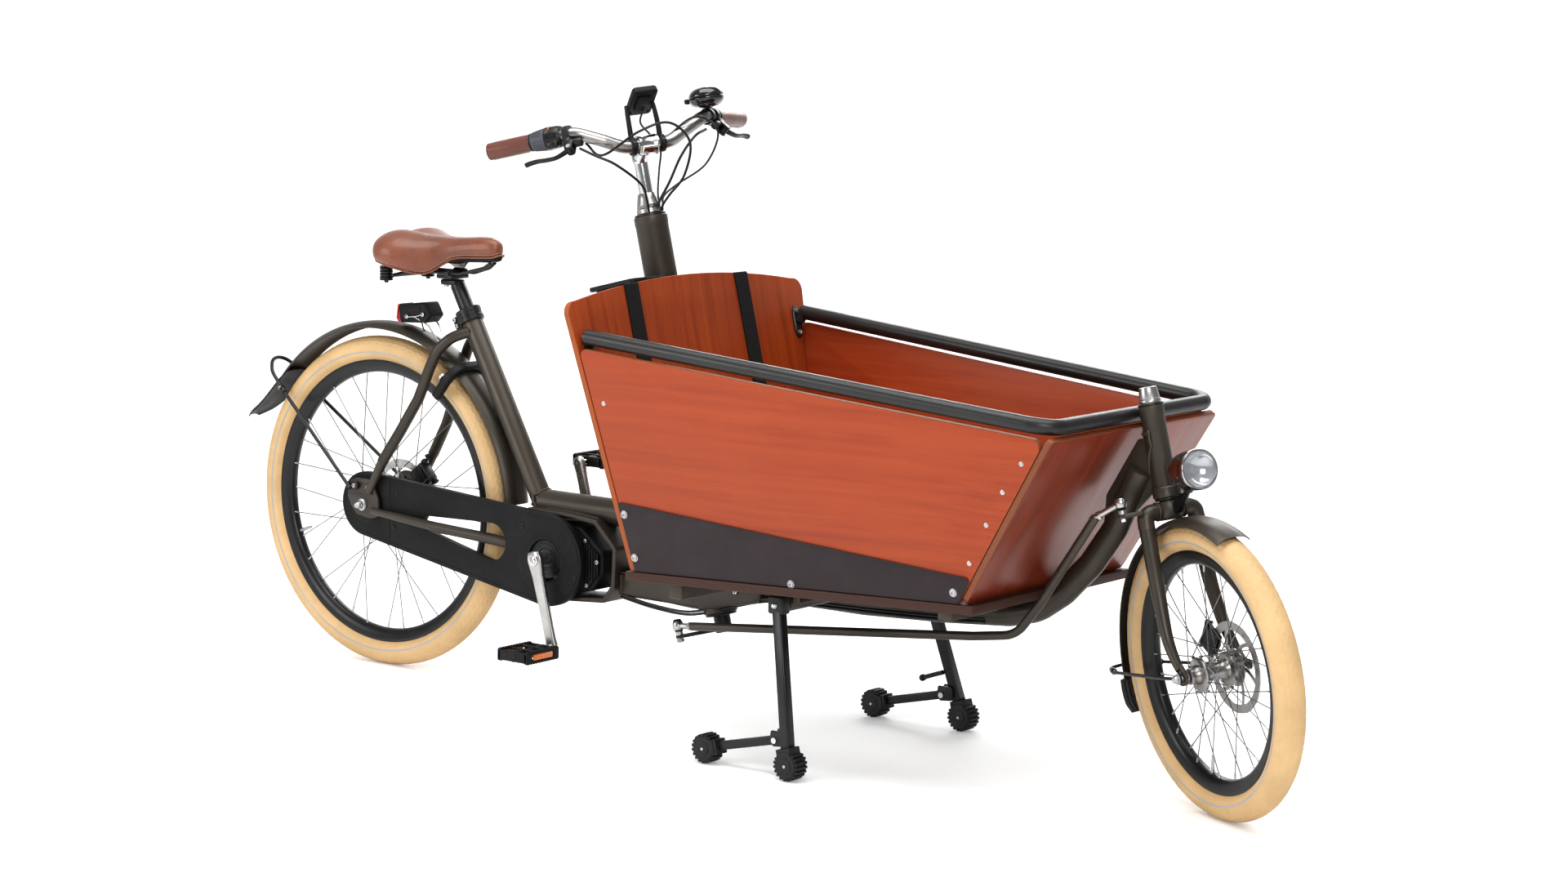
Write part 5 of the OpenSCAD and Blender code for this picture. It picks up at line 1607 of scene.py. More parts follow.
make_fender("front", "fork", FRONT_WHEEL, fender_profile(255.5, 266, 31.8), 130, -181, -57,
            (255.2, 31.4, 1.2, 90))
path = [(262 * cos(radians(a)), 262 * sin(radians(a))) for a in (178.5, 181, 184, 187, 190, 193.6)]
Part("front_mud_flap", "black_rubber", "fork", sharp=50).add(
    flap(path, [31, 33, 34, 34, 33, 26], 2.2, 9, 1.2), FRONT_WHEEL).done()
part = Part("front_fender_struts", "black_metal", "fork")
for side in SIDES:
    part.add(disc(7.6, 3, 0.8, 4.6), FRONT_WHEEL @ move(0, side * 66.2, 0) @ facing(side))
    part.add(sleeve(3.1, 5.8, -6, 6, 0.4, 20, rise=1),
             FRONT_WHEEL @ frame_along((-262, side * 46.4, 15.4), (-30, side * -9, 6)))
path = across([(-8.6, -67.5, 0), (-60, -66, 2), (-256, -51, 14), (-286, -40, 20), (-290, 0, 22)])
part.add(tube(round_path(path, 16, 6), 3.0, 16), FRONT_WHEEL)
part.done()

# ================================================================ tail light
part = Part("tail_lamp_body", "black_plastic", "frame", "tail_light")
part.add(prism([round_outline([[50, 739], [122, 748], [138, 722], [124, 707], [56, 703]],
                              [4, 6, 6, 5, 4], 5)], -22, 22, 5, 5), SIDE_VIEW)
outline = round_outline([[62, 733], [112, 739], [112, 722], [62, 716]], 3, 4)
for start in (21.4, -23.2):
    part.add(prism([outline], start, start + 1.8, 0.8, 2), SIDE_VIEW)
part.done()
Part("tail_lamp_lens", "red_lens", "frame").add(prism([round_outline(
    [[43, 711], [47, 738], [54, 741], [60, 703.4], [50, 702.6]], [3, 4, 0.5, 0.5, 3], 4)],
    -21.5, 21.5, 5.5, 5), SIDE_VIEW).done()
part = Part("tail_lamp_bracket", "chrome", "frame")
for side in SIDES:
    part.add(tube(round_path([[78, side * 24.6, 716], [98, side * 24.6, 718.5],
                              [128, side * 15, 702], [152, side * 10, 668]], 9, 5), 1.7, 12))
    part.add(tube([[98, side * 24.8, 718], [122, side * 24.8, 724]], 1.6, 10))
    for x, z in ((78, 717), (121, 724)):
        part.add(lathe([(0, 0), (4.6, 0), (4.6, 3.6), (3.6, 4.6), (0, 4.8)], 24),
                 move(x, side * 23, z) @ facing(side))
part.done()
part = Part("tail_lamp_wire", "cable_rubber", "frame")
part.add(tube(spline([(92, 4, 704), (96, 6, 690), (110, 8, 678), (132, 6, 676),
                      (152, 3, 668)], 8), 1.3, 10)).done()

# ================================================================ ring lock
LOCK = REAR_WHEEL @ turn("Y", -52)
outline = round_outline([[292, -57], [378, -57], [378, 57], [292, 57], [292, 41], [366, 41],
                         [366, -41], [292, -41]], [6, 40, 40, 6, 4, 34, 34, 4], 8)
part = Part("ring_lock_body", "black_plastic", "frame", "ring_lock")
part.add(prism([outline], -9, 9, 4, 4), LOCK).done()
part = Part("ring_lock_metal", "zinc_steel", "frame")
for ys in ((52, 40.5, 40), (-38, -42, -52)):
    part.add(tube([[303, y, 0] for y in ys], 4.3, 20), LOCK)
part.add(lathe([(0, 0), (8.2, 0), (8.2, 5), (7.2, 6), (3.6, 6), (3.2, 5.2), (0, 5.2)], 32),
         LOCK @ move(338, -50, 8.6))
part.add(block(1.1, 6, 0.8, 0.2, 1), LOCK @ move(338, -50, 14.1))
for y in (-41.4, 41.4):
    part.add(dome_screw(3.4, 2), LOCK @ move(352, y, 8.8))
part.done()
part = Part("ring_lock_lever", "black_plastic", "frame")
part.add(prism([round_outline([[-5, -9], [5, -9], [6, 9], [-6, 9]], 3, 4)], 0, 9, 2.4, 3),
         LOCK @ move(320, 57.2, 0) @ ACROSS).done()

# ================================================================ seat clamp, bearing cups
part = Part("seat_clamp_collar", "black_metal", "frame", "seat_clamp")
part.add(ring([(21.1, -27.5), (24.6, -27.5), (25.8, -26.4), (25.8, -19), (25, -18), (25, -10),
               (25.8, -9), (25.8, -2), (24.6, -0.8), (21.1, -0.8)], 56, 6, 354),
         SEAT @ turn("Z", 180))
for side in SIDES:
    part.add(block(17, 6.4, 25, 2, 3), SEAT @ move(-32, side * 4.8, -14.2))
part.done()
bolts = Part("seat_clamp_bolts", "zinc_steel", "frame")
for z in (-20.5, -8):
    bolts.add(cap_screw(4.4, 4.6), SEAT @ move(-33, -7.8, z) @ facing(-1))
    bolts.add(nut(4.6, 3.4), SEAT @ move(-33, 7.8, z) @ facing(1))
bolts.done()


def bearing_cup(outer, inner, height, flange, up):
    """Cup for the top of a head tube (up = 1) or its bottom (up = -1)."""
    profile = [(inner, -height), (outer, -height), (outer, 0.05), (flange - 0.6, 0.05),
               (flange, 0.8), (flange, 3.6), (flange - 1.4, 4.9), (inner, 4.9)]
    return ring([(r, up * z) for r, z in profile], 60)


part = Part("bearing_cups", "black_metal", "frame", "headset_cups", "chrome")
for place, length, sizes in ((COLUMN, COLUMN_LENGTH, (25.9, 16.1, 20, 29.6)),
                             (HEAD, HEAD_LENGTH, (16.9, 14.4, 16, 21.8))):
    part.add(bearing_cup(*sizes, 1), place)
    part.add(bearing_cup(*sizes, -1), place @ move(0, 0, -length))
part.done()


# ================================================================ brake calipers
def make_caliper(name, place, body, x0, y1, half):
    """Two halves over the disc, bridged at the outer end, with a hose and mounting ears."""
    x1, y0 = 98, 33
    x, y = (x0 + x1) / 2, (y0 + y1) / 2
    part = Part(name + "_caliper_body", "black_metal", body, name + "_caliper")
    for low, high in ((y0, y - 1.6), (y + 1.6, y1)):
        part.add(block(x1 - x0 - 3, high - low, 2 * half - 4, min(3.5, (high - low) * 0.35), 3),
                 place @ move(x, (low + high) / 2, 0))
    part.add(block(9, y1 - y0, 2 * half - 14, 2.4, 3), place @ move(x1 - 5, y, 0))
    part.add(disc(13, 3.2, 1.2), place @ move(x - 6, y1 - 0.6, 0) @ ACROSS)
    part.add(revolve([(0.01, 0), (7, 0), (7, 2.6), (5, 3.6), (0.01, 3.6)], 36),
             place @ move(x - 6, y1 + 2.2, 0) @ ACROSS)
    for side in SIDES:
        part.add(block(12, 9, 12, 2.5, 3), place @ move(x1 - 2, y + 1, side * (half - 3)))
    hose = [[x1 - 8, y1 - 3, half - 8], [x1 + 3, y1 - 2, half + 2], [x1 + 5, y1 - 4, half + 10]]
    part.add(tube(round_path(hose, 6, 4), 3.4, 14), place)
    part.done()
    bolts = Part(name + "_caliper_bolts", "zinc_steel", body)
    for side in SIDES:
        bolts.add(cap_screw(4.6, 4.4),
                  place @ move(x1 - 2, y + 5.4, side * (half - 3)) @ ACROSS)
    bolts.done()


make_caliper("rear", REAR_WHEEL @ turn("Y", -40), "frame", x0=52, y1=59, half=26)
make_caliper("front", FRONT_WHEEL @ turn("Y", -140), "fork", x0=54, y1=46, half=24)

# ================================================================ battery, behind the headboard
part = Part("battery_case", "black_plastic", "battery", "battery")
part.add(prism([rect(-118, -132, -20, -48, 12, 6)], -320, 31.4, 2.4, 3), HEADBOARD)
part.add(prism([rect(-128, -136, -16, -44, 10, 6)], 32.2, 41, 2.6, 4), HEADBOARD)
for i in range(7):
    part.add(block(2.2, 60, 3.0, 0.8, 2), HEADBOARD @ move(-118.2, -90, -250 + i * 12))
part.add(block(3, 46, 96, 1.2, 2), HEADBOARD @ move(-118.4, -90, -110))
part.done()
part = Part("battery_trim", "grey_plastic", "battery")
part.add(prism([rect(-9, -5, 9, 5, 4.9, 6)], 40.8, 41.6, 0.3, 2), HEADBOARD @ move(-72, -90, 0))
part.add(revolve([(0.01, 0), (8, 0), (8, 1.4), (7.2, 2.0), (4, 2.0), (3.6, 1.2),
                  (0.01, 1.2)], 32), HEADBOARD @ move(-119.6, -90, -50) @ turn("Y", -90))
for i in range(5):
    part.add(block(0.8, 4, 2.2, 0.3, 1), HEADBOARD @ move(-120, -102 + i * 6, -84))
part.done()

# ================================================================ seat post
part = Part("seat_post_tube", "black_metal", "seat", "seat_post")
part.add(lathe([(0, -250), (14.2, -250), (15, -249), (15, 52), (13.6, 56), (0, 57)], 48), SEAT)
part.add(block(40, 30, 11, 3.4, 3), move(179, 0, 791.5))
part.add(block(42, 52, 9, 3.2, 3), move(179, 0, 803.5))
for side in SIDES:
    part.add(pin(7.4, 15, 0.8, 28), move(179, side * 22, 811) @ turn("Y", 90))
part.done()
bolts = Part("seat_post_bolt", "zinc_steel", "seat")
for x in (163, 194):
    bolts.add(cap_screw(5.4, 5), move(x, 0, 786) @ turn("X", 180))
bolts.done()

# ================================================================ saddle
# x, half width, z of the top, of the widest line and of the bottom
SADDLE = np.array([
    (26.5, 34, 868, 856, 846), (30, 62, 876, 853, 839), (38, 84, 881.5, 850, 832),
    (54, 96, 885.5, 847, 825), (76, 99, 887, 845, 819), (98, 95, 885.5, 844, 813),
    (120, 84, 882, 843, 805), (138, 71, 879.5, 843, 800), (152, 60, 878.4, 843, 799),
    (166, 50, 878.2, 845, 806), (182, 41, 878.6, 848, 820), (200, 34.5, 879.6, 852, 832),
    (220, 30, 881, 855, 837), (258, 24, 883.2, 857, 839), (280, 21.5, 883.4, 858, 840),
    (296, 18, 881, 858, 841.5), (304, 13.5, 876.5, 858.5, 845), (308.5, 7.5, 870, 859, 850)])


def saddle_sizes(x):
    return [np.interp(x, SADDLE[:, 0], SADDLE[:, k]) for k in (1, 2, 3, 4)]


def saddle_section(x):
    half, top, middle, bottom = saddle_sizes(x)
    a = np.arange(72) * 2 * pi / 72
    c, s = np.cos(a), np.sin(a)
    y = half * np.sign(c) * np.abs(c) ** 0.72
    up = (top - middle) * np.abs(s) ** 0.80
    # long centre channel and two raised areas at the rear
    rear = np.exp(-(((x - 82) / 48.0) ** 2))
    raised = 4.2 * rear * np.exp(-(((np.abs(y) - 0.52 * half) / (0.26 * half + 1)) ** 2))
    channel = (2.2 + 7.5 * rear) * np.exp(-((y / (9.0 + 9.0 * rear)) ** 2))
    channel = channel * min(1, max(0, (270 - x) / 90.0)) * min(1, max(0, (x - 34) / 24.0))
    up = up + np.where(s > 0, raised - channel, 0)
    down = (middle - bottom) * np.abs(s) ** (0.62 if bottom > 830 else 0.34)
    z = np.where(s >= 0, middle + up, middle - down)
    # the underside is hollow between the two skirts
    lift = max(0.0, 834.0 - bottom)
    e = np.clip((0.84 * half - np.abs(y)) / (0.30 * half), 0, 1)
    z = np.where(s < 0, z + lift * e * e * (3 - 2 * e), z)
    return np.column_stack([np.full(72, x), y, z])


stations = np.concatenate([[26.5, 28, 31, 36], np.linspace(42, 292, 44),
                           [297, 301, 304.5, 307, 309]])
sections = [saddle_section(x) for x in stations]
part = Part("saddle_cover", "saddle_leather", "seat", "saddle", sharp=75)
saddle = part.add(loft(sections)).done()


def evaluated(thing):
    return thing.evaluated_get(bpy.context.evaluated_depsgraph_get())


def simulate_padding(work, rest, frames=18, pin_below=0.832):
    """Positions after the closed form is inflated as cloth, its lower part pinned."""
    group = work.vertex_groups.new(name="pin")
    for i, position in enumerate(rest):
        if position[2] < pin_below:
            group.add([i], 1.0, "REPLACE")
    cloth = work.modifiers.new("c", "CLOTH")
    settings = cloth.settings
    settings.quality = 5
    settings.mass = 0.3
    settings.tension_stiffness = 18
    settings.compression_stiffness = 14
    settings.shear_stiffness = 8
    settings.bending_stiffness = 1.2
    settings.use_pressure = True
    settings.uniform_pressure_force = 4.0
    settings.effector_weights.gravity = 0
    settings.vertex_group_mass = "pin"
    cloth.collision_settings.use_collision = False
    cloth.point_cache.frame_start, cloth.point_cache.frame_end = 1, frames
    first_frame = SCENE.frame_current
    for k in range(1, frames + 1):
        SCENE.frame_set(k)
    result = evaluated(work)
    places = np.zeros(len(rest) * 3)
    result.to_mesh().vertices.foreach_get("co", places)
    result.to_mesh_clear()
    SCENE.frame_set(first_frame)
    return places.reshape(-1, 3), rest[:, 2] < pin_below


def pad(thing, voxel=0.0045, limit=0.006):
    """Padded cover: remeshed, swollen as cloth, with only the broad swelling kept."""
    work = thing.copy()
    work.data = thing.data.copy()
    SCENE.collection.objects.link(work)
    work.parent = None
    work.matrix_world = Matrix.Identity(4)
    remesh = work.modifiers.new("r", "REMESH")
    remesh.mode = "VOXEL"
    remesh.voxel_size = voxel
    mesh = bpy.data.meshes.new_from_object(evaluated(work))
    work.modifiers.clear()
    work.data = mesh
    rest = np.zeros(len(mesh.vertices) * 3)
    mesh.vertices.foreach_get("co", rest)
    rest = rest.reshape(-1, 3)
    swollen, pinned = simulate_padding(work, rest)
    shift = swollen - rest
    size = np.linalg.norm(shift, axis=1)[:, None]
    shift = np.where(size > limit, shift / (size + 1e-12) * limit, shift)
    shift[pinned] = 0
    edges = np.zeros(len(mesh.edges) * 2, dtype=np.int64)
    mesh.edges.foreach_get("vertices", edges)
    start, end = edges.reshape(-1, 2).T
    count = len(rest)
    neighbours = np.maximum(np.bincount(edges, minlength=count), 1)
    for _ in range(70):
        average = np.column_stack([
            (np.bincount(start, shift[end, k], count) + np.bincount(end, shift[start, k], count))
            / neighbours for k in range(3)])
        shift = 0.4 * shift + 0.6 * average
    padded = rest + shift if np.isfinite(swollen).all() else rest
    bpy.data.objects.remove(work)
    mesh.vertices.foreach_set("co", padded.astype(np.float32).ravel())
    bm = bmesh.new()
    bm.from_mesh(mesh)
    for _ in range(9):
        bmesh.ops.smooth_vert(bm, verts=bm.verts[:], factor=0.5, use_axis_x=True,
                              use_axis_y=True, use_axis_z=True)
    bm.to_mesh(mesh)
    bm.free()
    mesh.polygons.foreach_set("use_smooth", [True] * len(mesh.polygons))
    materials = list(thing.data.materials)
    thing.data = mesh
    mesh.materials.clear()
    for material in materials:
        mesh.materials.append(material)


if not QUICK:
    # guards the remesh and the cloth simulation; if either fails the plain loft is kept
    try:
        pad(saddle)
    except Exception as error:
        print("saddle padding skipped:", error)

# welt and stitches along the lower edge
edge = []
inner_stations = range(1, len(stations) - 1)
for side, order in ((1, inner_stations), (-1, reversed(inner_stations))):
    for i in order:
        section = sections[i]
        y = section[:, 1].max() * 0.90
        middle = saddle_sizes(stations[i])[2]
        low = section[(section[:, 2] < middle - 0.01) & (section[:, 1] > 0)]
        low = low[np.argsort(low[:, 1])]
        edge.append([stations[i], side * y, float(np.interp(y, low[:, 1], low[:, 2]))])
edge = np.array(edge)
Part("saddle_welt", "saddle_leather", "seat").add(tube(edge, 1.7, 10, closed=True)).done()
part = Part("saddle_stitches", "thread", "seat")
loop = np.vstack([edge, edge[:1]])
distances = lengths(loop)
for t in np.arange(0, distances[-1], 5.2):
    start, end = at_length(loop, distances, t), at_length(loop, distances, t + 3.2)
    out = np.array([0, np.sign(start[1]), 0.1])
    up = np.array([0, np.sign(start[1]) * 1.6, 5.0])
    part.add(tube([start + up + out * 0.2, (start + end) / 2 + up + out * 1.0,
                   end + up + out * 0.2], 0.42, 6))
part.done()
# moulded pan below the cover
rings = []
a = np.arange(40) * 2 * pi / 40
for x in np.linspace(34, 300, 34):
    half, _, _, bottom = saddle_sizes(x)
    y = half * 0.74 * np.sign(np.cos(a)) * np.abs(np.cos(a)) ** 0.7
    rings.append(np.column_stack([np.full(40, x), y, max(bottom, 832.5) + 2.4 + 6.0 * np.sin(a)]))
Part("saddle_pan", "black_plastic", "seat").add(loft(rings)).done()
part = Part("saddle_frame_rails", "black_metal", "seat", "saddle_rails")
for side in SIDES:
    part.add(tube(round_path([[286, side * 6, 836], [270, side * 9, 825], [218, side * 22, 811],
                              [110, side * 22, 811], [70, side * 34, 803],
                              [58, side * 46, 799]], 22, 6), 3.5, 16))
    # ribbed post between two discs
    ribs = [(12.0 + 1.7 * sin(k * pi / 2) ** 2, 793 + 3.0 * k) for k in range(9)]
    place = move(56, side * 60, 0)
    part.add(lathe([(0, 792), (11.0, 792)] + ribs + [(11.0, 818), (0, 818)], 40), place)
    for z in (790.6, 817):
        part.add(disc(13.4, 2.6, 0.8, 3), place @ move(0, 0, z))
    part.add(lathe([(0, 786), (4.2, 786), (4.2, 790), (3, 790.4), (3, 821), (0, 821)], 20), place)
part.add(tube(round_path(across([(56, -60, 798), (58, -44, 799)]), 12, 4), 3.5, 16))
part.done()

# ================================================================ steering column and stem
nuts = Part("column_nuts", "aluminium", "handlebar")
nuts.add(stack([(circle(24, 48), 6.4), (circle(24, 48), 13.8), (circle(21.6, 48), 14.8)]), STEERED)
nuts.add(stack([(hexagon(22.6, 36), 15.6), (hexagon(22.6, 36), 20.2), (circle(19.4, 36), 21.2)]),
         STEERED)
nuts.done()
part = Part("column_tube", "black_metal", "handlebar", "steering_column")
part.add(ring([(13.1, -790), (16, -790), (16, 18.4), (15, 20), (13.1, 20)], 48), STEERED)
part.add(disc(16, 5, 1), STEERED @ move(0, 0, -795))
part.add(disc(24, 7, 1.4), STEERED @ move(0, 0, -791))
ARM_END = [[ARM_X - 10, ARM_Y], [ARM_X, ARM_Y - 11], [ARM_X + 10, ARM_Y]]
arm = round_outline([[-22, -4], *ARM_END, [22, -4]], [8, 9, 11, 9, 8], 5)
part.add(prism([arm], -791, -784.2, 1.6, 3), STEERED)
part.done()
part = Part("column_ball_stud", "zinc_steel", "handlebar")
part.add(lathe([(0, -799), (4.6, -799), (4.6, -791.5), (7.2, -791), (7.2, -784), (6.8, -778),
                (4, -776.6), (4, -757.5), (3.2, -756), (0, -756)], 28),
         STEERED @ move(ARM_X, ARM_Y, 0))
part.add(nut(7.4, 5.6), STEERED @ move(ARM_X, ARM_Y, -797.6))
part.done()
part = Part("quill_stem", "chrome", "handlebar", "stem")
part.add(lathe([(0, -160), (12, -160), (13, -158), (13, 100), (13.6, 103), (15.4, 105),
                (15.6, 108), (15.6, 119), (14.4, 122.4), (11.4, 123.4), (7.6, 123.6),
                (7.2, 122.4), (6.6, 121.2), (0, 121.2)], 56), STEERED)
part.add(tube([(4, 0, 111), (12, 0, 114.6), (22, 0, 119.4), (32, 0, 124), (42, 0, 128.6)],
              [13.6, 13.4, 12.8, 12.6, 13.4], 40), STEERED)
part.add(ring(mirrored([(12.55, -20), (18, -20), (19, -19), (19, -13), (18.4, -12)]), 56),
         STEERED @ move(45, 0, 130) @ ACROSS)
part.add(block(12, 34, 15, 3, 3), STEERED @ move(58, 0, 121) @ turn("Y", 30))
part.done()
bolts = Part("stem_bolts", "zinc_steel", "handlebar")
bolts.add(cap_screw(6, 3.4), STEERED @ move(0, 0, 120.6))
for y in (-10, 10):
    bolts.add(cap_screw(4.2, 3.8),
              STEERED @ move(61.5, y, 113.4) @ turn("Y", 30) @ turn("X", 180))
bolts.done()

# ================================================================ handlebar and grips
BAR_BORE = 12.58  # of whatever is clamped on the bar
path = across([(-93, -256, 171), (29, -131, 171), (41, -82, 148), (45, -46, 130)])
part = Part("handlebar_tube", "brushed", "handlebar", "handlebar")
part.add(tube(round_path(path, [0, 42, 46, 60, 60, 46, 42, 0], 10), 12.45, 48), STEERED).done()


def grip_shape(length):
    """Bulge for the hand and a sunken seam line along the grip."""
    def shape(angles, r, z):
        k = np.sin(np.clip((z + 2) / (length + 2), 0, 1) * pi)
        bulge = 0.75 * k + 0.22 * k * np.cos(angles - 0.6) + 0.10 * np.sin(z / 9.0 + 2 * angles)
        groove = -0.7 * np.exp(-((np.abs(angles % (2 * pi) - pi) / 0.055) ** 2))
        return r + np.where(r > 13.4, bulge + groove, 0), z
    return shape


covers = Part("grip_leather", "brown_leather", "handlebar", "grips", sharp=60)
stitches = Part("grip_stitching", "thread", "handlebar")
end_rings = Part("grip_end_rings", "black_metal", "handlebar")
for side, length in ((-1, 86), (1, 124)):
    place = bar_end(side)
    profile = [(BAR_BORE, length - 0.6), (BAR_BORE, -2.4), (15.0, -2.6), (15.9, -2.0)]
    profile += [(16.0, z) for z in np.linspace(-1.2, length - 2.2, 40)]
    profile += [(15.5, length - 1.2), (14.4, length - 0.6)]
    covers.add(ring(profile, 128, shape=grip_shape(length)), place)
    covers.add(lathe([(0, -5.0), (13.6, -5.0), (15.4, -4.4), (16.2, -3.4), (15.6, -2.6),
                      (0, -2.6)], 64), place)
    end_rings.add(ring([(12.6, length - 2.4), (16.9, length - 2.4), (17.1, length - 1.8),
                        (17.1, length - 0.8), (16.6, length - 0.2), (12.6, length - 0.2)], 64),
                  place)
    for z in np.arange(3, length - 8, 5.0):
        for direction in SIDES:
            path = []
            for r, share, rise in ((16.7, 0.35, 0), (17.15, 0.8, 1.3), (16.75, 1.3, 2.6)):
                a = direction * 0.13 * share
                path.append((r * cos(a), r * sin(a), z + rise))
            stitches.add(tube(path, 0.42, 6), place)
for part in (covers, stitches, end_rings):
    part.done()

# ================================================================ display on two arms
DISPLAY = STEERED @ move(42, 6, 214) @ turn("Y", -30)
part = Part("display_housing", "black_plastic", "handlebar", "display")
part.add(prism([rect(-36, -25, 36, 25, 8, 7)], -6.5, 6.0, 2.6, 4), DISPLAY)
part.add(prism([rect(-20, -14, 20, 14, 5, 5)], -11.5, -6.0, 1.4, 3), DISPLAY)
for x in (-28, 28):
    for y in (-18, 18):
        part.add(disc(3.0, 1.4, 0.4, 1.1, 20), DISPLAY @ move(x, y, -7.6))
for side in SIDES:
    y = side * 29
    part.add(sleeve(BAR_BORE, 17, -5, 5, 0.6, 48, rise=0.8), STEERED @ move(45, y, 130) @ ACROSS)
    part.add(block(9, 9, 9, 1.6, 2), STEERED @ move(62, y, 130))
    path = [(45, y, 146), (46, y, 165), (45, side * 28, 190), (44, side * 27, 207)]
    part.add(tube(spline(path, 6), np.linspace(5.2, 4.0, 19), 20), STEERED)
part.done()
part = Part("display_glass", "screen", "handlebar")
part.add(prism([rect(-31, -20, 21, 20, 4, 5)], 5.9, 6.9, 0.4, 2), DISPLAY).done()
part = Part("display_buttons", "grey_plastic", "handlebar")
for y in (-13, 0, 13):
    part.add(prism([rect(24.5, y - 4, 31, y + 4, 2.5, 4)], 5.8, 7.2, 0.6, 2), DISPLAY)
for side in SIDES:
    part.add(cap_screw(2.6, 2.4), STEERED @ move(62, side * 29, 134.4))
part.done()

# ================================================================ bell
BELL = STEERED @ move(32, 142, 205)
part = Part("bell_shells", "gloss_black", "handlebar", "bell")
for up, height in ((1, 18.2), (-1, 16.6)):  # two domes with a gap between them
    dome = [(33.4 * cos(t) ** 0.55, up * (1.6 + height * sin(t) ** 1.05))
            for t in np.radians(np.linspace(0, 90, 15))]
    dome[-1] = (0.01, dome[-1][1])
    part.add(lathe([(0.01, up * 0.9), (32.2, up * 0.9), (33.2, up * 1.1)] + dome, 72), BELL)
part.done()
part = Part("bell_core", "black_metal", "handlebar")
part.add(lathe(mirrored([(0, -2.2), (27.6, -2.2), (27.6, -0.8), (5, -0.75)]), 48), BELL)
part.add(sleeve(BAR_BORE, 16, 151, 161, 0.6, 48), bar_end(1))
start, end = point(bar_end(1), (-14, 0, 156)), point(BELL, (0, 0, -16))
part.add(tube(spline([start, start * 0.5 + end * 0.5, end], 6), 5.2, 20))
part.done()
part = Part("bell_thumb_lever", "black_plastic", "bell_lever", "bell_lever")
part.add(ring([(5.1, -0.65), (9, -0.65), (9, 0.65), (5.1, 0.65)], 32), BELL)
part.add(block(36, 9, 1.3, 0.5, 2), BELL @ turn("Z", -140) @ move(24, 0, 0))
part.add(block(9, 14, 9.4, 2.6, 3), BELL @ turn("Z", -140) @ move(40.5, 0, 0))
part.done()

# ================================================================ brake levers, shifter
LEVER_Z = {-1: 168, 1: 142}  # place of each pivot along the bar
part = Part("lever_clamps", "black_metal", "handlebar", "brake_perches")
bolts = Part("lever_clamp_bolts", "zinc_steel", "handlebar")
for side in SIDES:
    place = lever_frame(side)
    z = LEVER_Z[side]
    part.add(sleeve(BAR_BORE, 17, z - 15, z - 2, 1, 48), place)
    part.add(block(15, 20, 17, 4, 3), place @ move(20.5, 0, z - 7))
    part.add(block(12, 17, 30, 4, 3), place @ move(25, 0, z + 9.5))
    ear = round_outline([[22, -8], [44, -8], [46, 0], [44, 8], [22, 8]], [2, 5, 6, 5, 2], 5)
    for y in (-8.2, 8.2):
        part.add(prism([ear], -1.7, 1.7, 0.7, 2), place @ move(0, y, z) @ SIDE_MIRROR)
    bolts.add(lathe(mirrored([(0, -10.4), (4.4, -10.4), (4.4, -9.9), (3, -9.8)]), 24),
              place @ move(38, 0, z) @ ACROSS)
    bolts.add(cap_screw(3.8, 3.6), place @ move(-12, 10.5, z - 8.5) @ ACROSS)
    part.add(block(9, 10, 11, 2, 2), place @ move(-14, 4, z - 8.5))
SHIFTER = bar_end(-1)
part.add(ring([(BAR_BORE, 117.5), (21.6, 117.5), (22, 118), (22, 122), (21.4, 124), (21.4, 130),
               (20.8, 140), (20, 146), (19, 147), (BAR_BORE, 147)], 56), SHIFTER)
part.add(block(15, 22, 24, 5, 4), SHIFTER @ move(14, -12, 132))
part.done()
bolts.done()
part = Part("shifter_marks", "orange_mark", "handlebar")
for i in range(6):
    part.add(block(1.0, 1.0 + 0.5 * i, 3.0, 0.3, 1),
             SHIFTER @ turn("Z", 160 + i * 12) @ move(21.6, 0, 127))
part.done()


def grip_ribs(angles, r, z):
    fade = np.minimum(1, np.minimum((z - 89) / 2, (114 - z) / 2))
    ribbed = (z > 89) & (z < 114) & (r > 14)
    return r + np.where(ribbed, 0.55 * np.sign(np.cos(angles * 30)) * fade, 0), z


part = Part("twist_grip_collar", "grey_plastic", "twist_shifter", "twist_shifter", sharp=30)
profile = [(12.6, 116.6), (12.6, 87.2), (16.6, 87.2), (17.3, 87.8)]
profile += [(17.3 + (z - 87) * 0.134, z) for z in np.linspace(88.5, 115.2, 16)] + [(20.9, 116.6)]
part.add(ring(profile, 240, shape=grip_ribs), SHIFTER).done()

path = spline([(40, 0, -3), (47, 0, -14), (53, 0, -28), (53.4, 0, -46), (51.8, 0, -64),
               (53, 0, -80), (55.6, 0, -90)], 7)
tangents = np.gradient(path, axis=0)
tangents /= np.linalg.norm(tangents, axis=1)[:, None]
a = np.arange(22) * 2 * pi / 22
blade = []
for i, t in enumerate(tangents):
    share = i / (len(path) - 1)
    wide = np.interp(share, [0, 0.3, 0.7, 0.95, 1], [5.4, 4.8, 5.6, 5.8, 4.4])
    thick = np.interp(share, [0, 0.3, 0.8, 1], [4.4, 3.0, 2.7, 3.0])
    y = wide * np.sign(np.cos(a)) * np.abs(np.cos(a)) ** 0.8
    blade.append(path[i] + y[:, None] * np.array([0, 1.0, 0])
                 + (thick * np.sin(a))[:, None] * np.cross(t, [0, 1.0, 0]))
for side, name in NAMED_SIDES:
    place = lever_frame(side) @ move(0, 0, LEVER_Z[side])
    body = "brake_lever_" + name
    part = Part("lever_blade_" + name, "black_metal", body, body)
    part.add(sleeve(3.1, 7, -6, 6, 0.8, 32), place @ move(38, 0, 0) @ ACROSS)
    part.add(loft(blade), place)
    part.done()

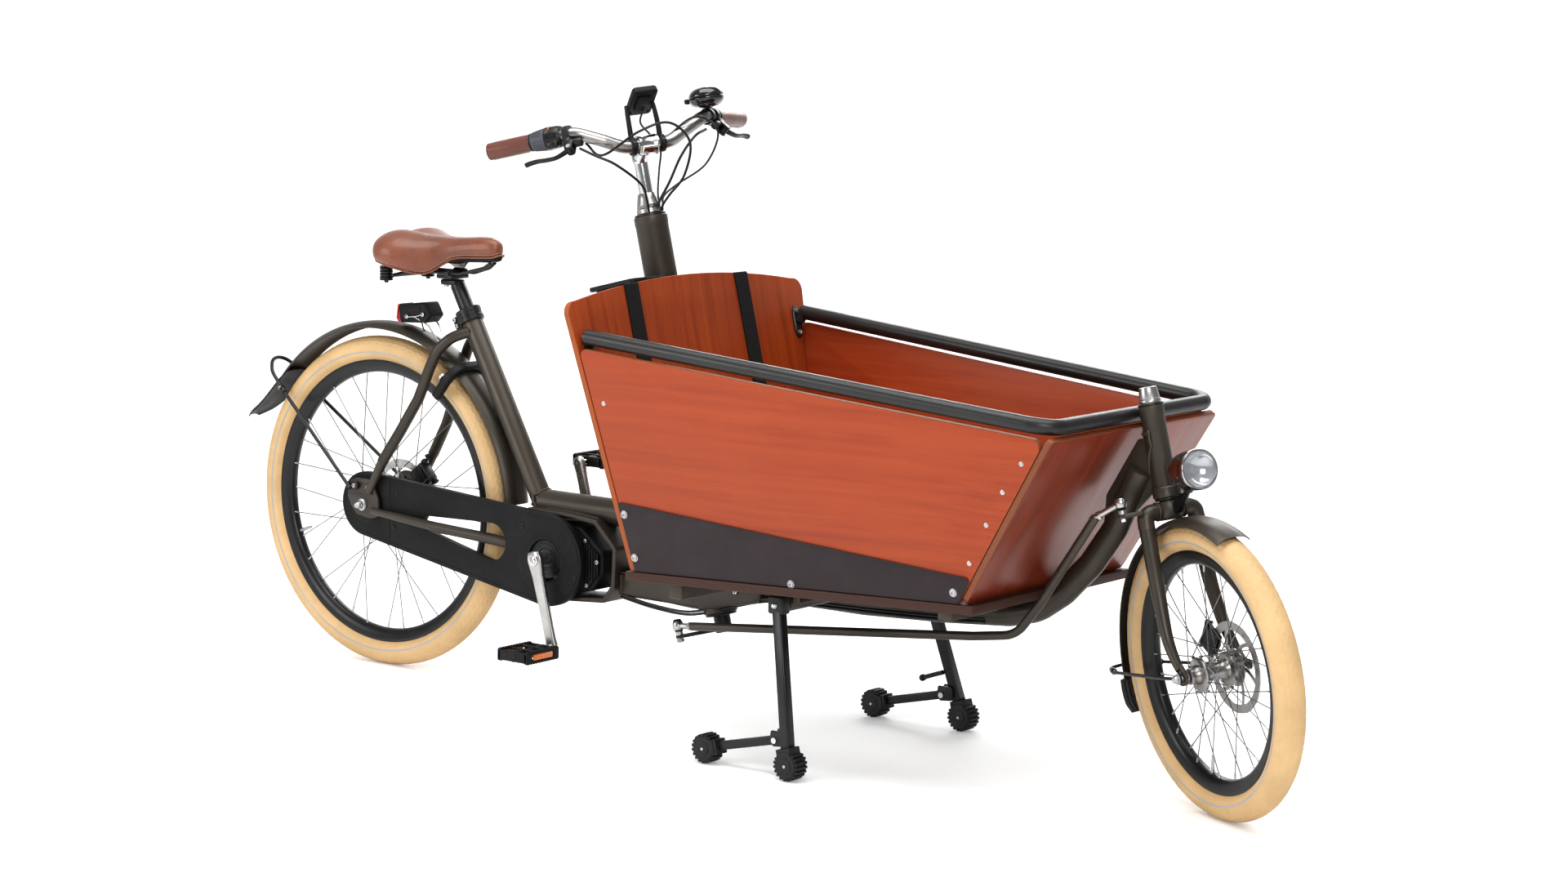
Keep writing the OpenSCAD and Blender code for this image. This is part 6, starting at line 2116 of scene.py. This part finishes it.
# cables from the bar down into the column: radius, then points
CABLES = [
    (2.5, [[60, -140, 138], [78, -118, 118], [84, -84, 96], [66, -34, 56], [36, -16, 28],
           [22, -10, 12], [19, -8, -6]]),
    (2.5, [[64, 116, 142], [92, 78, 128], [90, 44, 94], [66, 24, 54], [36, 13, 28],
           [21, 8, 12], [18, 6, -6]]),
    (2.4, [[24, -112, 150], [58, -96, 120], [98, -34, 150], [112, 24, 158], [104, 62, 118],
           [70, 54, 62], [34, 32, 32], [19, 20, 14], [14, 17, -6]]),
    (1.8, [[40, 10, 200], [18, 6, 176], [10, 26, 150], [24, 34, 120], [26, 24, 84],
           [20, 16, 44], [18, 15, 20], [16, 14, -6]]),
    (1.9, [[34, 30, 128], [60, 96, 168], [40, 150, 140], [10, 128, 84], [6, 62, 52],
           [12, 30, 34], [16, 22, 16], [13, 20, -6]]),
]
part = Part("cable_runs", "cable_rubber", "handlebar", "control_cables")
for radius, points in CABLES:
    part.add(tube(spline(points, 12), radius, 14), STEERED)
part.done()
part = Part("column_collar", "aluminium", "handlebar")
part.add(ring([(13.1, 20.2), (21.6, 20.6), (22.2, 21.6), (21.8, 23.0), (19.0, 34.0),
               (17.2, 42.0), (16.2, 43.6), (14.6, 44.0), (13.1, 44.0)], 56), STEERED).done()

# ================================================================ steering rod
rear_joint = point(STEERED, (ARM_X, ARM_Y, -767))
front_joint = point(FORK, (ARM_X, ARM_Y, -153))
y = rear_joint[1]
path = round_path([[rear_joint[0] + 34, y, rear_joint[2] + 3], [1055, y, 219],
                   [1498, y - 6, 266], [1592, y - 12, 281], [1644, y - 18, 344],
                   [front_joint[0] - 40, y - 13.2, 506]], 70, 8)
Part("steering_rod", "frame_paint", "tie_rod", "tie_rod").add(tube(path, 8, 28)).done()
ends = Part("rod_ends", "aluminium", "tie_rod")
boots = Part("rod_boots", "black_rubber", "tie_rod")
for joint, tip in ((rear_joint, path[0]), (front_joint, path[-1])):
    along = (tip - joint) / np.linalg.norm(tip - joint)
    ends.add(tube([joint + along * 9, tip + along * 10], 5.4, 24))
    ends.add(nut(8.2, 6.0), frame_along(tip - along * 9, along))
    place = move(*joint) @ turn("Y", -TILT)
    ends.add(ring(mirrored([(4.7, -7.4), (8.4, -7.8), (10.2, -5), (10.6, 0)]), 40), place)
    for up in (-1, 1):
        profile = [(4.8, 7.6), (8.0, 7.9), (8.6, 8.6), (7.4, 9.4), (8.0, 10.2), (6.6, 11.0),
                   (7.0, 11.8), (4.8, 12.4)]
        boots.add(ring([(r, up * z) for r, z in profile], 32), place)
ends.done()
boots.done()

# ================================================================ fork
# middle of the left blade
BLADE = [(0, 49.2, -186), (1, 50.4, -240), (2.5, 51.4, -300), (7.5, 54, -346),
         (16, 57.4, -392), (30, 59.4, -424), (44, 60, -447)]
part = Part("fork_body", "frame_paint", "fork", "fork")
part.add(lathe([(0, -190), (14.2, -190), (14.2, 4), (13.4, 5.4), (0, 5.4)], 48), FORK)
part.add(lathe([(0, -196), (20, -196), (24, -190), (24, -168.5), (22.6, -164.4), (0, -164.2)],
               56), FORK)
# crown bridge that drops into the shoulders
crown = across([(0.5, -50.5, -205), (0, -48.5, -184), (0, -38, -179.5)])
part.add(tube(round_path(crown, [0, 14, 10, 10, 14, 0], 6), 14.4, 36), FORK)
for side in SIDES:
    path = spline([(x, side * y, z) for x, y, z in BLADE], 8)
    radii = np.interp(np.linspace(0, 1, len(path)), [0, 0.35, 0.7, 1], [14.4, 12.8, 10.2, 7.6])
    part.add(tube(path, radii, 36), FORK)
    tip = round_outline([[-14, -10], [-4, -14], [9, -12], [14, 0], [9, 12], [-1, 24],
                         [-12, 20]], 6, 5)
    part.add(prism([tip, circle(4.7, 28)], -3, 3, 1.0, 2),
             FORK @ move(AXLE_LEAD, side * 60, AXLE_Z) @ SIDE_MIRROR)
    part.add(sleeve(2.6, 5.8, -2.5, 2.5, 0.4, 24, rise=0.7),
             FORK @ move(36, side * 63, -432) @ ACROSS)
arm = round_outline([[-16, -56], *ARM_END, [14, -56]], [4, 8, 10, 8, 4], 5)
part.add(prism([arm], -180, -172.2, 1.6, 3), FORK)
part.done()
part = Part("fork_ball_stud", "zinc_steel", "fork")
part.add(lathe([(0, -186), (4.6, -186), (4.6, -180.2), (7, -180), (7.2, -172), (6.8, -166),
                (3.8, -165), (3.8, -143), (3, -142), (0, -142)], 28),
         FORK @ move(ARM_X, ARM_Y, 0))
part.add(nut(7.2, 5.4), FORK @ move(ARM_X, ARM_Y, -185.8))
part.done()
part = Part("fork_lock_cap", "aluminium", "fork")
part.add(lathe([(0, 5.6), (18.9, 5.6), (19.2, 6.4), (19.0, 9.5), (18.4, 10.2), (15.9, 29.0),
                (15.2, 31.6), (13.4, 32.8), (0, 33.0)], 64), FORK)
part.add(ring([(15.2, 12.0), (18.7, 12.0), (18.9, 12.5), (18.7, 13.0), (15.2, 13.0)], 64), FORK)
part.done()
part = Part("fork_welds", "frame_paint", "fork", sharp=80)
for side in SIDES:
    part.add(bead([[14.6 * cos(t), side * 25.5, -179.5 + 14.6 * sin(t)]
                   for t in np.linspace(0, 2 * pi, 60)[:-1]], 2.0), FORK)
part.done()

# ================================================================ headlight
LIGHT = FORK @ move(0, 0, -119) @ turn("Y", 90)
# (radius, distance forward): bowl, rim, then the reflector back inside
BOWL = [
    (0.01, 48), (6, 48.3), (12, 49.4), (18, 52), (23.5, 56.6), (27.6, 63), (30.6, 71),
    (32.8, 81), (34, 92), (34.6, 104), (34.6, 112), (35, 112.6), (35, 123.6), (34.2, 125),
    (31.6, 125.4), (31.2, 123.2), (28, 118), (20, 110), (10, 105), (0.01, 103.6)]
Part("headlight_bowl", "chrome", "fork", "headlight").add(revolve(BOWL, 72), LIGHT).done()
Part("headlight_lens", "clear_lens", "fork").add(lathe([
    (0.01, 122.4), (31.1, 121.6), (31.1, 123.4), (24, 125), (12, 126.2), (0.01, 126.6)], 64),
    LIGHT).done()
Part("headlight_lamp", "grey_plastic", "fork").add(lathe([
    (0.01, 103.4), (7, 103.6), (7, 110), (5, 113), (0.01, 114)], 32), LIGHT).done()
part = Part("headlight_bracket", "black_metal", "fork")
part.add(prism([round_outline([[20, -186], [31, -187], [72, -156], [74, -150], [66, -146],
                               [22, -170]], 4, 4)], -5.5, 5.5, 1.4, 3), FORK @ SIDE_VIEW)
part.add(pin(6, 9, 0.6, 28), FORK @ move(69, 0, -151) @ ACROSS)
part.add(tube(spline([(48, 4, -119), (34, 8, -128), (26, 10, -150), (24, 10, -172)], 8),
              1.8, 12), FORK)
part.done()
bolts = Part("headlight_bolts", "zinc_steel", "fork")
for side in SIDES:
    bolts.add(cap_screw(4, 3.4), FORK @ move(69, side * 9, -151) @ facing(side))
bolts.done()

# ================================================================ cranks
CRANK_LENGTH = 172
# distance along the arm, half width, half thickness
ARM_STATIONS = [
    (-17.5, 6.5, 4.6), (-15.5, 12.5, 6.4), (-9, 16.4, 7.2), (0, 17.6, 7.4), (12, 16.2, 7.0),
    (30, 13.6, 6.2), (80, 12.2, 5.6), (130, 11.6, 5.4), (154, 11.8, 5.8), (166, 13.0, 6.6),
    (174, 12.8, 6.6), (181, 9.2, 6.0), (184.5, 4.6, 4.6)]


def crank_direction(side):
    """The right arm points against the crank angle's mirror, opposite to the left one."""
    a = radians(CRANK_ANGLE)
    return np.array([-side * cos(a), 0, -side * sin(a)])


def crank_end(side):
    return CRANK_CENTRE + CRANK_LENGTH * crank_direction(side)


part = Part("crank_arms", "aluminium", "crank_set", "crank_set")
part.add(lathe(mirrored([(0, -94), (11, -94), (12, -92), (12, -46), (11.9, 0)]), 40),
         CRANK @ ACROSS)
a = np.arange(28) * 2 * pi / 28
wide = np.sign(np.cos(a)) * np.abs(np.cos(a)) ** 0.55
thick = np.sign(np.sin(a)) * np.abs(np.sin(a)) ** 0.55
for side in SIDES:
    along = crank_direction(side)
    crosswise = np.array([-along[2], 0, along[0]])
    hub = CRANK_CENTRE + [0, side * 89.0, 0]
    part.add(loft([hub + along * distance + (half * wide)[:, None] * crosswise
                   + (depth * thick)[:, None] * np.array([0, 1.0, 0])
                   for distance, half, depth in ARM_STATIONS]))
part.done()
bolts = Part("crank_bolts", "chrome", "crank_set")
for side in SIDES:
    place = CRANK @ move(0, side * 96.0, 0) @ facing(side)
    bolts.add(ring([(6.2, 0), (11.4, 0), (12, 0.6), (11.4, 1.8), (6.2, 2.2)], 36), place)
    bolts.add(cap_screw(7.6, 3.6, 0.56), place)
    # pedal axle
    x, _, z = crank_end(side)
    profile = [(0, 94), (7.4, 94), (7.4, 99), (6.4, 100), (5.5, 101), (5.5, 195), (0, 196)]
    bolts.add(lathe([(r, side * y) for r, y in profile], 28), move(x, 0, z) @ ACROSS)
    bolts.add(ring([(3.0, 0), (6.8, 0), (7.2, 0.5), (7.2, 1.0), (3.0, 1.0)], 28),
              move(x, side * 82.6, z) @ facing(-side))
bolts.done()
RING = CRANK @ SIDE_VIEW
part = Part("chainring_toothed", "black_metal", "crank_set", slot="chrome", sharp=30)
part.add(prism([gear(RING_TEETH, ring_radius), *ring_holes(4.2, 12, 16, 62), circle(50, 72)],
               52.8, 55.2, 0.35, 1), RING)
spider = round_outline([[10, -13], [52, -8], [57, -6], [57, 6], [52, 8], [10, 13]],
                       [2, 6, 3, 3, 6, 2], 4)
for i in range(5):
    part.add(prism([spider], 52.6, 56.6, 0.8, 2), RING @ turn("Z", i * 72 + 20))
part.add(sleeve(12.1, 20, 51, 59, 1, 48), RING)
part.done()
part = Part("chainring_cover", "black_metal", "crank_set")
part.add(ring([(20.2, 57.0), (38.6, 57.0), (39.2, 57.6), (39.0, 58.4), (35.2, 58.8),
               (34.6, 60.0), (31.4, 60.4), (30.8, 59.6), (29.6, 59.6), (29.0, 60.6),
               (24.4, 61.2), (23.8, 60.4), (20.2, 60.4)], 72), RING).done()
bolts = Part("chainring_bolts", "chrome", "crank_set")
for i in range(5):
    bolts.add(cap_screw(4.2, 2.4), RING @ turn("Z", i * 72 + 20) @ move(53, 0, 56.4))
bolts.done()

# ================================================================ pedals
for side, name in NAMED_SIDES:
    x, _, z = crank_end(side)
    place = move(x, side * 158, z)
    body = "pedal_" + name
    part = Part("pedal_cage_" + name, "black_plastic", body, body)
    for end in (-1, 1):  # front and rear plates with tread bars
        part.add(prism([rect(-46, -12, 46, 12, 3.4, 4), rect(-30, -6.5, 30, 6.5, 2.5, 4)],
                       -4, 4, 1.4, 3), place @ move(end * 34, 0, 0) @ END_VIEW)
        for y in np.linspace(-40, 40, 11):
            for z in (-11.8, 11.8):
                part.add(block(6.4, 3.6, 1.9, 0.6, 2), place @ move(end * 34, y, z))
    for y in (-43, 43):
        part.add(prism([rect(-36, -10, 36, 10, 4, 4)], -3, 3, 1.3, 3),
                 place @ move(0, y, 0) @ SIDE_VIEW)
    part.add(ring(mirrored([(5.7, -45), (10.2, -45), (11, -44), (11, -30), (9.4, -24),
                            (9.0, 0)]), 36), place @ ACROSS)
    for y in (-16, 16):
        for z in (-8.6, 8.6):
            part.add(block(58, 7, 4.2, 1.4, 3), place @ move(0, y, z))
    profile = [(0, 44.2), (9.6, 44.2), (10, 45), (9, 47), (0, 47.4)]
    part.add(lathe([(r, side * y) for r, y in profile], 32), place @ ACROSS)
    part.done()
    part = Part("pedal_reflectors_" + name, "orange_reflector", body)
    for end in (-1, 1):
        part.add(prism([rect(-27, -5.6, 27, 5.6, 2.2, 4)], -1.2, 1.2, 0.6, 2),
                 place @ move(end * 37.2, 0, 0) @ END_VIEW)
    part.done()

# ================================================================ stand and foot bars
FOOT_BAR_Y = 257
part = Part("stand_legs", "black_metal", "stand", "stand")
part.add(pin(10, 233, 1, 36), move(1176, 0, 300) @ ACROSS)
bracket = round_outline([[1230, 84], [1197, 84], [1195, 64], [1203, 55], [1230, 58]], 4, 4)
for side in SIDES:
    start, end = np.array([1175.5, side * 222, 304.0]), np.array([1235, side * 266, 50.0])
    length = np.linalg.norm(end - start)
    part.add(prism([rect(-10, -10, 10, 10, 3.2, 5)], -12, length - 2, 1.2, 2),
             frame_along(start, (end - start) / length, (1, 0, 0.234)))
    part.add(block(34, 26, 34, 5, 3), move(1176, side * 222, 301))
    for offset in (-11, 8.5):
        y = side * FOOT_BAR_Y + offset
        part.add(prism([bracket], -(y + 2.5), -y, 0.6, 2), SIDE_VIEW)
# bent arm with a knob on the left leg
part.add(tube([(1210, 244, 111), (1190, 246.2, 104), (1157, 250, 92)], 4.5, 20))
part.add(lathe([(0, 0), (6.2, 0.4), (6.6, 2), (6.6, 6), (5.6, 8), (0, 8.6)], 28),
         frame_along((1163, 249.3, 94.2), (-53, 6, -19)))
part.done()
bolts = Part("stand_bolts", "chrome", "stand")
for side in SIDES:
    bolts.add(acorn_nut(6.6, 7), move(1176, side * 234.5, 301) @ facing(side))
    bolts.add(disc(9, 1.2, 0.4), move(1176, side * 233.6, 301) @ facing(side))
    bolts.add(lathe(mirrored([(0, -13), (5.4, -13), (5.4, -11.2), (4, -11.1)]), 24),
              move(1205, side * FOOT_BAR_Y, 66) @ ACROSS)
    bolts.add(dome_screw(4.6, 2.6), frame_along((1186.5, side * 229, 255), (0.97, 0, 0.23)))
bolts.done()


def foot_outline(centre, radius, neck, half_neck, depth):
    """Toothed round with a plain neck towards the unit vector `neck`."""
    x, z = neck
    heading = atan2(z, x)
    half = asin(min(0.95, half_neck / radius)) + 0.12
    steps = 15 * 6
    points = []
    for k in range(steps + 1):
        t = half + (2 * pi - 2 * half) * k / steps
        fade = min(1.0, 8 * min(t - half, 2 * pi - half - t))
        tooth = 1 if 0.16 < (k % 6) / 6.0 < 0.68 else 0
        r = radius - depth + depth * fade * tooth
        points.append([centre[0] + r * cos(heading + t), centre[1] + r * sin(heading + t)])
    reach = radius * 1.14
    for offset in (-half_neck, half_neck):
        points.append([centre[0] + x * reach - z * offset, centre[1] + z * reach + x * offset])
    return points


def add_foot(rubbers, pins, centre, radius, neck, half_neck, y, half_width):
    rubbers.add(prism([foot_outline(centre, radius, neck, half_neck, 3.4)],
                      -y - half_width, -y + half_width, 1.2, 2), SIDE_VIEW)
    rubbers.add(prism([foot_outline(centre, radius - 5.0, neck, half_neck - 2.0, 0.0)],
                      -y - half_width - 2.2, -y + half_width + 2.2, 1.6, 3), SIDE_VIEW)
    for side in SIDES:
        rubbers.add(disc(radius * 0.52, 1.2, 0.5),
                    move(centre[0], y + side * (half_width + 2.0), centre[1]) @ facing(side))
        pins.add(lathe([(0, 0), (2.9, 0), (2.9, 0.9), (2.2, 1.6), (0, 1.8)], 20),
                 move(centre[0], y + side * (half_width + 2.9), centre[1]) @ facing(side))


rubbers = Part("stand_feet", "black_rubber", "stand", sharp=30)
pins = Part("stand_foot_pins", "zinc_steel", "stand")
for side in SIDES:
    add_foot(rubbers, pins, (1242.2, 27.4), 27.0, (-0.234, 0.972), 15.2, side * 268, 15.5)
rubbers.done()
pins.done()
part = Part("foot_bar_arms", "black_metal", "foot_bars", "foot_bars")
pins = Part("foot_bar_pins", "zinc_steel", "foot_bars")
rubbers = Part("foot_bar_rubbers", "black_rubber", "foot_bars", sharp=30)
for side in SIDES:
    y = side * FOOT_BAR_Y
    part.add(sleeve(4.1, 8.5, -8, 8, 0.7, 32, rise=0.8), move(1205, y, 66) @ ACROSS)
    start, end = np.array([1203, y, 66.0]), np.array([1060, y, 32.0])
    length = np.linalg.norm(end - start)
    part.add(prism([rect(-8, -8, 8, 8, 2.6, 5)], 7, length, 1, 2),
             frame_along(start, (end - start) / length, (0, 1, 0)))
    add_foot(rubbers, pins, (1047.0, 27.6), 26.8, (0.974, 0.225), 13.5, y, 15.0)
part.done()
rubbers.done()
pins.done()

# cables under the frame: x, share of the cable's y, z
CABLE_LINE = [(640, 0.8, 226), (720, 1, 217), (800, 1.1, 214), (850, 1, 222), (910, 0.8, 240),
              (1000, 0.75, 262), (1120, 0.75, 268), (1250, 0.75, 272), (1400, 0.75, 279),
              (1480, 0.7, 286)]
part = Part("frame_cables", "cable_rubber", "frame")
for y, lift, radius in ((-27, -6, 2.6), (-30, 0, 2.4), (28, -4, 2.6)):
    part.add(tube(spline([(x, y * share, z + lift) for x, share, z in CABLE_LINE], 10),
                  radius, 12))
part.done()

# ================================================================ stage (metres)
CAMERA_AZIMUTH, CAMERA_ELEVATION, CAMERA_ROLL = radians(37.484), radians(7.946), radians(0.938)
CAMERA_PLACE = (4.9144, -5.0900, 1.4508)
backward = Vector((sin(CAMERA_AZIMUTH) * cos(CAMERA_ELEVATION),
                   -cos(CAMERA_AZIMUTH) * cos(CAMERA_ELEVATION), sin(CAMERA_ELEVATION)))
level = Vector((0, 0, 1)).cross(backward).normalized()
upright = backward.cross(level)
camera_right = level * cos(CAMERA_ROLL) + upright * sin(CAMERA_ROLL)
camera_up = -level * sin(CAMERA_ROLL) + upright * cos(CAMERA_ROLL)


def make_sweep_material():
    nodes = Nodes("studio_floor", Specular_IOR_Level=0.3)
    nodes.set(
        Base_Color=nodes.mix(nodes.fade(nodes.noise(scale=1.2, detail=4), span=(0.3, 0.7)),
                             (0.90, 0.90, 0.897), (0.93, 0.93, 0.927)),
        Roughness=0.6,
        Normal=nodes.bump(nodes.noise(scale=300, detail=3), strength=0.02, distance=0.0004),
        Emission_Color=(1, 1, 1),
        # a slight glow, for the camera only
        Emission_Strength=nodes.fade(nodes.node("LightPath"), span=(0, 1), to=(0, 0.16)))
    # clear from its rear side, so that the bicycle can be looked at from all round
    tree = nodes.tree
    output = [node for node in tree.nodes if node.type == "OUTPUT_MATERIAL"][0]
    mixer = tree.nodes.new("ShaderNodeMixShader")
    clear = tree.nodes.new("ShaderNodeBsdfTransparent")
    geometry = tree.nodes.new("ShaderNodeNewGeometry")
    tree.links.new(geometry.outputs["Backfacing"], mixer.inputs[0])
    tree.links.new(nodes.shader.outputs[0], mixer.inputs[1])
    tree.links.new(clear.outputs[0], mixer.inputs[2])
    tree.links.new(mixer.outputs[0], output.inputs["Surface"])


def make_sweep():
    """Floor that curves up behind the bicycle, along the camera's direction."""
    centre = Vector((0.95, 0, 0))
    away = Vector((-backward.x, -backward.y, 0)).normalized()
    sideways = Vector((away.y, -away.x, 0))
    half_width, bend, bend_start = 9.0, 3.0, 3.2
    profile = [(-9.0, 0.0), (bend_start, 0.0)]
    profile += [(bend_start + bend * sin(t), bend * (1 - cos(t)))
                for t in np.linspace(0.1, pi / 2, 14)]
    profile.append((bend_start + bend, 7.0))
    vertices = []
    for distance, z in profile:
        for side in SIDES:
            p = centre + away * distance + sideways * (half_width * side)
            vertices.append((p.x, p.y, z - 0.0006))
    faces = [(2 * i, 2 * i + 1, 2 * i + 3, 2 * i + 2) for i in range(len(profile) - 1)]
    mesh = bpy.data.meshes.new("studio_sweep")
    mesh.from_pydata(vertices, [], faces)
    mesh.polygons.foreach_set("use_smooth", [True] * len(mesh.polygons))
    mesh.materials.append(MATERIALS["studio_floor"])
    thing = bpy.data.objects.new("studio_sweep", mesh)
    SCENE.collection.objects.link(thing)
    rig.stage(thing)


def make_world():
    """White surroundings, dimmer for reflections and brighter for the camera."""
    diffuse_strength, glossy_strength, camera_strength = 0.50, 0.26, 0.96
    world = bpy.data.worlds.new("studio")
    SCENE.world = world
    world.use_nodes = True
    tree = world.node_tree
    background = tree.nodes["Background"]
    background.inputs[0].default_value = (1, 1, 1, 1)
    rays = tree.nodes.new("ShaderNodeLightPath")
    glossy = tree.nodes.new("ShaderNodeMapRange")
    glossy.inputs["To Min"].default_value = diffuse_strength
    glossy.inputs["To Max"].default_value = glossy_strength
    tree.links.new(rays.outputs["Is Glossy Ray"], glossy.inputs["Value"])
    seen = tree.nodes.new("ShaderNodeMapRange")
    seen.inputs["To Max"].default_value = camera_strength
    tree.links.new(rays.outputs["Is Camera Ray"], seen.inputs["Value"])
    tree.links.new(glossy.outputs["Result"], seen.inputs["To Min"])
    tree.links.new(seen.outputs["Result"], background.inputs[1])


def area_light(name, place, target, size, power):
    light = bpy.data.lights.new(name, "AREA")
    light.shape = "RECTANGLE"
    light.size, light.size_y = size
    light.energy = power
    light.color = (1, 1, 1)
    thing = bpy.data.objects.new(name, light)
    SCENE.collection.objects.link(thing)
    thing.location = place
    direction = Vector(target) - Vector(place)
    thing.rotation_euler = direction.to_track_quat("-Z", "Y").to_euler()


def make_camera():
    camera = bpy.data.cameras.new("cam")
    camera.sensor_width = 36
    camera.lens = 80.655
    camera.clip_start, camera.clip_end = 0.1, 60
    thing = bpy.data.objects.new("cam", camera)
    SCENE.collection.objects.link(thing)
    axes = (camera_right, camera_up, backward, CAMERA_PLACE)
    thing.matrix_world = Matrix([[axis[i] for axis in axes] for i in range(3)] + [(0, 0, 0, 1)])
    SCENE.camera = thing


make_sweep_material()
make_sweep()
make_world()
area_light("key_top", place=(1.2, -0.6, 4.2), target=(0.95, 0, 0.4), size=(4.5, 3.0), power=150)
area_light("key_front", place=(4.6, -3.4, 2.6), target=(1.1, 0, 0.5), size=(2.2, 2.2), power=90)
area_light("fill_side", place=(-1.8, -4.4, 1.9), target=(0.7, 0, 0.5), size=(2.4, 2.0), power=70)
area_light("rim_back", place=(-0.6, 3.6, 2.8), target=(0.9, 0, 0.5), size=(3.0, 1.6), power=60)
make_camera()
SCENE.view_settings.view_transform = "Standard"
# guards against a colour configuration that has no look of this name
try:
    SCENE.view_settings.look = "Medium High Contrast"
except TypeError:
    pass

FINISHED_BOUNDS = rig.bounds()
json.dump({"loaded": [list(map(float, q)) for q in LOADED_BOUNDS],
           "finished": [list(map(float, q)) for q in FINISHED_BOUNDS]},
          open("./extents.json", "w"))
